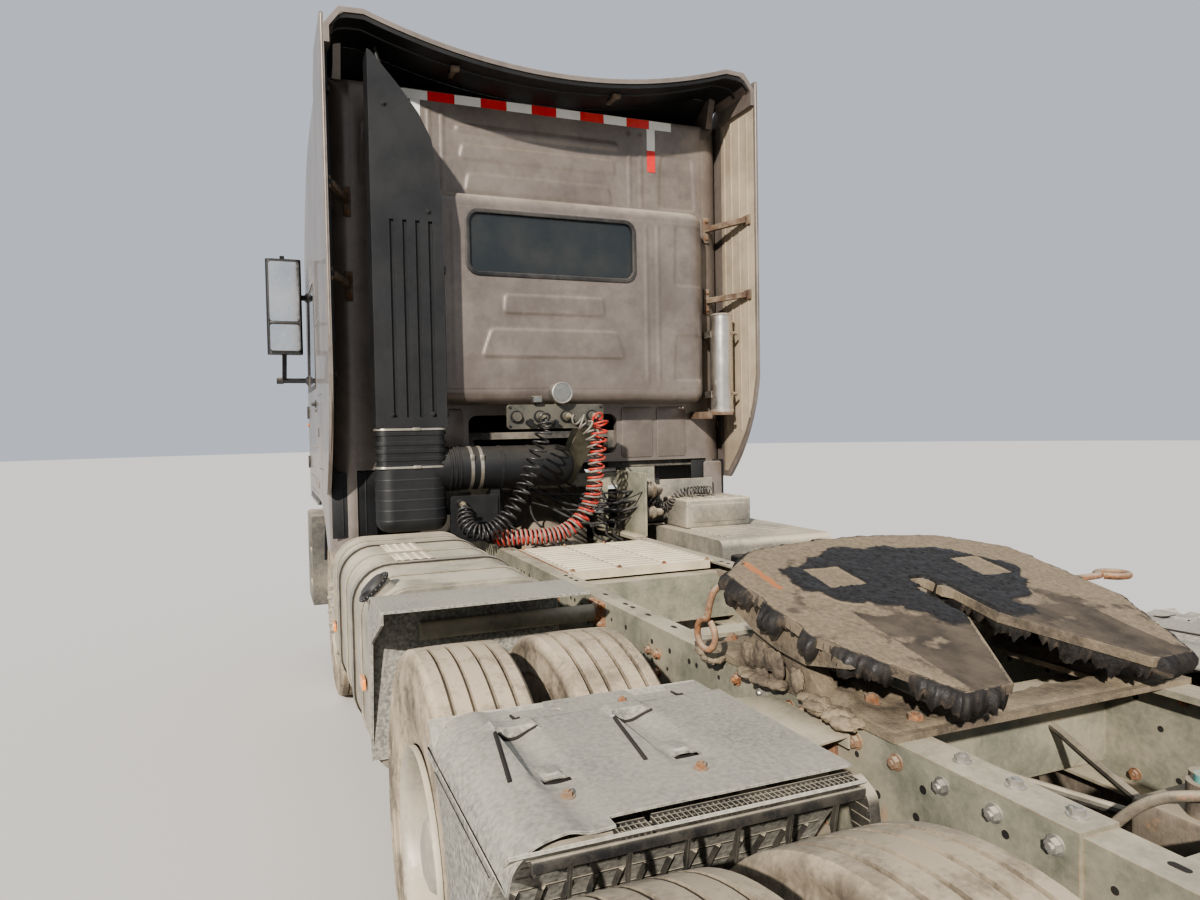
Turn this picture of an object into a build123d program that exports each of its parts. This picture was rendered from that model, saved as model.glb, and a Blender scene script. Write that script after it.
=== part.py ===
from build123d import *
from math import cos, radians, sin, tan
import os

# A heavy 6x4 tractor unit: cab over the engine, high-roof sleeper with a roof fairing and side
# extenders, tall air intake behind the cab, twin-tyred drive axles, open mudguards and a fifth wheel.
# Millimetres. X is forward, Y to the left, Z up, with the origin on the ground below the middle of
# the overall box.

# Overall and axle stations
front_x = 3500
rear_x = -3500
front_axle_x = 2070
wheelbase = 3300
bogie_spacing = 1370
drive_axle_x = (front_axle_x - wheelbase, front_axle_x - wheelbase - bogie_spacing)
bogie_centre_x = sum(drive_axle_x) / 2

seat_gap = 0.3

# Wheels and tyres
tyre_radius = 542
tread_half_width = 128
bead_half_width = 112
rim_radius = 286
bead_gap = 0.3
rim_half_width = 125
front_tyre_y = 1030
dual_centre_y = 910
dual_spacing = 346
axle_z = tyre_radius

# Ladder frame
rail_y = 425
rail_top = 1040
rail_height = 280
rail_flange = 80
rail_thickness = 8
frame_front_x = 3150
frame_rear_x = -3400
rail_inner_y = rail_y - rail_thickness
rail_mid_z = rail_top - rail_height / 2
flitch_front_x = -1500
flitch_rear_x = -2545
flitch_thickness = 8
cross_member_x = (-2640, -1915, -1060, -120, 520)
cross_member_length = 90
cross_member_height = 200
end_plate_thickness = 14
tow_hole_radius = 10.5
tow_spacing_y = 160
tow_spacing_z = 100

# Cab shell
cab_back_x = 1250
cab_half_width = 1220
cab_wall = 45
cab_back_radius = 140
nose_depth = 140
nose_half_width = cab_half_width - 90
floor_z = 1450
floor_thickness = 40
cab_front_bottom_z = 1150
side_bottom_z = 1180
rear_flap_bottom_z = 1000
roof_split_z = 2800
roof_top_z = 3590
back_split_x = cab_back_x + cab_back_radius + 5
screen_bottom_z = 1900
front_split = ((3150, 900), (3150, screen_bottom_z), (2930, roof_split_z))
tunnel_half_width = 460
tunnel_top_z = 1640

# Sleeper bulge and rear window
bulge_x = 1030
bulge_side_step = 228
bulge_half_width = cab_half_width - bulge_side_step
bulge_bottom_z = 1800
bulge_top_z = 2950
bulge_radius = 130
bulge_edge_radius = 70
rear_window_width = 980
rear_window_height = 335
rear_window_z = 2680
rear_window_radius = 60
glass_thickness = 8

# Doors
door_front_x = 3060
door_rear_x = 2120
door_bottom_z = 1260
door_top_z = 2690
door_top_front_x = 2878
door_gap = 6
door_window_bottom_z = 1960
door_window_margin = 90

# Cab tilt pivot
tilt_x = 3330
tilt_z = 1120
tilt_y = 400
tilt_pin_radius = 18
tilt_pin_clearance = 0.3
tilt_eye_radius = 30

# Wheel arches at the front
arch_radius = 690
liner_radius = 655
liner_thickness = 12

# Roof fairing and side extenders
fairing_rear_x = 860
fairing_rise = 155
fairing_top_z = roof_top_z + fairing_rise
fairing_thickness = 25
extender_thickness = 20
extender_front_x = 1420
extender_rise = 110
extender_top_z = roof_top_z + extender_rise
extender_bottom_z = 1330

# Deck
deck_front_x = 660
deck_rear_x = -90
deck_half_width = 355
deck_thickness = 6
deck_frame_depth = 30

# Fuel tank and the front of the mudguards
tank_front_x = 940
tank_rear_x = -545
tank_outer_y = 1240
tank_inner_y = 560
tank_top = 1130
tank_bottom = 480
tank_corner = 150

# Mudguards
guard_inner_y = 574
guard_outer_y = 1245
guard_thickness = 8
guard_wheel_gap = 68
guard_middle_top = 1050
guard_front_top = 1130
guard_opening = 325
guard_bottom_z = 560

# Fifth wheel
kingpin_x = -1756
pivot_z = 1200
plate_tilt = 12.7
plate_rise = 60
plate_half_width = 480
plate_front = 340
plate_rear = 470
plate_thickness = 22
skirt_depth = 105
jaw_radius = 25.6
slot_half_width = 45
pivot_y = 415
pivot_radius = 20
pivot_clearance = 0.3

# Air hoses
hose_coil_radius = 46
panel_rear_x = 832


def side_plane(y):
    """Takes (X, Z) at this Y. A positive extrusion goes to the right, towards -Y."""
    return Plane.XZ.offset(-y)


def cross_plane(x):
    """Takes (Y, Z) at this X. A positive extrusion goes forward."""
    return Plane.YZ.offset(x)


def level(z):
    """Takes (X, Y) at this height. A positive extrusion goes up."""
    return Plane.XY.offset(z)


def outline(*points):
    """A closed face of straight edges in the sketch that is open."""
    Polygon(*points, align=None)


def keep(piece, name):
    """Labels a finished piece and writes it."""
    piece.label = name
    export_step(piece, f"parts/{name}.step")


os.makedirs("parts", exist_ok=True)


# Frame rails: two channels open to the inside, with an outer flitch over the bogie
with BuildPart() as frame_rails:
    with BuildSketch(cross_plane(frame_rear_x)):
        for side in (1, -1):
            with Locations((side * (rail_y - rail_flange / 2), rail_mid_z)):
                Rectangle(rail_flange, rail_height)
            with Locations((side * (rail_inner_y - rail_flange / 2), rail_mid_z)):
                Rectangle(rail_flange, rail_height - 2 * rail_thickness, mode=Mode.SUBTRACT)
    extrude(amount=frame_front_x - frame_rear_x)
    with BuildSketch(cross_plane(flitch_rear_x)):
        for side in (1, -1):
            with Locations((side * (rail_y + flitch_thickness / 2), rail_mid_z + flitch_thickness / 2)):
                Rectangle(flitch_thickness, rail_height + flitch_thickness)
            with Locations((side * (rail_y - rail_flange / 2), rail_top + flitch_thickness / 2)):
                Rectangle(rail_flange, flitch_thickness)
    extrude(amount=flitch_front_x - flitch_rear_x)
keep(frame_rails.part, "frame_rails")


# Cross members, the rear end plate with its coupling holes, and the cab's front pivot brackets
bracket_plate_y = (tilt_y - 42, tilt_y + 42)
bracket_plate_thickness = 16
with BuildPart() as cross_members:
    for x in cross_member_x:
        with BuildSketch(side_plane(rail_inner_y)):
            with Locations((x, rail_mid_z)):
                Rectangle(cross_member_length, cross_member_height)
                with Locations((10, 0)):
                    Rectangle(cross_member_length, cross_member_height - 20, mode=Mode.SUBTRACT)
        extrude(amount=2 * rail_inner_y)
    with BuildSketch(cross_plane(frame_rear_x)):
        with Locations((0, rail_mid_z)):
            Rectangle(2 * rail_inner_y, rail_height - 2 * rail_thickness)
            with GridLocations(tow_spacing_y, tow_spacing_z, 2, 2):
                Circle(tow_hole_radius, mode=Mode.SUBTRACT)
            Circle(38, mode=Mode.SUBTRACT)
    extrude(amount=end_plate_thickness)
    for side in (1, -1):
        for y in bracket_plate_y:
            with BuildSketch(side_plane(side * y + bracket_plate_thickness / 2)):
                outline((3010, rail_top), (3150, rail_top), (tilt_x + 36, tilt_z - 16), (tilt_x + 26, tilt_z + 26),
                        (tilt_x - 26, tilt_z + 26), (3010, rail_top + 60))
            extrude(amount=bracket_plate_thickness)
        with BuildSketch(side_plane(side * tilt_y + 56)):
            with Locations((tilt_x, tilt_z)):
                Circle(tilt_pin_radius)
        extrude(amount=112)
        with BuildSketch(level(rail_top)):
            with Locations((3080, side * tilt_y)):
                Rectangle(140, 100)
        extrude(amount=14)
keep(cross_members.part, "frame_cross_members")


# Front bumper with lamp recesses, and the step boxes behind its corners
bumper_top = 1060
bumper_bottom = 430
bumper_depth = 150
step_rear_x = 2775
lamp_y = 930
lamp_z = 860
lamp_width = 420
lamp_height = 170


def nose_outline(x_front, half_width, depth, length):
    """A bumper-like plan: an arched front edge with rounded corners, in the sketch that is open."""
    with BuildLine() as edge:
        ThreePointArc((x_front - depth, half_width - 30), (x_front, 0), (x_front - depth, 30 - half_width))
        Polyline((x_front - depth, 30 - half_width), (x_front - depth - 90, -half_width),
                 (x_front - length, -half_width), (x_front - length, half_width),
                 (x_front - depth - 90, half_width), (x_front - depth, half_width - 30))
    make_face(edge.edges())


with BuildPart() as bumper:
    with BuildSketch(level(bumper_bottom)):
        nose_outline(front_x, 1240, 130, front_x - step_rear_x)
        with Locations((step_rear_x - 150, 0)):
            Rectangle(2 * (front_x - bumper_depth - step_rear_x + 150), 2 * 900, mode=Mode.SUBTRACT)
    extrude(amount=bumper_top - bumper_bottom)
    with BuildSketch(side_plane(0)):
        outline((front_x + 1, bumper_bottom - 1), (front_x + 1, bumper_bottom + 160),
                (front_x - 170, bumper_bottom - 1))
        outline((front_x + 1, bumper_top + 1), (front_x + 1, bumper_top - 60), (front_x - 110, bumper_top + 1))
    extrude(amount=1300, both=True, mode=Mode.SUBTRACT)
    for side in (1, -1):
        with BuildSketch(cross_plane(front_x - 190)):
            with Locations((side * lamp_y, lamp_z)):
                RectangleRounded(lamp_width, lamp_height, 30)
        extrude(amount=300, mode=Mode.SUBTRACT)
        with BuildSketch(side_plane(side * 1300)):
            for z in (620, 860):
                with Locations((2950, z)):
                    RectangleRounded(270, 130, 20)
        extrude(amount=side * 230, mode=Mode.SUBTRACT)
    with BuildSketch(cross_plane(front_x - 90)):
        for z in (600, 700):
            with Locations((0, z)):
                Rectangle(1100, 50)
    extrude(amount=200, mode=Mode.SUBTRACT)
    with BuildSketch(cross_plane(frame_front_x + seat_gap)):
        for side in (1, -1):
            with Locations((side * (rail_y - 35), rail_mid_z)):
                Rectangle(70, 160)
    extrude(amount=front_x - bumper_depth - frame_front_x)
keep(bumper.part, "bumper_and_steps")

with BuildPart() as headlamps:
    with BuildSketch(level(lamp_z - lamp_height / 2 + 4)):
        nose_outline(front_x - 12, 1228, 130, 300)
    extrude(amount=lamp_height - 8)
    with BuildSketch(cross_plane(front_x - 190 + seat_gap)):
        for side in (1, -1):
            with Locations((side * lamp_y, lamp_z)):
                RectangleRounded(lamp_width - 8, lamp_height - 8, 26)
    extrude(amount=500, mode=Mode.INTERSECT)
keep(headlamps.part, "headlamps")


# Front axle beam, with kingpin eyes, and its leaf springs
kingpin_y = 905
eye_radius = 48
eye_half_height = 58
knuckle_gap = 2
beam_drop = 110
spring_y = 385
front_spring_half = 830
spring_step_x = 0.506 * front_spring_half
with BuildPart() as front_axle:
    with BuildSketch(cross_plane(front_axle_x - 45)):
        outline((-kingpin_y, axle_z + 42), (-700, axle_z + 20), (-560, axle_z - beam_drop + 50),
                (560, axle_z - beam_drop + 50), (700, axle_z + 20), (kingpin_y, axle_z + 42),
                (kingpin_y, axle_z - 42), (640, axle_z - 60), (520, axle_z - beam_drop - 50),
                (-520, axle_z - beam_drop - 50), (-640, axle_z - 60), (-kingpin_y, axle_z - 42))
    extrude(amount=90)
    for side in (1, -1):
        with BuildSketch(level(axle_z - eye_half_height)):
            with Locations((front_axle_x, side * kingpin_y)):
                Circle(eye_radius)
        extrude(amount=2 * eye_half_height)
        with BuildSketch(level(axle_z - eye_half_height - 1)):
            with Locations((front_axle_x, side * kingpin_y)):
                Circle(22.3)
        extrude(amount=2 * eye_half_height + 2, mode=Mode.SUBTRACT)
keep(front_axle.part, "front_axle")

spring_seat_z = axle_z - beam_drop + 50
with BuildPart() as front_springs:
    for side in (1, -1):
        with BuildSketch(side_plane(side * spring_y + 42)):
            with BuildLine():
                ThreePointArc((front_axle_x - front_spring_half, 735), (front_axle_x, spring_seat_z + 40),
                              (front_axle_x + front_spring_half, 735))
                Line((front_axle_x + front_spring_half, 735), (front_axle_x + front_spring_half, 705))
                Polyline((front_axle_x + front_spring_half, 705), (front_axle_x + spring_step_x, 560),
                         (front_axle_x + 120, spring_seat_z), (front_axle_x - 120, spring_seat_z),
                         (front_axle_x - spring_step_x, 560), (front_axle_x - front_spring_half, 705))
                Line((front_axle_x - front_spring_half, 705), (front_axle_x - front_spring_half, 735))
            make_face()
        extrude(amount=84)
        for x in (front_axle_x - front_spring_half, front_axle_x + front_spring_half):
            with BuildSketch(side_plane(side * spring_y + 48)):
                with Locations((x, 728)):
                    Rectangle(70, 64)
            extrude(amount=96)
keep(front_springs.part, "front_leaf_springs")


# Drive axles: a cast housing with a round centre, tubes to the hubs, and the propeller shafts
rear_spring_y = 484
spring_end_z = 642
spindle_radius = 70
hub_bore = 70.3
spindle_end_y = dual_centre_y + 80
with BuildPart() as drive_axles:
    for x in drive_axle_x:
        centre = Axis((x, 0, axle_z), (0, 1, 0))
        with BuildSketch(cross_plane(x)):
            outline((-spindle_end_y, axle_z), (-spindle_end_y, axle_z + spindle_radius),
                    (-605, axle_z + spindle_radius), (-535, axle_z + 95), (-330, axle_z + 105),
                    (-200, axle_z + 190), (160, axle_z + 190), (330, axle_z + 105), (535, axle_z + 95),
                    (605, axle_z + spindle_radius), (spindle_end_y, axle_z + spindle_radius),
                    (spindle_end_y, axle_z))
        revolve(axis=centre)
        for side in (1, -1):
            with BuildSketch(level(axle_z + 70)):
                with Locations((x, side * rear_spring_y)):
                    Rectangle(130, 76)
            extrude(amount=spring_end_z - seat_gap - axle_z - 70)
        with BuildSketch(cross_plane(x + 170)):
            with Locations((0, axle_z + 20)):
                Circle(120)
        extrude(amount=150, taper=12)
    for rear, front, z_rear, z_front in (
            (drive_axle_x[1] + 310, drive_axle_x[0] - 180, axle_z + 58, axle_z + 118),
            (drive_axle_x[0] + 312, 360, axle_z + 30, 800)):
        shaft = Edge.make_line((rear, 0, z_rear), (front, 0, z_front))
        with BuildSketch(Plane(origin=(rear, 0, z_rear), z_dir=(front - rear, 0, z_front - z_rear))):
            Circle(48)
        extrude(amount=shaft.length)
keep(drive_axles.part, "drive_axles")


# Rear suspension: inverted spring packs on a central trunnion, and torque rods
trunnion_z = 520
trunnion_radius = 40
hanger_y = 404
with BuildPart() as rear_suspension:
    for side in (1, -1):
        with BuildSketch(side_plane(side * rear_spring_y + 40)):
            with BuildLine():
                ThreePointArc((drive_axle_x[1] - 60, spring_end_z + 22), (bogie_centre_x, 800),
                              (drive_axle_x[0] + 60, spring_end_z + 22))
                Polyline((drive_axle_x[0] + 60, spring_end_z + 22), (drive_axle_x[0] + 60, spring_end_z),
                         (drive_axle_x[0] - 40, spring_end_z), (bogie_centre_x + 130, 690), (bogie_centre_x - 130, 690),
                         (drive_axle_x[1] + 40, spring_end_z), (drive_axle_x[1] - 60, spring_end_z),
                         (drive_axle_x[1] - 60, spring_end_z + 22))
            make_face()
        extrude(amount=80)
        with BuildSketch(side_plane(side * rear_spring_y + 42)):
            outline((bogie_centre_x - 120, 690), (bogie_centre_x - 70, trunnion_z), (bogie_centre_x + 70, trunnion_z),
                    (bogie_centre_x + 120, 690))
            with Locations((bogie_centre_x, trunnion_z)):
                Circle(70)
        extrude(amount=84)
        with BuildSketch(side_plane(side * hanger_y + 14)):
            outline((bogie_centre_x - 150, rail_top - rail_height - seat_gap), (bogie_centre_x - 60, trunnion_z - 55),
                    (bogie_centre_x + 60, trunnion_z - 55), (bogie_centre_x + 150, rail_top - rail_height - seat_gap))
        extrude(amount=28)
    with BuildSketch(side_plane(rear_spring_y)):
        with Locations((bogie_centre_x, trunnion_z)):
            Circle(trunnion_radius)
    extrude(amount=2 * rear_spring_y)
keep(rear_suspension.part, "rear_suspension")


# Engine and gearbox, as one plain mass between the rails
engine_rear_x = 1450
with BuildPart() as engine:
    with BuildSketch(cross_plane(engine_rear_x)):
        outline((-180, 620), (180, 620), (330, 900), (330, 1380), (220, 1540), (-220, 1540), (-330, 1380), (-330, 900))
    extrude(amount=1270)
    with BuildSketch(cross_plane(engine_rear_x)):
        with Locations((0, 880)):
            Circle(240)
    extrude(amount=-720, taper=9)
    with BuildSketch(cross_plane(2790)):
        with Locations((0, 1130)):
            Rectangle(640, 760)
    extrude(amount=110)
    with BuildSketch(cross_plane(2680)):
        with Locations((0, 1120)):
            Rectangle(200, 300)
    extrude(amount=110)
    for side in (1, -1):
        for x in (1560, 2480):
            with BuildSketch(cross_plane(x)):
                outline((side * 320, 820), (side * (rail_inner_y - seat_gap), 860), (side * (rail_inner_y - seat_gap), 940),
                        (side * 320, 980))
            extrude(amount=110)
keep(engine.part, "engine")


# Fuel tank: a rounded box with three raised straps
with BuildPart() as fuel_tank:
    tank_mid = ((tank_outer_y + tank_inner_y) / 2, (tank_top + tank_bottom) / 2)
    tank_size = (tank_outer_y - tank_inner_y, tank_top - tank_bottom)
    strap = 6
    with BuildSketch(cross_plane(tank_rear_x)):
        with Locations(tank_mid):
            RectangleRounded(tank_size[0] - 2 * strap, tank_size[1] - 2 * strap, tank_corner - strap)
    extrude(amount=tank_front_x - tank_rear_x)
    for x in (-20, 560):
        with BuildSketch(cross_plane(x)):
            with Locations(tank_mid):
                RectangleRounded(*tank_size, tank_corner)
        extrude(amount=60)
    for x in (0, 580):
        with BuildSketch(cross_plane(x)):
            outline((rail_y, rail_top - 60), (tank_inner_y + 10, rail_top - 60), (tank_inner_y + 10, tank_bottom + 60),
                    (rail_y, rail_mid_z - 60))
        extrude(amount=30)
keep(fuel_tank.part, "fuel_tank")


# Right side: the silencer box and the battery box, hung outside the rail
with BuildPart() as side_boxes:
    for x_low, x_high, z_low, z_high in ((200, 1050, 420, 1080), (-520, 120, 500, 1020)):
        with BuildSketch(side_plane(-guard_inner_y)):
            with Locations(((x_low + x_high) / 2, (z_low + z_high) / 2)):
                RectangleRounded(x_high - x_low, z_high - z_low, 40)
        extrude(amount=tank_outer_y - guard_inner_y)
        with BuildSketch(cross_plane((x_low + x_high) / 2 - 15)):
            outline((-rail_y, rail_top - 60), (-guard_inner_y, rail_top - 60), (-guard_inner_y, z_low + 80),
                    (-rail_y, rail_mid_z - 60))
        extrude(amount=30)
keep(side_boxes.part, "silencer_and_battery_boxes")


# Air reservoirs slung between the rails and the boxes' line, behind the gearbox
with BuildPart() as air_tanks:
    for side in (1, -1):
        with BuildSketch(cross_plane(-850)):
            with Locations((side * 310, 550)):
                Circle(115)
        extrude(amount=640)
        strap_top = rail_top - rail_height - seat_gap
        for x in (-740, -360):
            with BuildSketch(cross_plane(x)):
                with Locations((side * 375, (600 + strap_top) / 2)):
                    Rectangle(50, strap_top - 600)
            extrude(amount=40)
keep(air_tanks.part, "air_reservoirs")


# Steering knuckles, each with its kingpin, spindle and arm, and the tie rod between the arms
lug_height = 42
knuckle_face_y = 985
spindle_front_radius = 45
arm_x = front_axle_x - 170
arm_z = axle_z - 111
arm_thickness = 22
tie_rod_z = axle_z - 80
tie_pin_radius = 12
tie_eye_radius = 26
for side, name in ((1, "left"), (-1, "right")):
    with BuildPart() as knuckle:
        for z in (axle_z + eye_half_height + knuckle_gap, axle_z - eye_half_height - knuckle_gap - lug_height):
            with BuildSketch(level(z)):
                with Locations((front_axle_x, side * kingpin_y)):
                    Circle(45)
                with Locations((front_axle_x, side * (kingpin_y + knuckle_face_y) / 2)):
                    Rectangle(90, knuckle_face_y - kingpin_y)
            extrude(amount=lug_height)
        with BuildSketch(cross_plane(front_axle_x - 60)):
            with Locations((side * (knuckle_face_y - 13), axle_z)):
                Rectangle(26, 2 * (eye_half_height + knuckle_gap + lug_height))
        extrude(amount=120)
        with BuildSketch(side_plane(side * knuckle_face_y)):
            with Locations((front_axle_x, axle_z)):
                Circle(spindle_front_radius)
        extrude(amount=-side * 138)
        with BuildSketch(level(axle_z - 100)):
            with Locations((front_axle_x, side * kingpin_y)):
                Circle(22)
        extrude(amount=200)
        with BuildSketch(level(arm_z - arm_thickness)):
            outline((front_axle_x + 40, side * (kingpin_y - 30)), (front_axle_x + 40, side * (kingpin_y + 60)),
                    (front_axle_x - 40, side * (kingpin_y + 60)), (arm_x, side * (kingpin_y + 24)),
                    (arm_x, side * (kingpin_y - 24)))
            with Locations((arm_x, side * kingpin_y)):
                Circle(24)
        extrude(amount=arm_thickness)
        with BuildSketch(level(arm_z)):
            with Locations((arm_x, side * kingpin_y)):
                Circle(tie_pin_radius)
            with Locations((front_axle_x, side * (kingpin_y + 20))):
                Rectangle(70, 60)
        extrude(amount=11)
        with BuildSketch(level(arm_z)):
            with Locations((arm_x, side * kingpin_y)):
                Circle(tie_pin_radius)
        extrude(amount=50)
    keep(knuckle.part, f"knuckle_{name}")

with BuildPart() as tie_rod:
    with BuildSketch(side_plane(kingpin_y - tie_eye_radius + 6)):
        with Locations((arm_x, tie_rod_z)):
            Circle(16)
    extrude(amount=2 * (kingpin_y - tie_eye_radius + 6))
    for side in (1, -1):
        with BuildSketch(level(tie_rod_z - 14)):
            with Locations((arm_x, side * kingpin_y)):
                Circle(tie_eye_radius)
                Circle(tie_pin_radius + 0.3, mode=Mode.SUBTRACT)
        extrude(amount=28)
keep(tie_rod.part, "tie_rod")


def turned(points, x, y, side):
    """A solid turned about the axle line at x, from points of (distance outwards from y, radius)."""
    with BuildPart() as solid:
        with BuildSketch(cross_plane(x)):
            outline(*[(side * (y + out), axle_z + radius) for out, radius in points])
        revolve(axis=Axis((x, 0, axle_z), (0, 1, 0)))
    return solid.part


# Wheels and tyres. A tyre is a plain section from bead to tread; a drive wheel carries two.
tyre_section = ((-bead_half_width, rim_radius + bead_gap), (-tread_half_width, tyre_radius),
                (tread_half_width, tyre_radius), (bead_half_width, rim_radius + bead_gap))
front_hub_bore = spindle_front_radius + 0.3
front_wheel_section = ((-rim_half_width, rim_radius), (rim_half_width, rim_radius), (60, 120), (140, 105), (140, 0),
                       (96, 0), (96, front_hub_bore), (-40, front_hub_bore), (-40, 110))
dual_half_width = dual_spacing / 2 + rim_half_width
drive_wheel_section = ((-dual_half_width, rim_radius), (dual_half_width, rim_radius), (110, 150), (110, 120),
                       (dual_half_width - 30, 105), (dual_half_width - 30, 0), (84, 0), (84, hub_bore),
                       (-dual_half_width, hub_bore))
for side, name in ((1, "left"), (-1, "right")):
    keep(turned(tyre_section, front_axle_x, front_tyre_y, side), f"tyre_front_{name}")
    keep(turned(front_wheel_section, front_axle_x, front_tyre_y, side), f"wheel_front_{name}")
    for number, x in enumerate(drive_axle_x, start=1):
        with BuildPart() as tyre_pair:
            for y in (dual_centre_y - dual_spacing / 2, dual_centre_y + dual_spacing / 2):
                add(turned(tyre_section, x, y, side))
        keep(tyre_pair.part, f"tyres_drive{number}_{name}")
        keep(turned(drive_wheel_section, x, dual_centre_y, side), f"wheel_drive{number}_{name}")


# Wheel arch liners on the frame, round the steered wheels
liner_inner_y = 470
liner_outer_y = 1165
liner_end_z = 760
liner_rise = (liner_radius ** 2 - (liner_end_z - axle_z) ** 2) ** 0.5
outer_rise = ((liner_radius + liner_thickness) ** 2 - (liner_end_z - axle_z) ** 2) ** 0.5
with BuildPart() as liners:
    for side in (1, -1):
        with BuildSketch(side_plane(side * liner_outer_y)):
            with BuildLine():
                ThreePointArc((front_axle_x - outer_rise, liner_end_z),
                              (front_axle_x, axle_z + liner_radius + liner_thickness),
                              (front_axle_x + outer_rise, liner_end_z))
                Line((front_axle_x + outer_rise, liner_end_z), (front_axle_x + liner_rise, liner_end_z))
                ThreePointArc((front_axle_x + liner_rise, liner_end_z), (front_axle_x, axle_z + liner_radius),
                              (front_axle_x - liner_rise, liner_end_z))
                Line((front_axle_x - liner_rise, liner_end_z), (front_axle_x - outer_rise, liner_end_z))
            make_face()
        extrude(amount=side * (liner_outer_y - liner_inner_y))
        for x in (front_axle_x - outer_rise, front_axle_x + outer_rise):
            with BuildSketch(side_plane(side * (liner_inner_y + 60))):
                with Locations((x, liner_end_z + 60)):
                    Rectangle(60, 60)
            extrude(amount=side * (liner_inner_y + 60 - rail_y - seat_gap))
keep(liners.part, "wheel_arch_liners")


# Mudguards over the drive wheels: front, middle and rear sections, with the covers between them missing
guard_radius = tyre_radius + guard_wheel_gap
guard_width = guard_outer_y - guard_inner_y
front_guard_x = (tank_rear_x - 15, tank_rear_x - 345)
middle_guard_x = (bogie_centre_x + 320, bogie_centre_x - 320)
rear_guard_x = (2 * bogie_centre_x - front_guard_x[1], 2 * bogie_centre_x - front_guard_x[0])
for name, edge_x, wall_x in (("front", front_guard_x[1], front_guard_x[0]), ("rear", rear_guard_x[0], rear_guard_x[1])):
    toward = 1 if wall_x > edge_x else -1
    with BuildPart() as guard:
        for side in (1, -1):
            with BuildSketch(side_plane(side * guard_outer_y)):
                with BuildLine():
                    line = FilletPolyline((edge_x, guard_front_top), (wall_x, guard_front_top),
                                          (wall_x, guard_bottom_z), radius=90)
                    Polyline(line @ 1, (wall_x - toward * guard_thickness, guard_bottom_z))
                    FilletPolyline((wall_x - toward * guard_thickness, guard_bottom_z),
                                   (wall_x - toward * guard_thickness, guard_front_top - guard_thickness),
                                   (edge_x, guard_front_top - guard_thickness), radius=90 - guard_thickness)
                    Line((edge_x, guard_front_top - guard_thickness), line @ 0)
                make_face()
            extrude(amount=side * guard_width)
            with BuildSketch(side_plane(side * guard_outer_y)):
                outline((edge_x, guard_front_top - guard_thickness), (edge_x, guard_front_top - 40),
                        (wall_x - toward * 60, guard_front_top - 160), (wall_x - toward * 2, guard_bottom_z),
                        (wall_x - toward * 2, guard_front_top - 90), (wall_x - toward * 90, guard_front_top - 2))
            extrude(amount=side * guard_thickness)
    keep(guard.part, f"mudguards_{name}")

guard_shoulder = 50
lip_depth = 14
lip_length = 110
pocket_y = (827, 1087)
with BuildPart() as middle_guards:
    top = guard_middle_top
    under = guard_middle_top - guard_thickness
    foot_z = 720
    reach = (guard_radius ** 2 - (under - axle_z) ** 2) ** 0.5
    foot_reach = (guard_radius ** 2 - (foot_z - axle_z) ** 2) ** 0.5
    mid_z = axle_z + guard_radius * sin(radians(36))
    mid_reach = guard_radius * cos(radians(36))
    for side in (1, -1):
        with BuildSketch(side_plane(side * guard_outer_y)):
            with BuildLine():
                Polyline((drive_axle_x[0] - reach, under), (middle_guard_x[0], top), (middle_guard_x[1], top),
                         (drive_axle_x[1] + reach, under))
                ThreePointArc((drive_axle_x[1] + reach, under), (drive_axle_x[1] + mid_reach, mid_z),
                              (drive_axle_x[1] + foot_reach, foot_z))
                Line((drive_axle_x[1] + foot_reach, foot_z), (drive_axle_x[0] - foot_reach, foot_z))
                ThreePointArc((drive_axle_x[0] - foot_reach, foot_z), (drive_axle_x[0] - mid_reach, mid_z),
                              (drive_axle_x[0] - reach, under))
            make_face()
            outline((bogie_centre_x - 232, top - 26), (bogie_centre_x - 76, foot_z + 90), (bogie_centre_x - 76, foot_z - 1),
                    (bogie_centre_x + 76, foot_z - 1), (bogie_centre_x + 76, foot_z + 90), (bogie_centre_x + 232, top - 26))
        extrude(amount=side * guard_width)
    for side in (1, -1):
        with BuildSketch(side_plane(side * (guard_outer_y - 10))):
            outline((bogie_centre_x + 150, top - 30), (bogie_centre_x - 150, top - 30), (bogie_centre_x - 60, foot_z + 70),
                    (bogie_centre_x - 60, foot_z - 20), (bogie_centre_x + 60, foot_z - 20), (bogie_centre_x + 60, foot_z + 70))
        extrude(amount=side * guard_width, mode=Mode.SUBTRACT)
    shoulders = [edge for edge in middle_guards.edges().filter_by(Axis.X)
                 if edge.center().Z > top - 1 and abs(edge.center().Y) > guard_outer_y - 1]
    fillet(shoulders, guard_shoulder)
    for side in (1, -1):
        with BuildSketch(level(top - lip_depth)):
            with Locations((middle_guard_x[0] - lip_length / 2 + 1, side * (guard_inner_y + guard_width / 2))):
                Rectangle(lip_length + 2, guard_width + 2)
            for y in pocket_y:
                with Locations((middle_guard_x[0] - 310, side * y)):
                    Rectangle(290, 76)
        extrude(amount=lip_depth + 1, mode=Mode.SUBTRACT)
keep(middle_guards.part, "mudguards_middle")


# Support tubes from the rail to each mudguard, with a flat pad under the middle one
tube_radius = 30
tube_end_y = 1080
tube_z = guard_middle_top - 30 - seat_gap - tube_radius
tube_inset = guard_thickness + seat_gap + tube_radius
with BuildPart() as guard_tubes:
    for side in (1, -1):
        for x, seat_y in ((front_guard_x[0] - tube_inset, rail_y), (bogie_centre_x, rail_y + flitch_thickness),
                          (rear_guard_x[1] + tube_inset, rail_y)):
            with BuildSketch(side_plane(side * tube_end_y)):
                with Locations((x, tube_z)):
                    Circle(tube_radius)
            extrude(amount=side * (tube_end_y - seat_y - seat_gap))
keep(guard_tubes.part, "mudguard_tubes")


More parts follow.
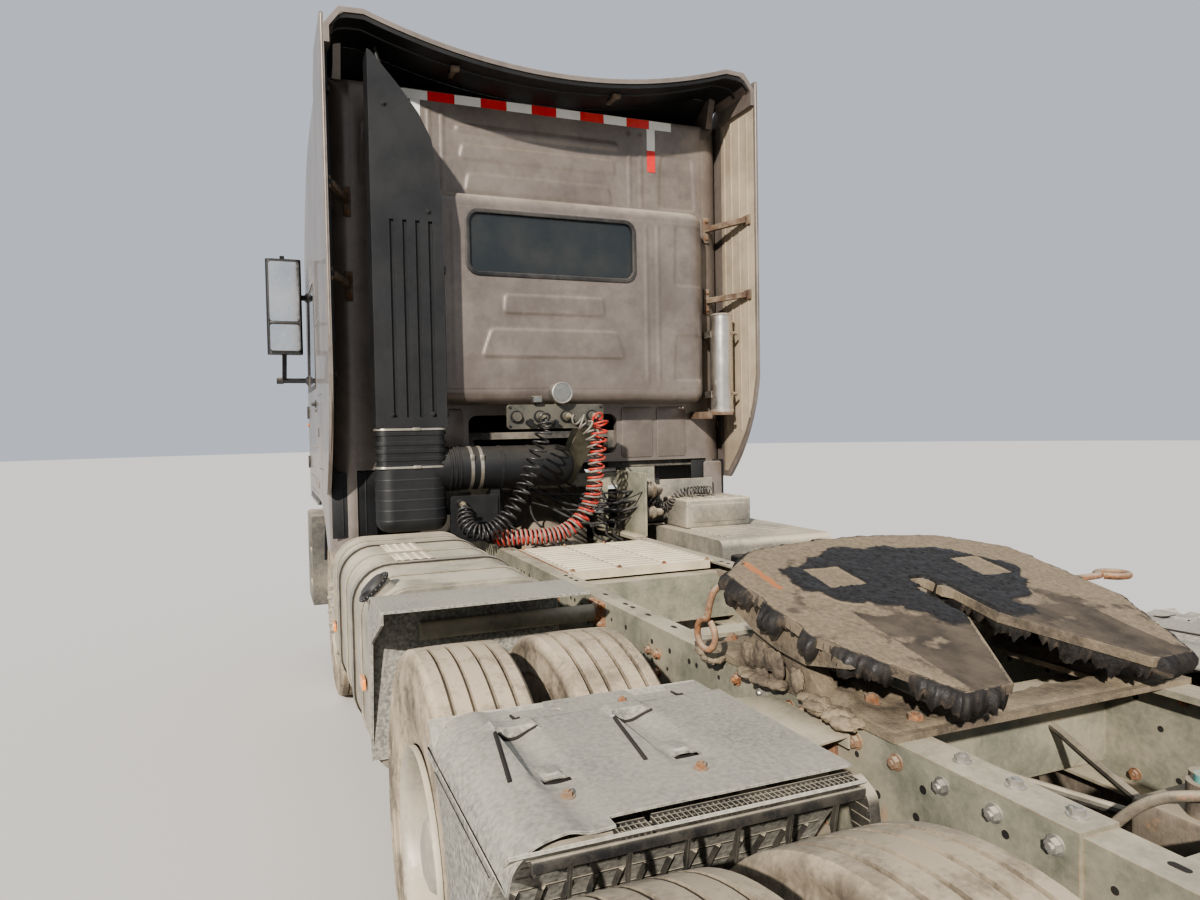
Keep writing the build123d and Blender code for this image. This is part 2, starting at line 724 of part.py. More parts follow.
# Fifth wheel mounting: base plate on the frame and two pivot pedestals with arched feet
base_top = rail_top + flitch_thickness + 14
pedestal_half = 26
pivot_boss_radius = 32
with BuildPart() as fifth_wheel_mount:
    with BuildSketch(level(rail_top + flitch_thickness + seat_gap)):
        with Locations((kingpin_x, 0)):
            Rectangle(2 * 400, 2 * 440)
            Rectangle(2 * 300, 2 * 250, mode=Mode.SUBTRACT)
    extrude(amount=base_top - rail_top - flitch_thickness - seat_gap)
    for side in (1, -1):
        with BuildSketch(side_plane(side * pivot_y + pedestal_half)):
            outline((kingpin_x - 190, base_top), (kingpin_x - 26, pivot_z + 12), (kingpin_x + 26, pivot_z + 12),
                    (kingpin_x + 190, base_top))
            with Locations((kingpin_x, pivot_z)):
                Circle(pivot_boss_radius)
                Circle(pivot_radius + pivot_clearance, mode=Mode.SUBTRACT)
            with Locations((kingpin_x, base_top)):
                Circle(64, mode=Mode.SUBTRACT)
        extrude(amount=2 * pedestal_half)
keep(fifth_wheel_mount.part, "fifth_wheel_mount")

# The tilting plate, drawn flat on its own plane, with ribs, pivot pins and a half-round kingpin seat
tilt = radians(plate_tilt)
pivot_plane = Plane(origin=(kingpin_x, 0, pivot_z), x_dir=(cos(tilt), 0, sin(tilt)), z_dir=(-sin(tilt), 0, cos(tilt)))
plate_bottom = plate_rise - plate_thickness
with BuildPart() as fifth_wheel_plate:
    with BuildSketch(pivot_plane.offset(plate_bottom)):
        with BuildLine():
            ThreePointArc((300, 330), (plate_front, 0), (300, -330))
            Polyline((300, -330), (170, -plate_half_width), (-190, -plate_half_width), (-plate_rear, -330),
                     (-plate_rear, -205), (-200, -slot_half_width), (-62, -slot_half_width), (-42, -jaw_radius),
                     (0, -jaw_radius))
            ThreePointArc((0, -jaw_radius), (jaw_radius, 0), (0, jaw_radius))
            Polyline((0, jaw_radius), (-42, jaw_radius), (-62, slot_half_width), (-200, slot_half_width),
                     (-plate_rear, 205), (-plate_rear, 330), (-190, plate_half_width), (170, plate_half_width),
                     (300, 330))
        make_face()
    extrude(amount=plate_thickness)
    rib = 14
    for side in (1, -1):
        for y in (pivot_y - pedestal_half - 8 - rib / 2, pivot_y + pedestal_half + 8 + rib / 2):
            with BuildSketch(Plane(origin=pivot_plane.from_local_coords((0, side * y + rib / 2, 0)),
                                   x_dir=pivot_plane.x_dir, z_dir=(0, -1, 0))):
                outline((-300, plate_bottom), (-160, plate_rise - skirt_depth + 20), (-50, -42), (50, -42),
                        (160, plate_rise - skirt_depth + 20), (250, plate_bottom))
            extrude(amount=rib)
        with BuildSketch(Plane(origin=pivot_plane.from_local_coords((0, side * (pivot_y + pedestal_half + 30), 0)),
                               x_dir=pivot_plane.x_dir, z_dir=(0, -side, 0))):
            Circle(pivot_radius)
        extrude(amount=2 * pedestal_half + 60)
        with BuildSketch(Plane(origin=pivot_plane.from_local_coords((0, side * 118 + rib / 2, 0)),
                               x_dir=pivot_plane.x_dir, z_dir=(0, -1, 0))):
            outline((-240, plate_bottom), (-200, plate_bottom - 50), (250, plate_rise - skirt_depth), (290, plate_bottom))
        extrude(amount=rib)
    with BuildSketch(Plane(origin=pivot_plane.from_local_coords((240, 0, plate_bottom)),
                           x_dir=(0, 1, 0), z_dir=pivot_plane.x_dir)):
        outline((-pivot_y + 34 + rib, 0), (-pivot_y + 70, -skirt_depth + plate_thickness),
                (pivot_y - 70, -skirt_depth + plate_thickness), (pivot_y - 34 - rib, 0))
    extrude(amount=rib)
keep(fifth_wheel_plate.part, "fifth_wheel_plate")


# Deck plate between the rails behind the cab
with BuildPart() as deck:
    with BuildSketch(level(rail_top + seat_gap)):
        with Locations(((deck_front_x + deck_rear_x) / 2, 0)):
            Rectangle(deck_front_x - deck_rear_x, 2 * deck_half_width)
    extrude(amount=deck_thickness)
    with BuildSketch(level(rail_top + seat_gap)):
        with Locations(((deck_front_x + deck_rear_x) / 2, 0)):
            Rectangle(deck_front_x - deck_rear_x, 2 * (rail_y - rail_flange - 10))
            Rectangle(deck_front_x - deck_rear_x - 60, 2 * (rail_y - rail_flange - 40), mode=Mode.SUBTRACT)
    extrude(amount=-deck_frame_depth)
keep(deck.part, "deck_plate")


# Portal on the frame under the cab's rear edge, with two rubber mounts' seats and the hose console's arm
portal_x = 1310
portal_depth = 90
portal_top = 1380
floor_bottom = floor_z - floor_thickness
console_y = (-190, -60)
with BuildPart() as portal:
    with BuildSketch(cross_plane(portal_x)):
        with Locations((0, portal_top - 40)):
            Rectangle(1300, 80)
        for side in (1, -1):
            with Locations((side * 385, (rail_top + seat_gap + portal_top) / 2)):
                Rectangle(70, portal_top - rail_top - seat_gap)
    extrude(amount=portal_depth)
    with BuildSketch(level(portal_top)):
        for side in (1, -1):
            with Locations((portal_x + portal_depth / 2, side * 540)):
                Circle(42)
    extrude(amount=floor_bottom - seat_gap - portal_top)
    with BuildSketch(side_plane(console_y[1])):
        outline((panel_rear_x + 18 + seat_gap, 1780), (panel_rear_x + 18 + seat_gap, 1650), (portal_x, 1320),
                (portal_x, 1374), (panel_rear_x + 70, 1700), (panel_rear_x + 70, 1780))
    extrude(amount=console_y[1] - console_y[0])
keep(portal.part, "rear_portal")

with BuildPart() as console:
    with BuildSketch(cross_plane(panel_rear_x)):
        with Locations((75, 1725)):
            RectangleRounded(550, 130, 20)
    extrude(amount=18)
    with BuildSketch(cross_plane(panel_rear_x)):
        for y in (300, 170, 20, -130):
            with Locations((y, 1725)):
                Circle(24)
    extrude(amount=-26)
    with BuildSketch(cross_plane(panel_rear_x)):
        with Locations((60, 1850)):
            Circle(55)
        with Locations((60, 1795)):
            Rectangle(40, 30)
    extrude(amount=18)
    with BuildSketch(cross_plane(panel_rear_x)):
        with Locations((60, 1850)):
            Circle(55)
    extrude(amount=-60)
keep(console.part, "connection_panel")


# Air intake on the frame: bellows up to the cab's intake, a bowl, and the pipe to the engine side
intake_rear_x = 868
intake_y = (660, 1020)
intake_bottom = 1680
bellows_bottom = 1470
bowl_bottom = 1140
pipe_radius = 115
pipe_x = intake_rear_x + pipe_radius
intake_mid_y = sum(intake_y) / 2
bracket_thickness = 12
parking_x = pipe_x - 78
parking_y = (450, 585)
parking_z = (1100, 1270)
with BuildPart() as air_duct:
    with BuildSketch(level(bellows_bottom)):
        with Locations((intake_rear_x + 78, intake_mid_y)):
            RectangleRounded(150, 340, 40)
    extrude(amount=intake_bottom - seat_gap - bellows_bottom)
    for z in (bellows_bottom, 1510, 1550, 1590, 1640):
        with BuildSketch(level(z)):
            with Locations((intake_rear_x + 78, intake_mid_y)):
                RectangleRounded(162, 356, 46)
        extrude(amount=18)
    with BuildSketch(level(bowl_bottom)):
        with Locations((intake_rear_x + 90, intake_mid_y)):
            RectangleRounded(180, 360, 80)
    extrude(amount=bellows_bottom - bowl_bottom)
    fillet(air_duct.edges().group_by(Axis.Z)[0], 60)
    with BuildSketch(side_plane(intake_mid_y)):
        with Locations((pipe_x, 1455)):
            Circle(pipe_radius)
    extrude(amount=intake_mid_y - 30)
    with BuildSketch(side_plane(rail_y - 10)):
        outline((pipe_x - 25, rail_top + seat_gap), (pipe_x - 25, 1400), (pipe_x + 25, 1400),
                (pipe_x + 25, rail_top + seat_gap))
    extrude(amount=50)
    with BuildSketch(cross_plane(pipe_x - 25)):
        with Locations((510, 1185)):
            RectangleRounded(260, 250, 20)
    extrude(amount=-bracket_thickness)
    with BuildSketch(cross_plane(pipe_x - 25 - bracket_thickness)):
        for y, z in zip(parking_y, parking_z):
            with Locations((y, z)):
                Circle(22)
    extrude(amount=parking_x + bracket_thickness + 25 - pipe_x)
keep(air_duct.part, "air_duct")


# Rear lamps on a cross bar behind the rear mudguards
lamp_bar_x = rear_x + 60
with BuildPart() as rear_lamps:
    with BuildSketch(cross_plane(lamp_bar_x)):
        with Locations((0, 700)):
            Rectangle(2 * guard_outer_y - 60, 60)
        for side in (1, -1):
            with Locations((side * 385, 755)):
                Rectangle(60, 90)
    extrude(amount=frame_rear_x - lamp_bar_x - seat_gap)
    with BuildSketch(cross_plane(rear_x)):
        for side in (1, -1):
            with Locations((side * 960, 700)):
                RectangleRounded(420, 130, 20)
    extrude(amount=60)
    with BuildSketch(cross_plane(frame_rear_x - seat_gap)):
        for side in (1, -1):
            with Locations((side * 385, 785)):
                Rectangle(60, 30)
    extrude(amount=-20)
keep(rear_lamps.part, "rear_lamps")


def cab_form(inset):
    """The cab's outer form, drawn in from its surface by this much."""
    with BuildPart() as form:
        with BuildSketch(side_plane(cab_half_width + 50)):
            with BuildLine():
                Polyline((cab_back_x, rear_flap_bottom_z), (1800, rear_flap_bottom_z), (1800, side_bottom_z),
                         (3250, side_bottom_z), (3405, cab_front_bottom_z), (3430, 1300), (3400, screen_bottom_z),
                         (3190, 2760))
                ThreePointArc((3190, 2760), (2860, 3230), (2420, 3500))
                ThreePointArc((2420, 3500), (1900, roof_top_z - 14), (1390, roof_top_z))
                ThreePointArc((1390, roof_top_z), (cab_back_x + 40, roof_top_z - 42), (cab_back_x, roof_top_z - 140))
                Line((cab_back_x, roof_top_z - 140), (cab_back_x, rear_flap_bottom_z))
            make_face()
            if inset:
                offset(amount=-inset, kind=Kind.INTERSECTION)
        extrude(amount=2 * cab_half_width + 100)
        with BuildSketch(level(rear_flap_bottom_z - 50)):
            with BuildLine():
                ThreePointArc((3430 - nose_depth, nose_half_width), (3430, 0), (3430 - nose_depth, -nose_half_width))
                FilletPolyline((3430 - nose_depth, -nose_half_width), (3190, -cab_half_width),
                               (cab_back_x, -cab_half_width), (cab_back_x, cab_half_width),
                               (3190, cab_half_width), (3430 - nose_depth, nose_half_width),
                               radius=cab_back_radius)
            make_face()
            if inset:
                offset(amount=-inset, kind=Kind.INTERSECTION)
        extrude(amount=3000, mode=Mode.INTERSECT)
    return form.part


def bulge_form(inset):
    """The sleeper's bulge behind the back wall, drawn in from its surface by this much."""
    with BuildPart() as form:
        with BuildSketch(level(bulge_bottom_z + inset)) as plan:
            with Locations(((bulge_x + cab_back_x + 60 + inset) / 2, 0)):
                Rectangle(cab_back_x + 60 - bulge_x - inset, 2 * (bulge_half_width - inset))
            fillet(plan.vertices().group_by(Axis.X)[0], bulge_radius - inset)
        extrude(amount=bulge_top_z - bulge_bottom_z - 2 * inset)
        ends = form.faces().sort_by(Axis.Z)
        rims = [edge for end in (ends[0], ends[-1]) for edge in end.edges() if edge.center().X < cab_back_x]
        fillet(rims, bulge_edge_radius - inset / 2)
    return form.part


# Pressed forms of the back wall, seen from behind: each is (half width low, half width high, bottom, top)
wall_ribs = ((500, 490, 3340, 3375), (480, 462, 3190, 3270), (450, 432, 3010, 3110))
bulge_ribs = ((300, 292, 2300, 2400), (426, 372, 2060, 2210))
ridge_y = (572, 648)
rib_height = 5
ridge_height = 3.5
press_slope = 58
sunk_depth = 9
wall_sunk = ((754, 1036, 2994, 3356),)
bulge_sunk = ((744, 981, 2484, 2866), (734, 984, 1919, 2216))
low_plates = ((-697, -493, 1473, 1777), (-927, -733, 1473, 1777), (493, 637, 1473, 1777))


def rear_plane(x):
    """Takes (-Y, Z) at this X. A positive extrusion goes to the rear."""
    return Plane(origin=(x, 0, 0), x_dir=(0, -1, 0), z_dir=(-1, 0, 0))


def pressed_wall(x, ribs, ridge_z):
    """Ribs and narrow ridges standing to the rear of the flat wall at this X."""
    with BuildPart() as pressed:
        with BuildSketch(rear_plane(x)):
            for low, high, bottom, top in ribs:
                outline((-low, bottom), (low, bottom), (high, top), (-high, top))
        extrude(amount=rib_height, taper=press_slope)
        with BuildSketch(rear_plane(x)):
            for y in ridge_y:
                for side in (1, -1):
                    with Locations((side * y, sum(ridge_z) / 2)):
                        Rectangle(14, ridge_z[1] - ridge_z[0])
        extrude(amount=ridge_height, taper=press_slope)
    return pressed.part


def sunk_panels(x, panels, depth):
    """Prisms of the side panels, from behind the wall at this X to this far into it."""
    with BuildPart() as sunk:
        with BuildSketch(cross_plane(x - 20)):
            for low, high, bottom, top in panels:
                for side in (1, -1):
                    with Locations((side * (low + high) / 2, (bottom + top) / 2)):
                        RectangleRounded(high - low, top - bottom, 16)
        extrude(amount=20 + depth)
    return sunk.part


# The cab's shell: the outer form and bulge less the inner ones, open below, with arches and window openings
inner_bottom_z = 1300
screen_half_width = cab_half_width - 170
screen_z = (1960, 2700)
door_outline = ((door_rear_x, door_bottom_z), (door_front_x, door_bottom_z), (door_front_x, door_window_bottom_z),
                (door_top_front_x, door_top_z), (door_rear_x, door_top_z))
window_outline = ((door_rear_x + door_window_margin, door_window_bottom_z),
                  (door_front_x - door_window_margin - 20, door_window_bottom_z),
                  (door_top_front_x - door_window_margin + 24, door_top_z - door_window_margin),
                  (door_rear_x + door_window_margin, door_top_z - door_window_margin))
with BuildPart() as shell:
    add(cab_form(0))
    add(bulge_form(0))
    add(cab_form(cab_wall), mode=Mode.SUBTRACT)
    add(bulge_form(cab_wall), mode=Mode.SUBTRACT)
    with BuildSketch(level(rear_flap_bottom_z - 10)):
        with Locations(((cab_back_x + 3400) / 2, 0)):
            Rectangle(3400 - cab_back_x - 2 * cab_wall, 2 * (cab_half_width - cab_wall))
    extrude(amount=inner_bottom_z - rear_flap_bottom_z, mode=Mode.SUBTRACT)
    with BuildSketch(level(rear_flap_bottom_z - 10)):
        with Locations((cab_back_x, 0)):
            Rectangle(2 * cab_wall + 1, 2 * (cab_half_width - 140))
    extrude(amount=floor_z - rear_flap_bottom_z + 10, mode=Mode.SUBTRACT)
    with BuildSketch(side_plane(cab_half_width + 10)):
        with Locations((front_axle_x, axle_z)):
            Circle(arch_radius)
    extrude(amount=2 * cab_half_width + 20, mode=Mode.SUBTRACT)
    with BuildSketch(cross_plane(bulge_x - 10)):
        with Locations((0, rear_window_z)):
            RectangleRounded(rear_window_width, rear_window_height, rear_window_radius)
    extrude(amount=cab_wall + 60, mode=Mode.SUBTRACT)
    with BuildSketch(cross_plane(cab_back_x - 10)):
        with Locations((0, (1500 + 1740) / 2)):
            RectangleRounded(2 * tunnel_half_width, 240, 50)
    extrude(amount=cab_wall + 20, mode=Mode.SUBTRACT)
    with BuildSketch(cross_plane(2900)):
        with Locations((0, sum(screen_z) / 2)):
            RectangleRounded(2 * screen_half_width, screen_z[1] - screen_z[0], 90)
    extrude(amount=700, mode=Mode.SUBTRACT)
    add(pressed_wall(cab_back_x, wall_ribs, (3000, roof_top_z - 145)))
    add(pressed_wall(bulge_x, bulge_ribs, (bulge_bottom_z + 105, bulge_top_z - 95)))
    add(sunk_panels(cab_back_x, wall_sunk, sunk_depth), mode=Mode.SUBTRACT)
    with BuildPart() as bulge_panels:
        add(sunk_panels(bulge_x, bulge_sunk, 120))
        add(bulge_form(sunk_depth), mode=Mode.SUBTRACT)
    add(bulge_panels.part, mode=Mode.SUBTRACT)
    with BuildSketch(rear_plane(cab_back_x)):
        for low, high, bottom, top in low_plates:
            with Locations((-(low + high) / 2, (bottom + top) / 2)):
                Rectangle(high - low, top - bottom)
    extrude(amount=4)
cab_shell = shell.part


def side_prism(points, y_low, y_high, inset=0):
    """A prism of a side outline between two Y values, drawn in all round by the inset."""
    with BuildPart() as prism:
        with BuildSketch(side_plane(y_high)):
            outline(*points)
            if inset:
                offset(amount=-inset, kind=Kind.INTERSECTION)
        extrude(amount=y_high - y_low)
    return prism.part


# The shell's panels meet along plain seams
half_gap = seat_gap / 2
panel_regions = {
    "cab_back": ((900, 900), (back_split_x - half_gap, 900), (back_split_x - half_gap, 3700), (900, 3700)),
    "cab_roof": ((back_split_x + half_gap, roof_split_z + half_gap), (3600, roof_split_z + half_gap), (3600, 3700),
                 (back_split_x + half_gap, 3700)),
    "cab_front": ((front_split[0][0] + half_gap, 900), (3600, 900), (3600, roof_split_z - half_gap),
                  (front_split[2][0] + half_gap, roof_split_z - half_gap), (front_split[1][0] + half_gap, front_split[1][1])),
    "cab_sides": ((back_split_x + half_gap, 900), (front_split[0][0] - half_gap, 900),
                  (front_split[1][0] - half_gap, front_split[1][1]), (front_split[2][0] - half_gap, roof_split_z - half_gap),
                  (back_split_x + half_gap, roof_split_z - half_gap)),
}
wide = cab_half_width + 60

# Grille: slats in a sunk field across the front
grille_half_width = nose_half_width - 250
grille_z = (1310, 1375, 1455, 1535, 1615, 1670)
slat_height = 34
grille_depth = 12


def grille_block(z_range, outer, inner):
    """The front wall's skin between two depths, over the grille's width and these heights."""
    with BuildPart() as block:
        with BuildSketch(level(z_range[0])):
            with Locations((3400, 0)):
                Rectangle(300, 2 * grille_half_width)
        extrude(amount=z_range[1] - z_range[0])
        add(cab_form(outer), mode=Mode.INTERSECT)
        add(cab_form(inner), mode=Mode.SUBTRACT)
    return block.part


for name, region in panel_regions.items():
    with BuildPart() as panel:
        add(cab_shell)
        add(side_prism(region, -wide, wide), mode=Mode.INTERSECT)
        if name == "cab_sides":
            add(side_prism(door_outline, -wide, wide), mode=Mode.SUBTRACT)
        if name == "cab_front":
            add(grille_block((grille_z[0], grille_z[-1] + slat_height), 0, grille_depth), mode=Mode.SUBTRACT)
            for z in grille_z[1:-1]:
                add(grille_block((z, z + slat_height), -grille_depth, grille_depth + 2))
    keep(panel.part, name)

# Doors, cut from the same shell, with their window openings and panes
with BuildPart() as pane_skin:
    add(cab_form(4))
    add(cab_form(4 + glass_thickness), mode=Mode.SUBTRACT)
glass_skin = pane_skin.part
for side, name in ((1, "left"), (-1, "right")):
    y_low, y_high = sorted((side * 1000, side * wide))
    with BuildPart() as door:
        add(cab_shell)
        add(side_prism(door_outline, y_low, y_high, door_gap), mode=Mode.INTERSECT)
        add(side_prism(window_outline, y_low, y_high), mode=Mode.SUBTRACT)
    keep(door.part, f"door_{name}")
    with BuildPart() as pane:
        add(glass_skin)
        add(side_prism(window_outline, y_low, y_high, seat_gap), mode=Mode.INTERSECT)
    keep(pane.part, f"door_glass_{name}")

# Windscreen and rear window
with BuildPart() as cab_glass:
    add(glass_skin)
    with BuildSketch(cross_plane(2900)):
        with Locations((0, sum(screen_z) / 2)):
            RectangleRounded(2 * (screen_half_width - seat_gap), screen_z[1] - screen_z[0] - 2 * seat_gap, 90 - seat_gap)
    extrude(amount=700, mode=Mode.INTERSECT)
    with BuildSketch(cross_plane(bulge_x + 10)):
        with Locations((0, rear_window_z)):
            RectangleRounded(rear_window_width - 2 * seat_gap, rear_window_height - 2 * seat_gap,
                             rear_window_radius - seat_gap)
    extrude(amount=glass_thickness)
keep(cab_glass.part, "cab_glass")


# Cab floor with the engine tunnel and the front pivot arms
tunnel_front_x = 3150
floor_front_x = 3340
with BuildPart() as cab_floor:
    add(cab_form(cab_wall + seat_gap))
    with BuildSketch(level(floor_bottom)):
        with Locations(((cab_back_x + floor_front_x) / 2, 0)):
            Rectangle(floor_front_x - cab_back_x, 2 * cab_half_width)
    extrude(amount=floor_thickness, mode=Mode.INTERSECT)
    with BuildSketch(level(floor_bottom)):
        with Locations(((cab_back_x + cab_wall + seat_gap + tunnel_front_x) / 2, 0)):
            Rectangle(tunnel_front_x - cab_back_x - cab_wall - seat_gap, 2 * tunnel_half_width)
    extrude(amount=tunnel_top_z - floor_bottom)
    with BuildSketch(level(floor_bottom)):
        with Locations(((cab_back_x + tunnel_front_x - 40) / 2, 0)):
            Rectangle(tunnel_front_x - 40 - cab_back_x, 2 * (tunnel_half_width - 40))
    extrude(amount=tunnel_top_z - 40 - floor_bottom, mode=Mode.SUBTRACT)
    for side in (1, -1):
        with BuildSketch(side_plane(side * tilt_y + 25)):
            outline((3200, floor_bottom + 5), (tilt_x - 29, tilt_z), (tilt_x + 8, tilt_z), (3335, floor_bottom + 5))
            with Locations((tilt_x, tilt_z)):
                Circle(tilt_eye_radius)
                Circle(tilt_pin_radius + tilt_pin_clearance, mode=Mode.SUBTRACT)
        extrude(amount=50)
keep(cab_floor.part, "cab_floor")


# Cab interior: dashboard with the steering wheel, two seats and the bunk
dash_half_width = cab_half_width - 55
with BuildPart() as dashboard:
    with BuildSketch(side_plane(dash_half_width)):
        outline((3030, 1700), (3400, 1640), (3400, 1930), (3120, 1960), (3010, 1900))
    extrude(amount=2 * dash_half_width)
    add(cab_form(cab_wall + seat_gap), mode=Mode.INTERSECT)
    with BuildSketch(Plane(origin=(3050, 600, 1880), z_dir=(-0.5, 0, 0.866))):
        Circle(34)
    extrude(amount=200)
    with BuildSketch(Plane(origin=(2950, 600, 2053.2), z_dir=(-0.5, 0, 0.866))):
        Circle(225)
        Circle(195, mode=Mode.SUBTRACT)
        Rectangle(400, 40)
    extrude(amount=26)
keep(dashboard.part, "dashboard")

with BuildPart() as seats:
    for side in (1, -1):
        with BuildSketch(side_plane(side * 690 + 250)):
            outline((2230, 1880), (2720, 1900), (2730, 2010), (2350, 1990), (2230, 2560), (2110, 2560))
        extrude(amount=500)
        with BuildSketch(level(floor_z + seat_gap)):
            with Locations((2460, side * 690)):
                Rectangle(300, 300)
        extrude(amount=440)
keep(seats.part, "seats")

with BuildPart() as bunk:
    with BuildSketch(level(1950)):
        with Locations((1690, 0)):
            Rectangle(590, 2 * (cab_half_width - cab_wall - seat_gap))
    extrude(amount=120)
    with BuildSketch(level(floor_z + seat_gap)):
        for side in (1, -1):
            with Locations((1690, side * (cab_half_width - 400))):
                Rectangle(560, 500)
    extrude(amount=1950 - floor_z - seat_gap)
keep(bunk.part, "bunk")


# Roof fairing behind the roof, side extenders, air intake snorkel, canister and mirrors
fairing_dip = 170
fairing_arc_y = cab_half_width - 190
fairing_corner_y = cab_half_width - 70
fairing_corner_z = fairing_top_z - 5
fairing_shoulder_z = fairing_top_z - 95
fairing_side_z = fairing_top_z - 185
with BuildPart() as roof_fairing:
    with BuildSketch(cross_plane(fairing_rear_x)):
        with BuildLine():
            ThreePointArc((-fairing_arc_y, fairing_top_z), (0, fairing_top_z - fairing_dip),
                          (fairing_arc_y, fairing_top_z))
            Polyline((fairing_arc_y, fairing_top_z), (fairing_corner_y, fairing_corner_z), (cab_half_width, fairing_shoulder_z),
                     (cab_half_width, fairing_side_z), (cab_half_width - fairing_thickness, fairing_side_z),
                     (cab_half_width - fairing_thickness, fairing_shoulder_z - 10),
                     (fairing_corner_y - 12, fairing_corner_z - fairing_thickness),
                     (fairing_arc_y, fairing_top_z - fairing_thickness))
            ThreePointArc((fairing_arc_y, fairing_top_z - fairing_thickness),
                          (0, fairing_top_z - fairing_dip - fairing_thickness),
                          (-fairing_arc_y, fairing_top_z - fairing_thickness))
            Polyline((-fairing_arc_y, fairing_top_z - fairing_thickness),
                     (12 - fairing_corner_y, fairing_corner_z - fairing_thickness),
                     (fairing_thickness - cab_half_width, fairing_shoulder_z - 10),
                     (fairing_thickness - cab_half_width, fairing_side_z), (-cab_half_width, fairing_side_z),
                     (-cab_half_width, fairing_shoulder_z), (-fairing_corner_y, fairing_corner_z),
                     (-fairing_arc_y, fairing_top_z))
        make_face()
    extrude(amount=cab_back_x - seat_gap - fairing_rear_x)
    for side in (1, -1):
        with BuildSketch(side_plane(side * fairing_corner_y)):
            outline((cab_back_x - 60, fairing_top_z - 20), (cab_back_x - seat_gap, roof_top_z - 50),
                    (2100, roof_top_z - 50), (1900, fairing_shoulder_z), (1500, fairing_top_z - 20))
        extrude(amount=side * 40)
    add(cab_form(-seat_gap), mode=Mode.SUBTRACT)
keep(roof_fairing.part, "roof_fairing")

with BuildPart() as extenders:
    for side in (1, -1):
        with BuildSketch(side_plane(side * (cab_half_width + seat_gap + extender_thickness))):
            with BuildLine():
                Polyline((fairing_rear_x, 1950), (fairing_rear_x, extender_top_z), (cab_back_x + 60, extender_top_z),
                         (extender_front_x, extender_top_z - 140), (extender_front_x, extender_bottom_z),
                         (1200, extender_bottom_z))
                ThreePointArc((1200, extender_bottom_z), (985, 1600), (fairing_rear_x, 1950))
            make_face()
        extrude(amount=side * extender_thickness)
keep(extenders.part, "side_extenders")

with BuildPart() as snorkel:
    with BuildSketch(cross_plane(intake_rear_x)):
        outline((intake_y[1], intake_bottom), (intake_y[1], 3560), (1000, 3550), (860, 3390), (770, 3270),
                (710, 3150), (680, 2970), (intake_y[0], 2830), (intake_y[0], intake_bottom))
    extrude(amount=bulge_x - seat_gap - intake_rear_x)
    with BuildSketch(cross_plane(intake_rear_x)):
        for y in (725, 790, 855, 920):
            with Locations((y, 2230)):
                Rectangle(22, 1000)
    extrude(amount=14, mode=Mode.SUBTRACT)
keep(snorkel.part, "air_snorkel")

canister_x = cab_back_x - 175
canister_y = cab_half_width - 120
shelf_rear_x = cab_back_x - 280
with BuildPart() as canister:
    with BuildSketch(level(1740)):
        with Locations((canister_x, -canister_y)):
            Circle(70)
    extrude(amount=590)
    with BuildSketch(level(1722)):
        with Locations(((shelf_rear_x + cab_back_x - seat_gap) / 2, 60 - canister_y)):
            Rectangle(cab_back_x - seat_gap - shelf_rear_x, 150)
    extrude(amount=18)
    for z in (1830, 2200):
        with BuildSketch(level(z)):
            with Locations(((canister_x + cab_back_x - seat_gap) / 2, 50 - canister_y)):
                Rectangle(cab_back_x - seat_gap - canister_x, 50)
        extrude(amount=40)
keep(canister.part, "canister")

mirror_y = cab_half_width + 160
mirror_arm_y = cab_half_width + 180
for side, name in ((1, "left"), (-1, "right")):
    with BuildPart() as mirror:
        with BuildSketch(level(2200)):
            with Locations((2765, side * mirror_y)):
                RectangleRounded(110, 230, 30)
        extrude(amount=650)
        for z_low, z_high, x_low in ((2610, 2880, 2880), (2030, 2230, 3000)):
            with BuildSketch(side_plane(side * mirror_arm_y)):
                outline((x_low - 25, z_low), (x_low, z_low), (2790, z_high), (2765, z_high))
            extrude(amount=side * 30)
        for z, x in ((2610, 2868), (2030, 2988)):
            with BuildSketch(side_plane(side * mirror_arm_y)):
                with Locations((x, z)):
                    Rectangle(34, 34)
            extrude(amount=side * (mirror_arm_y - cab_half_width - seat_gap))
    keep(mirror.part, f"mirror_{name}")


# Air hoses: each coil is one plain tube of its outer width, from its socket to its parking place
for name, points in (
        ("hose_black", ((panel_rear_x - 26, 170, 1725), (690, 170, 1725), (688, 205, 1610), (700, 245, 1500),
                        (700, 290, 1390), (694, 345, 1285), (690, 410, 1195), (690, 490, 1140), (715, 570, 1135),
                        (765, 605, 1190), (820, parking_y[1], parking_z[1]), (parking_x, parking_y[1], parking_z[1]))),
        ("hose_red", ((panel_rear_x - 26, -130, 1725), (690, -130, 1725), (686, -112, 1600), (704, -102, 1440),
                      (716, -85, 1290), (722, -25, 1180), (722, 75, 1108), (730, 190, 1092), (752, 305, 1094),
                      (795, 420, 1092), (850, parking_y[0], parking_z[0]), (parking_x, parking_y[0], parking_z[0])))):
    runs = [Vector(*second) - Vector(*first) for first, second in zip(points, points[1:])]
    radii = [0.45 * min(before.length, after.length) / tan(radians(before.get_angle(after) / 2))
             for before, after in zip(runs, runs[1:])]
    print(name, "bend radii", [round(radius) for radius in radii])
    with BuildPart() as hose:
        with BuildLine() as route:
            FilletPolyline(*points, radius=radii)
        with BuildSketch(Plane(origin=points[0], z_dir=route.line % 0)):
            Circle(hose_coil_radius)
        sweep()
    keep(hose.part, name)
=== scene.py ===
import bmesh
import bpy
import math
import random
from mathutils import Matrix, Vector, noise


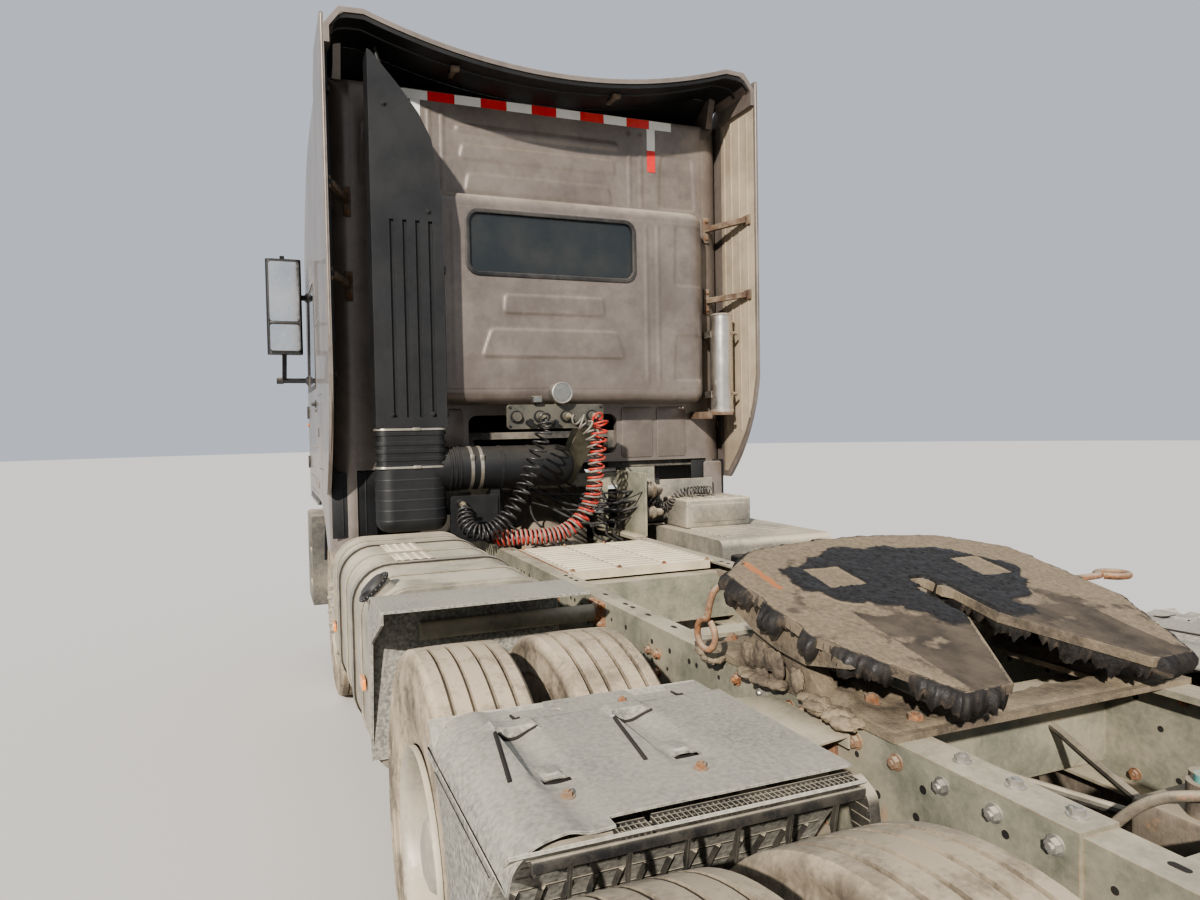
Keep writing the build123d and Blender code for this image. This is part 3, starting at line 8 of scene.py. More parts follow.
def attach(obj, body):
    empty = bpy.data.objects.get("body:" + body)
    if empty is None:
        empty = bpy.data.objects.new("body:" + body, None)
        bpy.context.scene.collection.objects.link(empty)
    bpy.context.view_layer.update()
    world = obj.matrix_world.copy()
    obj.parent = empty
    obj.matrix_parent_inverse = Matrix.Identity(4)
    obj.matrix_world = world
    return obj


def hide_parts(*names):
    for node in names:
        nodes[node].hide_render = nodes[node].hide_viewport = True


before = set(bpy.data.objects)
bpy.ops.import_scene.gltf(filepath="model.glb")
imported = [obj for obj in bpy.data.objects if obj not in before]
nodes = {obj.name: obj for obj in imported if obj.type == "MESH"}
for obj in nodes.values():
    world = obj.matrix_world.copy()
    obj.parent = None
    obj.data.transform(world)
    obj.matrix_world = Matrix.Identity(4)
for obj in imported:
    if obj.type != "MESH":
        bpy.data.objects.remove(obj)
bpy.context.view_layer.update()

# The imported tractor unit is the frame: this script gives it finishes and the small pieces on it.
up = Vector((0, 0, 1))
print("frame loaded", len(nodes), "nodes")


def linked(item):
    bpy.context.scene.collection.objects.link(item)
    return item


def vertsOf(items):
    return [item for item in items if isinstance(item, bmesh.types.BMVert)]


def facesOf(items):
    return [item for item in items if isinstance(item, bmesh.types.BMFace)]


# Mesh helpers: each adds a shape to an open bmesh, in metres, in the vehicle's own frame
def placed(mesh, verts, matrix):
    bmesh.ops.transform(mesh, matrix=matrix, verts=verts)
    return verts


def addBox(mesh, low, high, bevel=0.0, segments=2):
    size = [h - l for l, h in zip(low, high)]
    middle = [(h + l) / 2 for l, h in zip(low, high)]
    verts = bmesh.ops.create_cube(mesh, size=1)["verts"]
    placed(mesh, verts, Matrix.Translation(middle) @ Matrix.Diagonal((*size, 1)))
    if bevel:
        edges = list({edge for vert in verts for edge in vert.link_edges})
        bmesh.ops.bevel(mesh, geom=edges, offset=bevel, affect="EDGES", segments=segments, profile=0.5, material=-1)
    return verts


def addFlank(mesh, xRange, y, half, zRange, bevel=0.0, segments=2):
    # a box that reaches as far to each side of a plane across the vehicle
    addBox(mesh, (xRange[0], y - half, zRange[0]), (xRange[1], y + half, zRange[1]), bevel, segments)


# Where an outline's two numbers go for each axis that it is extruded along
outlinePlaces = {"x": lambda a, b, c: (c, a, b), "y": lambda a, b, c: (a, c, b), "z": lambda a, b, c: (a, b, c)}


def addPrism(mesh, outline, axis, start, end, bevel=0.0, segments=2):
    place = outlinePlaces[axis]
    ring = [mesh.verts.new(place(a, b, start)) for a, b in outline]
    face = mesh.faces.new(ring)
    top = vertsOf(bmesh.ops.extrude_face_region(mesh, geom=[face])["geom"])
    bmesh.ops.translate(mesh, vec=Vector(place(0, 0, end - start)), verts=top)
    if bevel:
        edges = list({edge for vert in top for edge in vert.link_edges if edge.other_vert(vert) in top})
        bmesh.ops.bevel(mesh, geom=edges, offset=bevel, affect="EDGES", segments=segments, profile=0.5, material=-1)
    return ring + top


def roundedOutline(low, high, radius, steps=6):
    (a0, b0), (a1, b1) = low, high
    points = []
    for ca, cb, start in ((a1 - radius, b1 - radius, 0), (a0 + radius, b1 - radius, 90),
            (a0 + radius, b0 + radius, 180), (a1 - radius, b0 + radius, 270)):
        for i in range(steps + 1):
            turn = math.radians(start + 90 * i / steps)
            points.append((ca + radius * math.cos(turn), cb + radius * math.sin(turn)))
    return points


def addPlate(mesh, low, high, radius, axis, start, end, bevel=0.0):
    addPrism(mesh, roundedOutline(low, high, radius), axis, start, end, bevel)


def softOutline(points, radius, steps=5):
    # rounds each corner of a closed outline with a small arc-like run
    made = []
    count = len(points)
    for i, point in enumerate(points):
        here = Vector(point)
        before, after = Vector(points[i - 1]) - here, Vector(points[(i + 1) % count]) - here
        reach = min(radius, before.length * 0.45, after.length * 0.45)
        start, end = here + before.normalized() * reach, here + after.normalized() * reach
        for j in range(steps + 1):
            t = j / steps
            made.append(tuple((1 - t) ** 2 * start + 2 * t * (1 - t) * here + t * t * end))
    return made


def addLathe(mesh, profile, centre, steps=64, axis="y"):
    # profile: (distance along the axis, radius); a closed list gives a closed ring
    ends = {"x": lambda a, r: (a, 0, r), "y": lambda a, r: (0, a, r), "z": lambda a, r: (r, 0, a)}[axis]
    axisVector = {"x": (1, 0, 0), "y": (0, 1, 0), "z": (0, 0, 1)}[axis]
    verts = [mesh.verts.new(Vector(ends(a, r)) + Vector(centre)) for a, r in profile]
    edges = [mesh.edges.new((verts[i], verts[i + 1])) for i in range(len(verts) - 1)]
    if profile[0] != profile[-1] and profile[0][1] > 1e-6 and profile[-1][1] > 1e-6:
        edges.append(mesh.edges.new((verts[-1], verts[0])))
    bmesh.ops.spin(mesh, geom=verts + edges, cent=centre, axis=axisVector, angle=math.tau, steps=steps,
        use_merge=True)
    bmesh.ops.remove_doubles(mesh, verts=mesh.verts, dist=1e-6)


def addRod(mesh, start, end, radius, segments=16, endRadius=None):
    start, end = Vector(start), Vector(end)
    turn = (end - start).to_track_quat("Z", "Y").to_matrix().to_4x4()
    verts = bmesh.ops.create_cone(mesh, cap_ends=True, cap_tris=False, segments=segments, radius1=radius,
        radius2=radius if endRadius is None else endRadius, depth=(end - start).length)["verts"]
    return placed(mesh, verts, Matrix.Translation((start + end) / 2) @ turn)


def addBall(mesh, centre, radius, scale=(1, 1, 1), segments=16):
    verts = bmesh.ops.create_uvsphere(mesh, u_segments=segments, v_segments=segments // 2, radius=radius)["verts"]
    return placed(mesh, verts, Matrix.Translation(centre) @ Matrix.Diagonal((*scale, 1)))


def addBolt(mesh, place, direction, radius=0.012, height=0.01):
    # washer, hexagonal head and the thread's end
    place, direction = Vector(place), Vector(direction).normalized()
    addRod(mesh, place, place + direction * 0.003, radius * 1.35, 14)
    addRod(mesh, place + direction * 0.003, place + direction * (0.003 + height), radius, 6)
    addRod(mesh, place + direction * (0.003 + height), place + direction * (0.007 + height), radius * 0.5, 8)


def splineObject(name, points, radius=0.0, smooth=10, bevelSteps=5):
    data = bpy.data.curves.new(name, "CURVE")
    data.dimensions = "3D"
    data.resolution_u = smooth
    data.bevel_depth = radius
    data.bevel_resolution = bevelSteps
    data.use_fill_caps = True
    spline = data.splines.new("NURBS")
    spline.points.add(len(points) - 1)
    for point, place in zip(spline.points, points):
        point.co = (*place, 1)
    spline.order_u = 3
    spline.use_endpoint_u = True
    return linked(bpy.data.objects.new(name, data))


def splineMesh(piece):
    bpy.context.view_layer.update()
    graph = bpy.context.evaluated_depsgraph_get()
    return bpy.data.meshes.new_from_object(piece.evaluated_get(graph))


def addPipe(mesh, points, radius, smooth=8, bevelSteps=4):
    pipe = splineObject("pipeGuide", points, radius, smooth=smooth, bevelSteps=bevelSteps)
    data = splineMesh(pipe)
    mesh.from_mesh(data)
    bpy.data.meshes.remove(data)
    bpy.data.objects.remove(pipe)


def addMirrored(mesh):
    # mirrors what the mesh holds across the vehicle's middle
    mesh.verts.ensure_lookup_table()
    geometry = list(mesh.verts)
    geometry += list({f for v in geometry for f in v.link_faces}) + list({e for v in geometry for e in v.link_edges})
    made = bmesh.ops.duplicate(mesh, geom=geometry)["geom"]
    bmesh.ops.scale(mesh, vec=(1, -1, 1), verts=vertsOf(made))
    bmesh.ops.reverse_faces(mesh, faces=facesOf(made))


def gridPlaces(mesh, first, second, counts):
    # a flat grid over two ranges: each vertex with its two places
    verts = bmesh.ops.create_grid(mesh, x_segments=counts[0], y_segments=counts[1], size=0.5)["verts"]
    return [(vert, first[0] + (vert.co.x + 0.5) * (first[1] - first[0]),
        second[0] + (vert.co.y + 0.5) * (second[1] - second[0])) for vert in verts]


def makePiece(name, mesh, finish, body="chassis", sharp=32, normals=True):
    if normals:
        bmesh.ops.remove_doubles(mesh, verts=mesh.verts, dist=1e-5)
        bmesh.ops.recalc_face_normals(mesh, faces=mesh.faces)
    data = bpy.data.meshes.new(name)
    mesh.to_mesh(data)
    mesh.free()
    data.polygons.foreach_set("use_smooth", [True] * len(data.polygons))
    data.set_sharp_from_angle(angle=math.radians(sharp))
    data.materials.append(materials[finish])
    piece = linked(bpy.data.objects.new(name, data))
    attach(piece, body)
    return piece


# Node groups shared by the materials
def newGroup(name, inputs, outputs):
    group = bpy.data.node_groups.new(name, "ShaderNodeTree")
    for label, kind, value in inputs:
        socket = group.interface.new_socket(name=label, in_out="INPUT", socket_type=kind)
        if value is not None:
            socket.default_value = value
    for label, kind in outputs:
        group.interface.new_socket(name=label, in_out="OUTPUT", socket_type=kind)
    enter, leave = group.nodes.new("NodeGroupInput"), group.nodes.new("NodeGroupOutput")
    return group, enter, leave


def join(tree, source, target):
    tree.links.new(source, target)


def feed(tree, socket, value):
    # a socket takes a number, a colour or what another node gives
    if isinstance(value, (int, float)):
        socket.default_value = value
    elif isinstance(value, tuple):
        socket.default_value = (*value[:3], 1)
    else:
        join(tree, value, socket)


def mathNode(tree, operation, first, second=None, clamp=False):
    node = tree.nodes.new("ShaderNodeMath")
    node.operation = operation
    node.use_clamp = clamp
    for socket, value in zip(node.inputs, (first, second)):
        if value is not None:
            feed(tree, socket, value)
    return node.outputs[0]


def product(tree, first, second):
    return mathNode(tree, "MULTIPLY", first, second)


def rampNode(tree, source, low, high, first=0.0, second=1.0):
    node = tree.nodes.new("ShaderNodeMapRange")
    node.interpolation_type = "SMOOTHSTEP"
    for socket, value in zip(node.inputs[1:5], (low, high, first, second)):
        feed(tree, socket, value)
    join(tree, source, node.inputs[0])
    return node.outputs[0]


def noiseNode(tree, vector, scale, detail=4.0, roughness=0.55):
    node = tree.nodes.new("ShaderNodeTexNoise")
    node.inputs["Detail"].default_value = detail
    node.inputs["Roughness"].default_value = roughness
    feed(tree, node.inputs["Scale"], scale)
    join(tree, vector, node.inputs["Vector"])
    return node.outputs["Fac"]


def mixColour(tree, factor, first, second):
    node = tree.nodes.new("ShaderNodeMix")
    node.data_type = "RGBA"
    for socket, value in ((node.inputs[0], factor), (node.inputs[6], first), (node.inputs[7], second)):
        feed(tree, socket, value)
    return node.outputs[2]


# dustVeil: settled dust on upward faces and in blotches; the mask is 0 to 1
dustVeil, enter, leave = newGroup("dustVeil", [("Amount", "NodeSocketFloat", 0.5), ("Settle", "NodeSocketFloat", 0.6),
    ("Scale", "NodeSocketFloat", 3.0)], [("Mask", "NodeSocketFloat")])
place = dustVeil.nodes.new("ShaderNodeTexCoord")
split = dustVeil.nodes.new("ShaderNodeSeparateXYZ")
join(dustVeil, place.outputs["Normal"], split.inputs[0])
facing = rampNode(dustVeil, split.outputs["Z"], 0.05, 0.95)
settled = product(dustVeil, facing, enter.outputs["Settle"])
cloud = noiseNode(dustVeil, place.outputs["Object"], enter.outputs["Scale"], 6.0, 0.62)
fine = noiseNode(dustVeil, place.outputs["Object"], product(dustVeil, enter.outputs["Scale"], 14.0), 3.0, 0.7)
blend = mathNode(dustVeil, "ADD", product(dustVeil, cloud, 0.75), product(dustVeil, fine, 0.25))
patch = rampNode(dustVeil, blend, 0.36, 0.64)
total = mathNode(dustVeil, "ADD", product(dustVeil, patch, enter.outputs["Amount"]), settled)
join(dustVeil, mathNode(dustVeil, "MULTIPLY", total, rampNode(dustVeil, blend, 0.2, 0.55, 0.55, 1.0), True),
    leave.inputs[0])

# rustSpots: a mask of rust patches and their own brown to orange colour
rustSpots, enter, leave = newGroup("rustSpots", [("Amount", "NodeSocketFloat", 0.5),
    ("Scale", "NodeSocketFloat", 6.0)], [("Mask", "NodeSocketFloat"), ("Color", "NodeSocketColor")])
place = rustSpots.nodes.new("ShaderNodeTexCoord")
cloud = noiseNode(rustSpots, place.outputs["Object"], enter.outputs["Scale"], 8.0, 0.65)
limit = mathNode(rustSpots, "SUBTRACT", 0.78, product(rustSpots, enter.outputs["Amount"], 0.45))
join(rustSpots, rampNode(rustSpots, cloud, limit, mathNode(rustSpots, "ADD", limit, 0.08)), leave.inputs[0])
grain = noiseNode(rustSpots, place.outputs["Object"], 60.0, 5.0, 0.7)
join(rustSpots, mixColour(rustSpots, rampNode(rustSpots, grain, 0.35, 0.7), (0.075, 0.028, 0.012),
    (0.42, 0.16, 0.05)), leave.inputs[1])

# rubbedEdge: worn or dusty lines along a piece's edges, from the bevel normal's difference
rubbedEdge, enter, leave = newGroup("rubbedEdge", [("Width", "NodeSocketFloat", 0.006)],
    [("Mask", "NodeSocketFloat")])
bevelNode = rubbedEdge.nodes.new("ShaderNodeBevel")
bevelNode.samples = 4
join(rubbedEdge, enter.outputs["Width"], bevelNode.inputs["Radius"])
geometry = rubbedEdge.nodes.new("ShaderNodeNewGeometry")
dot = rubbedEdge.nodes.new("ShaderNodeVectorMath")
dot.operation = "DOT_PRODUCT"
join(rubbedEdge, bevelNode.outputs[0], dot.inputs[0])
join(rubbedEdge, geometry.outputs["Normal"], dot.inputs[1])
place = rubbedEdge.nodes.new("ShaderNodeTexCoord")
breakUp = rampNode(rubbedEdge, noiseNode(rubbedEdge, place.outputs["Object"], 22.0, 5.0, 0.7), 0.3, 0.62)
join(rubbedEdge, product(rubbedEdge, rampNode(rubbedEdge, dot.outputs["Value"], 0.97, 0.86), breakUp),
    leave.inputs[0])

# surfaceGrain: a height made of fine grain over slow waves
surfaceGrain, enter, leave = newGroup("surfaceGrain", [("Fine", "NodeSocketFloat", 250.0),
    ("Coarse", "NodeSocketFloat", 12.0), ("Balance", "NodeSocketFloat", 0.5)], [("Height", "NodeSocketFloat")])
place = surfaceGrain.nodes.new("ShaderNodeTexCoord")
small = noiseNode(surfaceGrain, place.outputs["Object"], enter.outputs["Fine"], 3.0, 0.6)
large = noiseNode(surfaceGrain, place.outputs["Object"], enter.outputs["Coarse"], 6.0, 0.6)
inverse = mathNode(surfaceGrain, "SUBTRACT", 1.0, enter.outputs["Balance"])
join(surfaceGrain, mathNode(surfaceGrain, "ADD", product(surfaceGrain, small, inverse),
    product(surfaceGrain, large, enter.outputs["Balance"])), leave.inputs[0])


materials = {}


def startMaterial(name):
    made = bpy.data.materials.new(name)
    made.use_nodes = True
    materials[name] = made
    return made.node_tree, made.node_tree.nodes["Principled BSDF"]


def useGroup(tree, group, **values):
    node = tree.nodes.new("ShaderNodeGroup")
    node.node_tree = group
    for label, value in values.items():
        node.inputs[label.capitalize()].default_value = value
    return node


def addGrain(tree, shader, grain, strength, distance):
    height = useGroup(tree, surfaceGrain, fine=grain[0], coarse=grain[1], balance=grain[2]).outputs["Height"]
    bumpNode = tree.nodes.new("ShaderNodeBump")
    bumpNode.inputs["Strength"].default_value = strength
    bumpNode.inputs["Distance"].default_value = distance
    join(tree, height, bumpNode.inputs["Height"])
    join(tree, bumpNode.outputs[0], shader.inputs["Normal"])


def filled(given, usual):
    # what a recipe leaves out, or gives as None, is the usual value
    return [second if first is None else first for first, second in zip(given + (None,) * len(usual), usual)]


# dust: amount, settling on upward faces, colour, scale; rust: amount, scale; edge wear: amount, colour, width
usualRecipe = {"dust": (0.3, 0.5, (0.46, 0.4, 0.31), 3.0), "rust": (0.0, 6.0), "edge": (None, None, 0.006),
    "bump": (0.15, 0.002)}


def makeMaterial(name, colour, second, roughness, metallic=0.0, dust=(), rust=(), edge=(), grain=(250.0, 12.0, 0.5),
        bump=(), coat=0.0, mottle=5.0):
    # one recipe for painted, cast, moulded and dusty surfaces: base, mottle, edge wear, rust, then dust over it
    dust, settle, dustColour, dustScale = filled(dust, usualRecipe["dust"])
    rust, rustScale = filled(rust, usualRecipe["rust"])
    edge, edgeColour, edgeWidth = filled(edge, usualRecipe["edge"])
    tree, shader = startMaterial(name)
    coordinates = tree.nodes.new("ShaderNodeTexCoord")
    mottling = rampNode(tree, noiseNode(tree, coordinates.outputs["Object"], mottle, 6.0, 0.6), 0.3, 0.7)
    base = mixColour(tree, mottling, colour, second or tuple(c * 0.72 for c in colour))
    rough = mathNode(tree, "ADD", product(tree, mottling, 0.12), roughness - 0.06, True)
    metal = None
    if edge is not None:
        rubbed = useGroup(tree, rubbedEdge, width=edgeWidth).outputs["Mask"]
        mask = product(tree, rubbed, edge)
        base = mixColour(tree, mask, base, edgeColour or dustColour)
    if rust:
        spots = useGroup(tree, rustSpots, amount=rust, scale=rustScale)
        base = mixColour(tree, spots.outputs["Mask"], base, spots.outputs["Color"])
        rough = mathNode(tree, "MAXIMUM", rough, product(tree, spots.outputs["Mask"], 0.9))
        if metallic:
            metal = product(tree, mathNode(tree, "SUBTRACT", 1.0, spots.outputs["Mask"]), metallic)
    if dust or settle:
        veil = useGroup(tree, dustVeil, amount=dust, settle=settle, scale=dustScale).outputs["Mask"]
        base = mixColour(tree, veil, base, dustColour)
        rough = mathNode(tree, "MAXIMUM", rough, product(tree, veil, 0.95))
        if metallic:
            clean = mathNode(tree, "SUBTRACT", 1.0, veil)
            metal = product(tree, clean, metal if metal is not None else metallic)
    join(tree, base, shader.inputs["Base Color"])
    join(tree, rough, shader.inputs["Roughness"])
    if metal is not None:
        join(tree, metal, shader.inputs["Metallic"])
    else:
        shader.inputs["Metallic"].default_value = metallic
    shader.inputs["Coat Weight"].default_value = coat
    addGrain(tree, shader, grain, *filled(bump, usualRecipe["bump"]))


paleDust = (0.5, 0.43, 0.33)
makeMaterial("cabPaint", (0.15, 0.126, 0.112), (0.185, 0.158, 0.14), 0.38, 0.35,
    dust=(0.3, 0.75, (0.36, 0.31, 0.26), 1.6), edge=(0.35, (0.42, 0.37, 0.31), 0.008), grain=(400.0, 3.0, 0.35),
    bump=(0.06,), coat=0.25)
makeMaterial("framePaint", (0.125, 0.13, 0.102), (0.2, 0.195, 0.15), 0.62,
    dust=(0.45, 0.62, (0.47, 0.415, 0.315), 5.0), rust=(0.34, 5.0), edge=(0.6, (0.34, 0.2, 0.1)), bump=(0.35,),
    mottle=9.0)
makeMaterial("runningGear", (0.045, 0.038, 0.032), (0.08, 0.065, 0.05), 0.75, dust=(0.65, 0.8, (0.33, 0.28, 0.21)),
    rust=(0.45, 9.0), edge=(0.5, (0.33, 0.17, 0.08)), bump=(0.5, 0.004))
makeMaterial("engineIron", (0.06, 0.06, 0.055), (0.1, 0.095, 0.085), 0.7, 0.3, dust=(0.5, 0.8, (0.3, 0.25, 0.19)),
    rust=(0.3,), bump=(0.5, 0.004))
makeMaterial("tankMetal", (0.2, 0.183, 0.15), (0.28, 0.257, 0.21), 0.5, 0.2,
    dust=(0.42, 0.75, (0.5, 0.445, 0.35), 3.4), edge=(0.5, paleDust), grain=(260.0, 30.0, 0.4), bump=(0.14,),
    mottle=14.0)
makeMaterial("boxMetal", (0.13, 0.125, 0.11), (0.18, 0.17, 0.15), 0.55, 0.1, dust=(0.55, 0.8), edge=(0.4, paleDust),
    bump=(0.15,))
# black plastic, its base darkened below the plastic's own black as painted shade; the same material is laid on sheets
# that stand only for shade
makeMaterial("blackPlasticAndShade", (0.0045, 0.0052, 0.0066), (0.009, 0.01, 0.012), 0.56,
    dust=(0.04, 0.28, (0.2, 0.18, 0.15)), edge=(0.25, (0.1, 0.095, 0.085)), grain=(520.0, 8.0, 0.2), bump=(0.25,))
makeMaterial("guardPlastic", (0.115, 0.113, 0.104), (0.34, 0.325, 0.28), 0.78,
    dust=(0.16, 0.5, (0.43, 0.4, 0.335), 5.0), edge=(0.8, (0.62, 0.58, 0.49), 0.004), grain=(700.0, 90.0, 0.5),
    bump=(0.5, 0.0015), mottle=85.0)
makeMaterial("trimGrey", (0.055, 0.055, 0.052), (0.075, 0.073, 0.068), 0.6, dust=(0.35, 0.6),
    edge=(0.35, (0.26, 0.23, 0.19)), grain=(600.0, 9.0, 0.3), bump=(0.2,))
makeMaterial("deckMetal", (0.4, 0.345, 0.25), (0.52, 0.45, 0.33), 0.72, 0.15,
    dust=(0.5, 0.7, (0.66, 0.57, 0.43), 9.0), edge=(0.6, (0.72, 0.64, 0.5)), bump=(0.4,))
# the connection panel's metal, its base darkened as painted shade
makeMaterial("consoleMetalAndShade", (0.048, 0.05, 0.044), (0.085, 0.085, 0.073), 0.6, 0.2, dust=(0.14, 0.4),
    rust=(0.1, 14.0), edge=(0.5, (0.3, 0.18, 0.09)), bump=(0.15,))
makeMaterial("canisterMetal", (0.6, 0.56, 0.5), (0.7, 0.66, 0.6), 0.24, 0.95, dust=(0.12, 0.4, (0.5, 0.42, 0.3), 8.0),
    edge=(0.4, (0.3, 0.22, 0.14)), bump=(0.08,))
makeMaterial("wheelSteel", (0.26, 0.245, 0.215), (0.33, 0.31, 0.27), 0.5, 0.35, dust=(0.6, 0.6, None, 6.0),
    rust=(0.18, 12.0), edge=(0.4, (0.28, 0.14, 0.07)), bump=(0.2,))
makeMaterial("tyreRubber", (0.07, 0.058, 0.044), (0.19, 0.155, 0.112), 0.85,
    dust=(0.75, 0.45, (0.47, 0.39, 0.285), 6.0), grain=(700.0, 45.0, 0.55), bump=(0.6, 0.002), mottle=22.0)
makeMaterial("floorMetal", (0.045, 0.045, 0.045), None, 0.7, dust=(0.4, 0.4), bump=(0.2,))
makeMaterial("dashPlastic", (0.03, 0.03, 0.033), (0.045, 0.045, 0.048), 0.6, dust=(0.1, 0.25),
    grain=(700.0, 20.0, 0.2), bump=(0.25,))
makeMaterial("pillowCloth", (0.48, 0.47, 0.44), (0.56, 0.55, 0.52), 0.9, dust=(0.05, 0.05), grain=(900.0, 60.0, 0.5),
    bump=(0.35,), mottle=8.0)
makeMaterial("seatFabric", (0.055, 0.062, 0.085), (0.085, 0.09, 0.11), 0.9, dust=(0.1, 0.1),
    grain=(900.0, 200.0, 0.5), bump=(0.4,))
print("materials", len(materials))

# Camera at the photograph's place: standing at the left rear corner, a little over the wheels
cameraSet = {"place": (-3.421, 1.564, 1.681), "turn": 22.252, "dip": 1.809, "roll": -1.019, "lens": 24.95}
turn, dip, roll = (math.radians(cameraSet[key]) for key in ("turn", "dip", "roll"))
ahead = Vector((math.cos(turn) * math.cos(dip), -math.sin(turn) * math.cos(dip), -math.sin(dip)))
across = Vector((-math.sin(turn), -math.cos(turn), 0))
above = across.cross(ahead)
right = across * math.cos(roll) + above * math.sin(roll)
top = above * math.cos(roll) - across * math.sin(roll)
cameraData = bpy.data.cameras.new("photoCamera")
cameraData.lens = cameraSet["lens"]
cameraData.sensor_width = 36
cameraData.clip_start = 0.05
photoCamera = bpy.data.objects.new("photoCamera", cameraData)
photoCamera.matrix_world = Matrix.Translation(cameraSet["place"]) @ Matrix((right, top, -ahead)).transposed().to_4x4()
linked(photoCamera)
bpy.context.scene.camera = photoCamera

# Plain pale floor, a soft sky and a strong low sun from the left rear, as in the photograph
lightSet = {"sky": 0.62, "sun": 6.0, "sunAngle": 1.5, "sunFrom": (-1.0, 0.8, 0.62)}
mesh = bmesh.new()
bmesh.ops.create_circle(mesh, cap_ends=True, segments=96, radius=60)
floorData = bpy.data.meshes.new("floor")
mesh.to_mesh(floorData)
mesh.free()
floor = linked(bpy.data.objects.new("floor", floorData))
floorPaint = bpy.data.materials.new("floorPaint")
floorPaint.use_nodes = True
floorPaint.node_tree.nodes["Principled BSDF"].inputs["Base Color"].default_value = (0.62, 0.6, 0.57, 1)
floorPaint.node_tree.nodes["Principled BSDF"].inputs["Roughness"].default_value = 0.9
floorData.materials.append(floorPaint)
world = bpy.data.worlds.new("softSky")
world.use_nodes = True
world.node_tree.nodes["Background"].inputs["Color"].default_value = (0.8, 0.86, 0.95, 1)
world.node_tree.nodes["Background"].inputs["Strength"].default_value = lightSet["sky"]
bpy.context.scene.world = world
bpy.context.scene.view_settings.look = "AgX - Medium High Contrast"
sunData = bpy.data.lights.new("sun", "SUN")
sunData.energy = lightSet["sun"]
sunData.angle = math.radians(lightSet["sunAngle"])
sunData.color = (1.0, 0.94, 0.86)
sun = bpy.data.objects.new("sun", sunData)
sun.rotation_euler = Vector(lightSet["sunFrom"]).to_track_quat("Z", "Y").to_euler()
linked(sun)
print("camera and lights")


# Finishes of the frame's own nodes
def makeGlass(name, colour, roughness, dust):
    tree, shader = startMaterial(name)
    shader.inputs["Transmission Weight"].default_value = 0.85
    shader.inputs["IOR"].default_value = 1.45
    veil = useGroup(tree, dustVeil, amount=dust, settle=0.2, scale=4.0).outputs["Mask"]
    join(tree, mixColour(tree, veil, colour, (0.42, 0.38, 0.32)), shader.inputs["Base Color"])
    join(tree, mathNode(tree, "ADD", product(tree, veil, 0.45), roughness, True), shader.inputs["Roughness"])
    addGrain(tree, shader, (300.0, 2.0, 0.9), 0.006, 0.002)


makeGlass("tintedGlass", (0.14, 0.17, 0.19), 0.03, 0.3)
makeGlass("lampClear", (0.85, 0.87, 0.88), 0.06, 0.25)
makeMaterial("lampRed", (0.42, 0.02, 0.015), (0.5, 0.04, 0.02), 0.2, dust=(0.25, 0.3, (0.4, 0.3, 0.24)),
    grain=(60.0, 20.0, 0.2), bump=(0.1,), coat=0.6)
makeMaterial("lampAmber", (0.75, 0.2, 0.01), (0.85, 0.28, 0.02), 0.22, dust=(0.25, 0.3, (0.6, 0.4, 0.25)),
    grain=(60.0, 20.0, 0.2), bump=(0.1,), coat=0.5)
makeMaterial("hoseFitting", (0.24, 0.2, 0.14), (0.36, 0.31, 0.22), 0.45, 0.7, dust=(0.45, 0.5, None, 30.0),
    rust=(0.15, 60.0), grain=(60.0, 20.0, 0.3), bump=(0.15,))
makeMaterial("turquoise", (0.02, 0.3, 0.3), (0.03, 0.36, 0.35), 0.5, dust=(0.4, 0.4, None, 20.0), bump=(0.1,))
makeMaterial("hoseBlack", (0.014, 0.015, 0.017), (0.022, 0.023, 0.026), 0.34,
    dust=(0.14, 0.25, (0.22, 0.2, 0.18), 20.0), bump=(0.1,))
makeMaterial("hoseRed", (0.42, 0.022, 0.016), (0.5, 0.035, 0.022), 0.36, dust=(0.14, 0.22, (0.5, 0.27, 0.2), 20.0),
    bump=(0.1,))
makeMaterial("hoseGrey", (0.115, 0.11, 0.1), (0.16, 0.15, 0.135), 0.5, dust=(0.25, 0.3, None, 20.0), bump=(0.1,))
makeMaterial("deepShade", (0.01, 0.009, 0.008), (0.018, 0.016, 0.014), 0.9, dust=(0.12, 0.15, (0.12, 0.1, 0.08)),
    bump=(0.2,))
makeMaterial("rubberTrim", (0.012, 0.012, 0.013), (0.02, 0.02, 0.021), 0.45, dust=(0.2, 0.5, (0.25, 0.22, 0.19)),
    grain=(500.0, 30.0, 0.3), bump=(0.15,))
makeMaterial("dustyBlack", (0.01, 0.01, 0.011), (0.022, 0.021, 0.019), 0.7,
    dust=(0.14, 0.85, (0.4, 0.35, 0.27), 18.0), edge=(0.3, (0.35, 0.31, 0.24), 0.003), bump=(0.3,))
makeMaterial("brightMetal", (0.55, 0.54, 0.52), (0.45, 0.44, 0.42), 0.3, 0.9, dust=(0.3, 0.4, None, 12.0),
    bump=(0.08,))
makeMaterial("rustyIron", (0.115, 0.058, 0.031), (0.2, 0.1, 0.05), 0.85, dust=(0.25, 0.4, None, 12.0),
    rust=(0.7, 18.0), bump=(0.5, 0.003))
makeMaterial("tapeWhite", (0.72, 0.72, 0.7), (0.8, 0.8, 0.78), 0.35, dust=(0.2, 0.1), grain=(140.0, 60.0, 0.2),
    bump=(0.12,))
makeMaterial("tapeRed", (0.6, 0.012, 0.012), (0.66, 0.02, 0.018), 0.35, dust=(0.15, 0.1, (0.6, 0.3, 0.25)),
    grain=(140.0, 60.0, 0.2), bump=(0.12,))

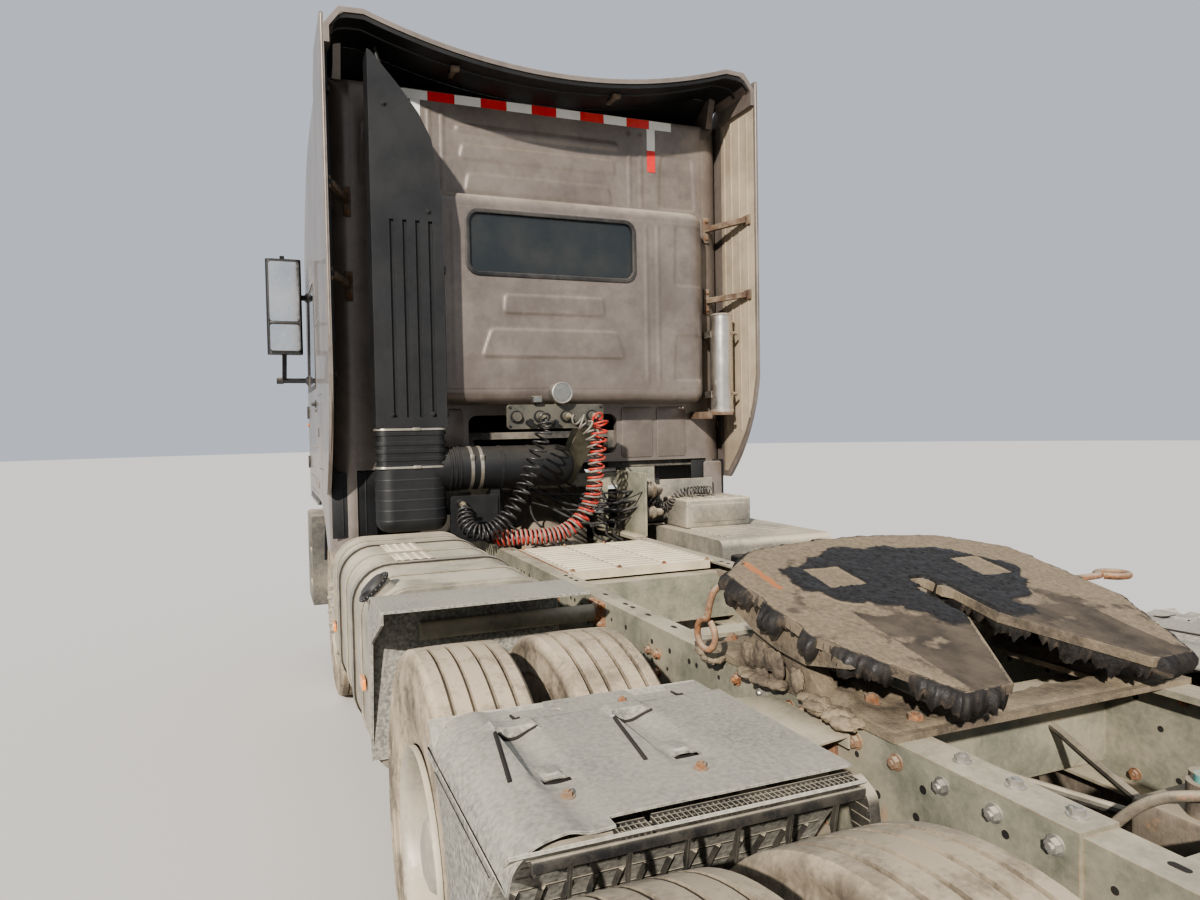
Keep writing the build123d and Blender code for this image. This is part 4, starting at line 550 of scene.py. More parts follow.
makeMaterial("mirrorFace", (0.7, 0.71, 0.72), (0.74, 0.75, 0.76), 0.05, 0.98, dust=(0.15, 0.1), bump=(0.01,))
makeMaterial("agedIron", (0.075, 0.045, 0.03), (0.13, 0.078, 0.048), 0.85, dust=(0.3, 0.4, None, 12.0),
    rust=(0.25, 14.0), bump=(0.4, 0.003))
makeMaterial("clampMetal", (0.26, 0.24, 0.21), (0.36, 0.34, 0.3), 0.4, 0.8, dust=(0.35, 0.4), rust=(0.15, 30.0),
    bump=(0.08,))
makeMaterial("liningBeige", (0.27, 0.225, 0.165), (0.34, 0.29, 0.22), 0.6, dust=(0.45, 0.3, (0.42, 0.35, 0.26), 2.5),
    grain=(300.0, 12.0, 0.4), bump=(0.12,))
makeMaterial("cakedDirt", (0.05, 0.04, 0.032), (0.15, 0.118, 0.085), 0.9, dust=(0.45, 0.12, (0.36, 0.295, 0.2), 6.0),
    grain=(130.0, 24.0, 0.6), bump=(0.9, 0.006), mottle=14.0)

# the plate's grease reads its own tones from the mesh: red is the dark band, green the pale dust, blue the rust
tree, shader = startMaterial("plateGrease")
tones = tree.nodes.new("ShaderNodeAttribute")
tones.attribute_name = "greaseTone"
split = tree.nodes.new("ShaderNodeSeparateColor")
join(tree, tones.outputs["Color"], split.inputs[0])
coordinates = tree.nodes.new("ShaderNodeTexCoord")
speckle = rampNode(tree, noiseNode(tree, coordinates.outputs["Object"], 75.0, 5.0, 0.7), 0.3, 0.7)
cloud = rampNode(tree, noiseNode(tree, coordinates.outputs["Object"], 11.0, 6.0, 0.62), 0.3, 0.7)
brown = mixColour(tree, cloud, (0.05, 0.039, 0.03), (0.12, 0.095, 0.07))
tan = mixColour(tree, speckle, (0.165, 0.128, 0.088), (0.26, 0.205, 0.142))
darkBand = mixColour(tree, speckle, (0.01, 0.009, 0.009), (0.028, 0.024, 0.021))
base = mixColour(tree, rampNode(tree, mathNode(tree, "ADD", split.outputs[1], product(tree, speckle, 0.25)), 0.3,
    0.85), brown, tan)
base = mixColour(tree, rampNode(tree, mathNode(tree, "ADD", split.outputs[0], product(tree, speckle, 0.2)), 0.35,
    0.7), base, darkBand)
base = mixColour(tree, rampNode(tree, split.outputs[2], 0.35, 0.75), base, (0.4, 0.17, 0.075))
join(tree, base, shader.inputs["Base Color"])
join(tree, rampNode(tree, split.outputs[0], 0.4, 0.9, 0.85, 0.42), shader.inputs["Roughness"])
addGrain(tree, shader, (170.0, 30.0, 0.55), 0.9, 0.004)

nodeFinish = {
    "cabPaint": "cab_back cab_sides cab_roof cab_front door_left door_right roof_fairing side_extenders",
    "framePaint": "frame_rails frame_cross_members mudguard_tubes rear_portal",
    "trimGrey": "bumper_and_steps",
    "lampClear": "headlamps",
    "runningGear": "front_axle front_leaf_springs drive_axles rear_suspension knuckle_left knuckle_right tie_rod "
                   "air_reservoirs",
    "engineIron": "engine",
    "tankMetal": "fuel_tank",
    "boxMetal": "silencer_and_battery_boxes",
    "blackPlasticAndShade": "wheel_arch_liners air_duct air_snorkel mirror_left mirror_right",
    "guardPlastic": "mudguards_front mudguards_middle mudguards_rear",
    "cakedDirt": "fifth_wheel_plate fifth_wheel_mount",
    "deckMetal": "deck_plate",
    "consoleMetalAndShade": "connection_panel",
    "lampRed": "rear_lamps",
    "hoseBlack": "hose_black",
    "hoseRed": "hose_red",
    "floorMetal": "cab_floor",
    "tintedGlass": "cab_glass door_glass_left door_glass_right",
    "dashPlastic": "dashboard",
    "seatFabric": "seats bunk",
    "canisterMetal": "canister",
    "wheelSteel": "wheel_front_left wheel_front_right wheel_drive1_left wheel_drive1_right wheel_drive2_left "
                  "wheel_drive2_right",
    "tyreRubber": "tyre_front_left tyre_front_right tyres_drive1_left tyres_drive1_right tyres_drive2_left "
                  "tyres_drive2_right",
}
for finish, names in nodeFinish.items():
    for name in names.split():
        data = nodes[name].data
        data.materials.clear()
        data.materials.append(materials[finish])
print("finishes on the frame's nodes")

# Coiled air hoses from the connection panel to the parking sockets: the routes are those of the part, in metres
hoseSet = {"radius": 0.006, "coil": 0.04, "perTurn": 14, "loosePitch": 0.047, "closePitch": 0.0235, "closeFrom": 0.55}
hoseRoutes = {
    "red": [(0.806, -0.13, 1.725), (0.69, -0.13, 1.725), (0.686, -0.112, 1.6), (0.704, -0.102, 1.44),
            (0.716, -0.085, 1.29), (0.722, -0.025, 1.18), (0.722, 0.075, 1.108), (0.73, 0.19, 1.092),
            (0.752, 0.305, 1.094), (0.795, 0.42, 1.092), (0.85, 0.45, 1.1), (0.905, 0.45, 1.1)],
    "black": [(0.806, 0.17, 1.725), (0.69, 0.17, 1.725), (0.688, 0.205, 1.61), (0.7, 0.245, 1.5),
              (0.7, 0.29, 1.39), (0.694, 0.345, 1.285), (0.69, 0.41, 1.195), (0.69, 0.49, 1.14),
              (0.715, 0.57, 1.135), (0.765, 0.605, 1.19), (0.82, 0.585, 1.27), (0.905, 0.585, 1.27)],
}


def routeLine(route, smooth=24):
    # the points of a route's NURBS spline, in order, as Blender gives them for a curve with no bevel
    guide = splineObject("hoseGuide", route, 0.0, smooth=smooth)
    data = splineMesh(guide)
    line = [vert.co.copy() for vert in data.vertices]
    bpy.data.meshes.remove(data)
    bpy.data.objects.remove(guide)
    return line


def finePlaces(line, step=0.001):
    # walks the line in small steps: (place, direction, share of the way)
    total = sum((b - a).length for a, b in zip(line, line[1:]))
    walked = 0.0
    for first, second in zip(line, line[1:]):
        count = max(1, round((second - first).length / step))
        for i in range(count):
            yield first.lerp(second, i / count), (second - first).normalized(), (second -
                first).length / count, walked, total
            walked += (second - first).length / count


def coilPoints(line, phase, straight=(0.05, 0.07), rise=0.05):
    made, turned, count = [line[0].copy(), line[0].lerp(line[1], 0.9)], 0.0, 0
    side = Vector((0, 1, 0))
    for place, ahead, step, walked, total in finePlaces(line):
        side = (side - ahead * side.dot(ahead)).normalized()
        left = total - walked
        if walked < straight[0] or left < straight[1]:
            continue
        close = min(1.0, max(0.0, (walked / total - hoseSet["closeFrom"]) / 0.08))
        pitch = hoseSet["loosePitch"] * (1 - close) + hoseSet["closePitch"] * close
        turned += math.tau * step / pitch
        if turned < math.tau * count / hoseSet["perTurn"]:
            continue
        count += 1
        growth = min(1.0, (walked - straight[0]) / rise, (left - straight[1]) / rise) ** 0.7
        angle = turned + phase
        made.append(place + (side * math.cos(angle) + ahead.cross(side) * math.sin(angle)) * hoseSet["coil"] * growth)
    made += [line[-1].lerp(line[-2], 2.5), line[-1].copy()]
    return made


def hoseEnd(mesh, place, ahead):
    # threaded stem, hexagon nut, collar and a tapered bend protector, from the socket's face along the hose
    place, ahead = Vector(place), Vector(ahead).normalized()
    for start, end, first, last, steps in ((0.0, 0.01, 0.0115, 0.0115, 18), (0.01, 0.022, 0.017, 0.017, 6),
            (0.022, 0.027, 0.0135, 0.0125, 18), (0.027, 0.06, 0.011, 0.0078, 18)):
        addRod(mesh, place + ahead * start, place + ahead * end, first, steps, last)
    for i in range(7):
        reach = 0.03 + 0.0042 * i
        addRod(mesh, place + ahead * reach, place + ahead * (reach + 0.0022), 0.0118 - 0.0004 * i, 16)


for name, routeName, phase, finish, slotName in (("airHoseRed", "red", 0.0, "hoseRed", "hose_red"),
        ("airHoseGrey", "red", math.pi, "hoseGrey", "hose_black"), ("airHoseBlack", "black", 0.0, "hoseBlack",
        "hose_black")):
    route = list(hoseRoutes[routeName])
    if name == "airHoseGrey":
        # shares the red hose's way, from the next socket
        route[0], route[1] = (0.806, 0.02, 1.725), (0.72, 0.016, 1.722)
        route[2] = (0.702, -0.09, 1.64)
    points = coilPoints(routeLine(route), phase)
    hose = splineObject(name, points, hoseSet["radius"], smooth=3, bevelSteps=2)
    hose.data.materials.append(materials[finish])
    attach(hose, "chassis")
    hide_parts("hose_black" if name == "airHoseBlack" else "hose_red")
    mesh = bmesh.new()
    hoseEnd(mesh, points[0], (-1, 0, 0))
    hoseEnd(mesh, points[-1], (-1, 0, 0))
    fittings = makePiece(name + "Fittings", mesh, "hoseFitting")
    line = routeLine(points, 3)
    length = sum((b - a).length for a, b in zip(line, line[1:]))
    print(name, len(points), "points, length", round(length, 3))

# Wheels and tyres: one turned section each, copied to its axle
wheelSet = {"radius": 0.542, "grooves": (-0.077, -0.027, 0.027, 0.077), "grooveHalf": 0.0055, "grooveDepth": 0.013,
    "frontY": 1.03, "dualY": (0.737, 1.083), "frontX": 2.07, "driveX": (-1.23, -2.6), "rimReach": 0.124}


def tyreProfile(size):
    # tread with four grooves, round shoulders, sidewall rings and the bead, as (along, radius)
    radius = size["radius"]
    outer = []
    for middle in size["grooves"]:
        wide = size["grooveHalf"]
        crown = radius - 0.22 * middle * middle
        deep = crown - size["grooveDepth"]
        outer += [(middle - wide, crown), (middle - wide * 0.6, deep), (middle + wide * 0.6, deep),
            (middle + wide, crown)]
    crownEnd = radius - 0.22 * 0.112 ** 2
    side = [(0.112, crownEnd), (0.121, radius - 0.01), (0.1265, radius - 0.024), (0.1262, radius - 0.034),
        (0.1235, radius - 0.04), (0.1245, radius - 0.056), (0.127, radius - 0.064), (0.1255, radius - 0.095),
        (0.1275, radius - 0.1), (0.1275, radius - 0.107), (0.1245, radius - 0.112), (0.1262, radius - 0.14),
        (0.1225, radius - 0.176), (0.124, radius - 0.181), (0.1235, radius - 0.188), (0.1195, radius - 0.192),
        (0.115, radius - 0.214), (0.111, radius - 0.236), (0.112, radius - 0.246), (0.109, 0.2875)]
    left = [(-along, r) for along, r in reversed(side)]
    bead = [(0.095, 0.2872), (0.09, 0.33), (-0.09, 0.33), (-0.095, 0.2872)]
    return left + outer + side + bead + [left[0]]


def addTyre(mesh, x, y, side):
    profile = [(y * side + along, r) for along, r in tyreProfile(wheelSet)]
    addLathe(mesh, profile, (x, 0, wheelSet["radius"]), 96, "y")


def wheelDisc(mesh, x, face, dish, side):
    # rim and dished disc, drawn for the left; face is the outer rim edge, dish how far the disc sits in or out
    def lathe(profile):
        addLathe(mesh, [((face + along) * side, r) for along, r in profile], (x, 0, wheelSet["radius"]), 64, "y")
    lathe([(0.0, 0.2855), (0.004, 0.283), (0.0, 0.277), (-0.012, 0.268), (-0.03, 0.263), (-0.06, 0.256),
        (-0.11, 0.25), (-0.2, 0.252), (-0.235, 0.268), (-0.248, 0.278), (-0.244, 0.2855), (-0.236, 0.2858),
        (-0.226, 0.278), (-0.205, 0.262), (-0.11, 0.26), (-0.05, 0.268), (-0.022, 0.274), (-0.01, 0.2858),
        (0.0, 0.2855)])
    lathe([(-0.105, 0.25), (dish - 0.02, 0.238), (dish - 0.004, 0.215), (dish, 0.175), (dish, 0.112),
        (dish - 0.011, 0.112), (dish - 0.011, 0.173), (dish - 0.016, 0.212), (dish - 0.032, 0.233), (-0.117, 0.246),
        (-0.105, 0.25)])


def addHub(mesh, x, start, length, side):
    addLathe(mesh, [((start + length * share) * side, radius) for share, radius in ((0, 0.114), (0.25, 0.114),
        (0.32, 0.104), (0.8, 0.098), (0.92, 0.086), (1, 0.056), (1, 0.0), (0, 0.0))], (x, 0, wheelSet["radius"]), 40,
        "y")


def addRound(mesh, x, y, side, count, ringRadius, make):
    for i in range(count):
        angle = math.tau * i / count
        make(mesh, (x + ringRadius * math.sin(angle), y * side, wheelSet["radius"] + ringRadius * math.cos(angle)),
            angle)


def handHole(mesh, place, angle):
    # a dark oval cup of painted shade that reads as the disc's hand hole
    verts = bmesh.ops.create_cone(mesh, cap_ends=True, segments=20, radius1=0.03, radius2=0.03, depth=0.004)["verts"]
    placed(mesh, verts, Matrix.Translation(place) @ Matrix.Rotation(angle, 4, "Y") @ Matrix.Rotation(math.radians(90),
        4, "X") @ Matrix.Diagonal((1.05, 0.75, 1, 1)))


def wheelNut(side):
    def make(mesh, place, angle):
        outward = Vector((0, side, 0))
        place = Vector(place)
        addRod(mesh, place, place + outward * 0.006, 0.024, 12)
        addRod(mesh, place + outward * 0.006, place + outward * 0.03, 0.0165, 6)
        addRod(mesh, place + outward * 0.03, place + outward * 0.044, 0.011, 8)
    return make


for side, sideName in ((1, "left"), (-1, "right")):
    mesh = bmesh.new()
    addTyre(mesh, wheelSet["frontX"], wheelSet["frontY"], side)
    piece = makePiece("dressedTyreFront" + sideName, mesh, "tyreRubber", "wheel_front_" + sideName)
    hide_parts("tyre_front_" + sideName)
    mesh = bmesh.new()
    rimFace = wheelSet["frontY"] + wheelSet["rimReach"]
    wheelDisc(mesh, wheelSet["frontX"], rimFace, -0.012, side)
    addHub(mesh, wheelSet["frontX"], rimFace - 0.04, 0.055, side)
    addRound(mesh, wheelSet["frontX"], rimFace - 0.012, side, 10, 0.142, wheelNut(side))
    piece = makePiece("rimFront" + sideName, mesh, "wheelSteel", "wheel_front_" + sideName)
    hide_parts("wheel_front_" + sideName)
    mesh = bmesh.new()
    addRound(mesh, wheelSet["frontX"], rimFace - 0.013, side, 10, 0.2, handHole)
    makePiece("rimHolesFront" + sideName, mesh, "deepShade", "wheel_front_" + sideName)
    for number, axleX in enumerate(wheelSet["driveX"], start=1):
        body = f"wheel_drive{number}_{sideName}"
        mesh = bmesh.new()
        for y in wheelSet["dualY"]:
            addTyre(mesh, axleX, y, side)
        piece = makePiece(f"dressedTyresDrive{number}{sideName}", mesh, "tyreRubber", body)
        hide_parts(f"tyres_drive{number}_{sideName}")
        mesh = bmesh.new()
        outerFace = wheelSet["dualY"][1] + wheelSet["rimReach"]
        wheelDisc(mesh, axleX, outerFace, -0.13, side)
        wheelDisc(mesh, axleX, wheelSet["dualY"][0] + wheelSet["rimReach"], -0.06, side)
        addHub(mesh, axleX, outerFace - 0.14, 0.125, side)
        addRound(mesh, axleX, outerFace - 0.131, side, 10, 0.142, wheelNut(side))
        addRound(mesh, axleX, outerFace - 0.04, side, 8, 0.07, lambda m, p, a,
            s=side: addBolt(m, p, (0, s, 0), 0.009, 0.006))
        piece = makePiece(f"rimsDrive{number}{sideName}", mesh, "wheelSteel", body)
        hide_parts(body)
        mesh = bmesh.new()
        addRound(mesh, axleX, outerFace - 0.133, side, 10, 0.198, handHole)
        makePiece(f"rimHolesDrive{number}{sideName}", mesh, "deepShade", body)
print("wheels and tyres")

# The cab's back wall: pressed sheets with ribs and sunk panels, the window's seal and the marking tape
backSet = {"wallX": 1.25, "bulgeX": 1.03, "proud": 0.0012, "slope": 0.016, "cell": 0.01, "cornerY": 0.862,
    "cornerRadius": 0.13}
# each form: its corners as (y, z), mirrored where it lies to one side, and its height; a minus sign sinks it
wallForms = [([(-0.51, 3.33), (0.51, 3.33), (0.5, 3.385), (-0.5, 3.385)], 0.007),
    ([(-0.49, 3.18), (0.49, 3.18), (0.47, 3.28), (-0.47, 3.28)], 0.007), ([(-0.46, 3.0), (0.46, 3.0), (0.44, 3.12),
    (-0.44, 3.12)], 0.007), ([(0.76, 3.0), (1.03, 3.0), (1.01, 3.35), (0.78, 3.35)], -0.007)]
bulgeForms = [([(-0.31, 2.29), (0.31, 2.29), (0.3, 2.41), (-0.3, 2.41)], 0.008),
    ([(-0.44, 2.05), (0.44, 2.05), (0.38, 2.22), (-0.38, 2.22)], 0.008), ([(0.75, 2.49), (0.975, 2.49), (0.965, 2.86),
    (0.76, 2.86)], -0.007), ([(0.74, 1.925), (0.978, 1.925), (0.965, 2.21), (0.76, 2.21)], -0.007)]
ridgePlaces = (0.572, 0.648)


def bulgeX(y):
    over = abs(y) - backSet["cornerY"]
    if over <= 0:
        return backSet["bulgeX"]
    radius = backSet["cornerRadius"]
    return backSet["bulgeX"] + radius - math.sqrt(max(0.0, radius ** 2 - over ** 2))


def insideDepth(corners, y, z, sharp=120.0):
    # how deep a place lies inside a convex outline, with its corners rounded off
    total = 0.0
    for (ya, za), (yb, zb) in zip(corners, corners[1:] + corners[:1]):
        length = math.hypot(yb - ya, zb - za)
        outward = ((y - ya) * (zb - za) - (z - za) * (yb - ya)) / length
        total += math.exp(min(60.0, sharp * outward))
    return -math.log(total) / sharp


def smoothShare(value):
    value = min(1.0, max(0.0, value))
    return value * value * (3 - 2 * value)


def pressedHeight(forms, y, z, ridgeZ):
    height = 0.0
    for corners, rise in forms:
        place = y if corners[0][0] < 0 else abs(y)
        height += rise * smoothShare(insideDepth(corners, place, z) / backSet["slope"])
    for ridge in ridgePlaces:
        ends = min(smoothShare((z - ridgeZ[0]) / 0.03), smoothShare((ridgeZ[1] - z) / 0.03))
        height += 0.006 * ends * smoothShare(1.0 - abs(abs(y) - ridge) / 0.016)
    return height


def pressedSheet(mesh, yRange, zRange, surface, forms, ridgeZ, hole=None):
    cell = backSet["cell"]
    countY, countZ = round((yRange[1] - yRange[0]) / cell), round((zRange[1] - zRange[0]) / cell)
    for vert, y, z in gridPlaces(mesh, yRange, zRange, (countY, countZ)):
        edge = min(y - yRange[0], yRange[1] - y, z - zRange[0], zRange[1] - z)
        proud = backSet["proud"] if edge > 1e-4 else -0.002
        vert.co = Vector((surface(y, z) - proud - pressedHeight(forms, y, z, ridgeZ), y, z))
    if hole:
        gone = [face for face in mesh.faces if hole(face.calc_center_median())]
        bmesh.ops.delete(mesh, geom=gone, context="FACES")


def addRing(mesh, outer, inner, axis, start, end, bevel=0.0):
    # a flat ring between two outlines with equal counts, given thickness
    place = outlinePlaces[axis]
    loops = []
    for outline in (outer, inner):
        ring = [mesh.verts.new(place(a, b, start)) for a, b in outline]
        loops.append([mesh.edges.new((ring[i], ring[(i + 1) % len(ring)])) for i in range(len(ring))])
    faces = bmesh.ops.bridge_loops(mesh, edges=loops[0] + loops[1])["faces"]
    made = bmesh.ops.extrude_face_region(mesh, geom=faces)["geom"]
    bmesh.ops.translate(mesh, vec=Vector(place(0, 0, end - start)), verts=vertsOf(made))
    if bevel:
        faces = facesOf(made)
        edges = [edge for edge in {e for f in faces for e in f.edges} if len([f
            for f in edge.link_faces if f in faces]) == 1]
        bmesh.ops.bevel(mesh, geom=edges, offset=bevel, affect="EDGES", segments=2, profile=0.5, material=-1)


mesh = bmesh.new()
pressedSheet(mesh, (-1.075, 1.075), (2.962, 3.543), lambda y, z: backSet["wallX"], wallForms, (2.99, 3.46))
makePiece("upperBackSheet", mesh, "cabPaint", "cab", sharp=60)
mesh = bmesh.new()
pressedSheet(mesh, (-0.984, 0.984), (1.874, 2.876), lambda y, z: bulgeX(y), bulgeForms, (1.9, 2.86),
    lambda c: abs(c.y) < 0.492 and 2.51 < c.z < 2.85)
makePiece("bulgeBackSheet", mesh, "cabPaint", "cab", sharp=60)

mesh = bmesh.new()
seal = {"outer": ((-0.507, 2.497), (0.507, 2.862), 0.074), "inner": ((-0.482, 2.522), (0.482, 2.838), 0.05)}
addRing(mesh, roundedOutline(*seal["outer"], 10), roundedOutline(*seal["inner"], 10), "x", 1.036, 1.021, 0.005)
makePiece("rearWindowSeal", mesh, "rubberTrim", "cab")

# raised plates low on the wall, beside the cut-out
mesh = bmesh.new()
for low, high in (((-0.7, 1.47), (-0.49, 1.78)), ((-0.93, 1.47), (-0.73, 1.78)), ((0.49, 1.47), (0.64, 1.78))):
    addPrism(mesh, roundedOutline(low, high, 0.022), "x", 1.2505, 1.243, 0.005)
addPlate(mesh, (-1.19, 1.06), (-1.06, 1.43), 0.02, "x", 1.2505, 1.244, 0.004)
makePiece("lowerBackPlates", mesh, "cabPaint", "cab")

# marking tape: white and red lengths along the top, then down at both ends
tape = {"start": 0.8, "length": 0.151, "count": 11, "z": (3.487, 3.539), "dropY": 0.72, "dropHalf": 0.0275}
tapeMeshes = {"tapeWhite": bmesh.new(), "tapeRed": bmesh.new()}


def addTape(mesh, yRange, zRange, cells=(2, 6)):
    for vert, y, z in gridPlaces(mesh, yRange, zRange, cells):
        vert.co = Vector((backSet["wallX"] - 0.0035 - 0.8 * pressedHeight(wallForms, y, z, (2.99, 3.46)), y, z))


for i in range(tape["count"]):
    start = tape["start"] - i * tape["length"]
    addTape(tapeMeshes["tapeWhite" if i % 2 == 0 else "tapeRed"], (start - tape["length"] + 0.001, start), tape["z"])
for side in (1, -1):
    for kind, zRange in (("tapeWhite", (3.357, 3.4862)), ("tapeRed", (3.226, 3.356))):
        addTape(tapeMeshes[kind], (side * tape["dropY"] - tape["dropHalf"], side * tape["dropY"] + tape["dropHalf"]),
            zRange, (2, 12))
for kind, mesh in tapeMeshes.items():
    mesh.normal_update()
    bmesh.ops.reverse_faces(mesh, faces=[face for face in mesh.faces if face.normal.x > 0])
    bmesh.ops.solidify(mesh, geom=mesh.faces[:], thickness=0.0008)
    makePiece(kind + "Lengths", mesh, kind, "cab", sharp=60, normals=False)
print("cab back")

# Middle mudguards: a moulded plastic shell with a stepped lip, latch pockets, ribbed arch walls and a meshed edge
guardSet = {"x": (-2.228, -1.59), "y": (0.574, 1.243), "top": 1.0485, "lipX": -1.715, "lipDrop": 0.013,
    "ridgeY": 1.137, "shoulderY": 1.155, "shoulderDrop": 0.075, "radius": 0.6085, "axleZ": 0.542, "cell": 0.008,
    "pockets": ((0.785, 0.868), (1.045, 1.128)), "pocketX": (-2.062, -1.762), "slotX": (-2.036, -2.01)}
tabEdges = ((0.574, 0.664, -1.606), (0.664, 0.763, -1.64), (0.763, 0.975, -1.59), (0.975, 1.066, -1.628),
    (1.066, 1.243, -1.598))

# each arch wall's axle and the way that it faces, with the angles from upright where the walls start and end
middleAxle, rearAxle = (-1.23, -1), (-2.6, 1)
wallTurns, sideTurns, sideReach = (36.5, 72.6), (37.2, 72.6), 0.6145


def guardHeight(x, y):
    z = guardSet["top"] - guardSet["lipDrop"] * smoothShare((x - guardSet["lipX"]) / 0.014)
    z += 0.004 * smoothShare(1 - abs(y - guardSet["ridgeY"]) / 0.035) - 0.003 * smoothShare(1 - abs(y - 1.09) / 0.05)
    over = max(0.0, y - guardSet["shoulderY"]) / (guardSet["y"][1] - guardSet["shoulderY"])
    z -= guardSet["shoulderDrop"] * (1 - math.sqrt(max(0.0, 1 - min(1.0, over) ** 2)))
    for low, high in guardSet["pockets"]:
        back, front = guardSet["pocketX"]
        if low < y < high and back < x < front:
            along = (front - x) / (front - back)
            z -= 0.016 * (1 - along) * smoothShare((y - low) / 0.05) + 0.002
        if low - 0.002 < y < high + 0.004 and front <= x < front + 0.066:
            z += 0.006
        middle = (low + high) / 2
        if abs(y - middle) < 0.018 and guardSet["slotX"][1] < x < guardSet["slotX"][1] + 0.075:
            z += 0.009 * (1 - (x - guardSet["slotX"][1]) / 0.075)
    z += 0.0012 * noise.noise(Vector((x * 6, y * 6, 1.0)))
    return z


def guardTop(mesh):
    (xLow, xHigh), (yLow, yHigh), cell = guardSet["x"], guardSet["y"], guardSet["cell"]
    countX, countY = round((xHigh - xLow) / cell), round((yHigh - yLow) / cell)
    for vert, x, y in gridPlaces(mesh, guardSet["x"], guardSet["y"], (countX, countY)):
        limit = next(edge for low, high, edge in tabEdges if low - 1e-6 <= y <= high + 1e-6)
        vert.co = Vector((min(x, limit), y, guardHeight(min(x, limit), y)))

    def cut(face):
        middle = face.calc_center_median()
        inSlot = any(abs(middle.y - (low + high) / 2) < 0.026 for low, high in guardSet["pockets"])
        hole = (middle.x + 1.652) ** 2 + (middle.y - 0.958) ** 2 < 0.009 ** 2
        behind = middle.x < -2.196 and middle.y < 1.06
        return (inSlot and guardSet["slotX"][0] < middle.x < guardSet["slotX"][1]) or hole or behind
    bmesh.ops.dissolve_degenerate(mesh, dist=1e-5, edges=mesh.edges[:])
    bmesh.ops.delete(mesh, geom=[face for face in mesh.faces if cut(face)], context="FACES")


def arcPoint(axleX, toward, angle, radius=None):
    reach = radius or guardSet["radius"]
    return axleX + toward * reach * math.sin(angle), guardSet["axleZ"] + reach * math.cos(angle)


def archWall(mesh, axleX, toward, startAngle, endAngle, yLow, yHigh, thickness=0.006, steps=18):
    # a curved sheet over the wheel, swept from a straight edge
    x, z = arcPoint(axleX, toward, startAngle)
    verts = [mesh.verts.new((x, yLow, z)), mesh.verts.new((x, yHigh, z))]
    edge = mesh.edges.new(verts)
    bmesh.ops.spin(mesh, geom=verts + [edge], cent=(axleX, 0, guardSet["axleZ"]), axis=(0, 1, 0),
        angle=(endAngle - startAngle) * toward, steps=steps)
    seen = {face for vert in verts for face in vert.link_faces}
    region = list(seen)
    while region:
        face = region.pop()
        for near in {f for e in face.edges for f in e.link_faces} - seen:
            seen.add(near)
            region.append(near)
    centre = Vector((axleX, 0, guardSet["axleZ"]))
    for vert in vertsOf(bmesh.ops.extrude_face_region(mesh, geom=list(seen))["geom"]):
        out = vert.co - centre
        out.y = 0
        vert.co += out.normalized() * thickness


def arcRib(mesh, axleX, toward, angle, yLow, yHigh, wide, tall):
    # a straight rib across an arch wall, standing outwards
    inner = guardSet["radius"] - 0.001
    x0, z0 = arcPoint(axleX, toward, angle, inner)
    x1, z1 = arcPoint(axleX, toward, angle, inner + tall)
    direction = Vector((x1 - x0, 0, z1 - z0)).normalized()
    side = Vector((direction.z, 0, -direction.x)) * wide / 2
    a, b = Vector((x0, yLow, z0)), Vector((x1, yLow, z1))
    ring = [mesh.verts.new(p) for p in (a - side, a + side, b + side, b - side)]
    face = mesh.faces.new(ring)
    made = bmesh.ops.extrude_face_region(mesh, geom=[face])["geom"]
    bmesh.ops.translate(mesh, vec=(0, yHigh - yLow, 0), verts=vertsOf(made))


def sideWall(mesh):
    # the outer end: a fan between the two arches, dished and rounded to the top's shoulder
    low, high = sideTurns
    outline = [arcPoint(*rearAxle, math.radians(low + (high - low) * i / 12), sideReach) for i in range(13)]
    outline += [arcPoint(*middleAxle, math.radians(high - (high - low) * i / 12), sideReach) for i in range(13)]
    outline = [(x, min(z, 0.978)) for x, z in outline]
    addPrism(mesh, outline, "y", 1.236, 1.243, 0.003)
    inner = [((x + 1.915) * 0.72 - 1.915, z - 0.02) for x, z in outline]
    addPrism(mesh, inner, "y", 1.2425, 1.2448, 0.002)


mesh = bmesh.new()
guardTop(mesh)
bmesh.ops.solidify(mesh, geom=mesh.faces[:], thickness=0.005)
sideWall(mesh)
for axleX, toward in (middleAxle, rearAxle):
    archWall(mesh, axleX, toward, *(math.radians(turn) for turn in wallTurns), 0.574, 1.238)
addMirrored(mesh)
guardPiece = makePiece("middleGuardShells", mesh, "guardPlastic", sharp=38)
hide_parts("mudguards_middle")

# ribs and lip of the arch walls: dark plastic with dust caught on the bars
mesh = bmesh.new()
for axleX, toward in (rearAxle, middleAxle):
    for degrees, tall in ((39.5, 0.02), (43.0, 0.012), (47.5, 0.012), (52.5, 0.022), (58.0, 0.012), (64.0, 0.012),
            (70.0, 0.016)):
        arcRib(mesh, axleX, toward, math.radians(degrees), 0.59, 1.205, 0.005, tall)
    for y in [0.6 + 0.048 * i for i in range(13)]:
        for start, end in ((39.5, 47.5), (52.5, 64.0)):
            shift = 0.02 if start > 50 else 0.0
            places = [arcPoint(axleX, toward, math.radians(start + (end - start) * i / 4), 0.61) for i in range(5)]
            for (xa, za), (xb, zb) in zip(places, places[1:]):
                addRod(mesh, (xa, y + shift, za), (xb, y + shift, zb), 0.0085, 4)
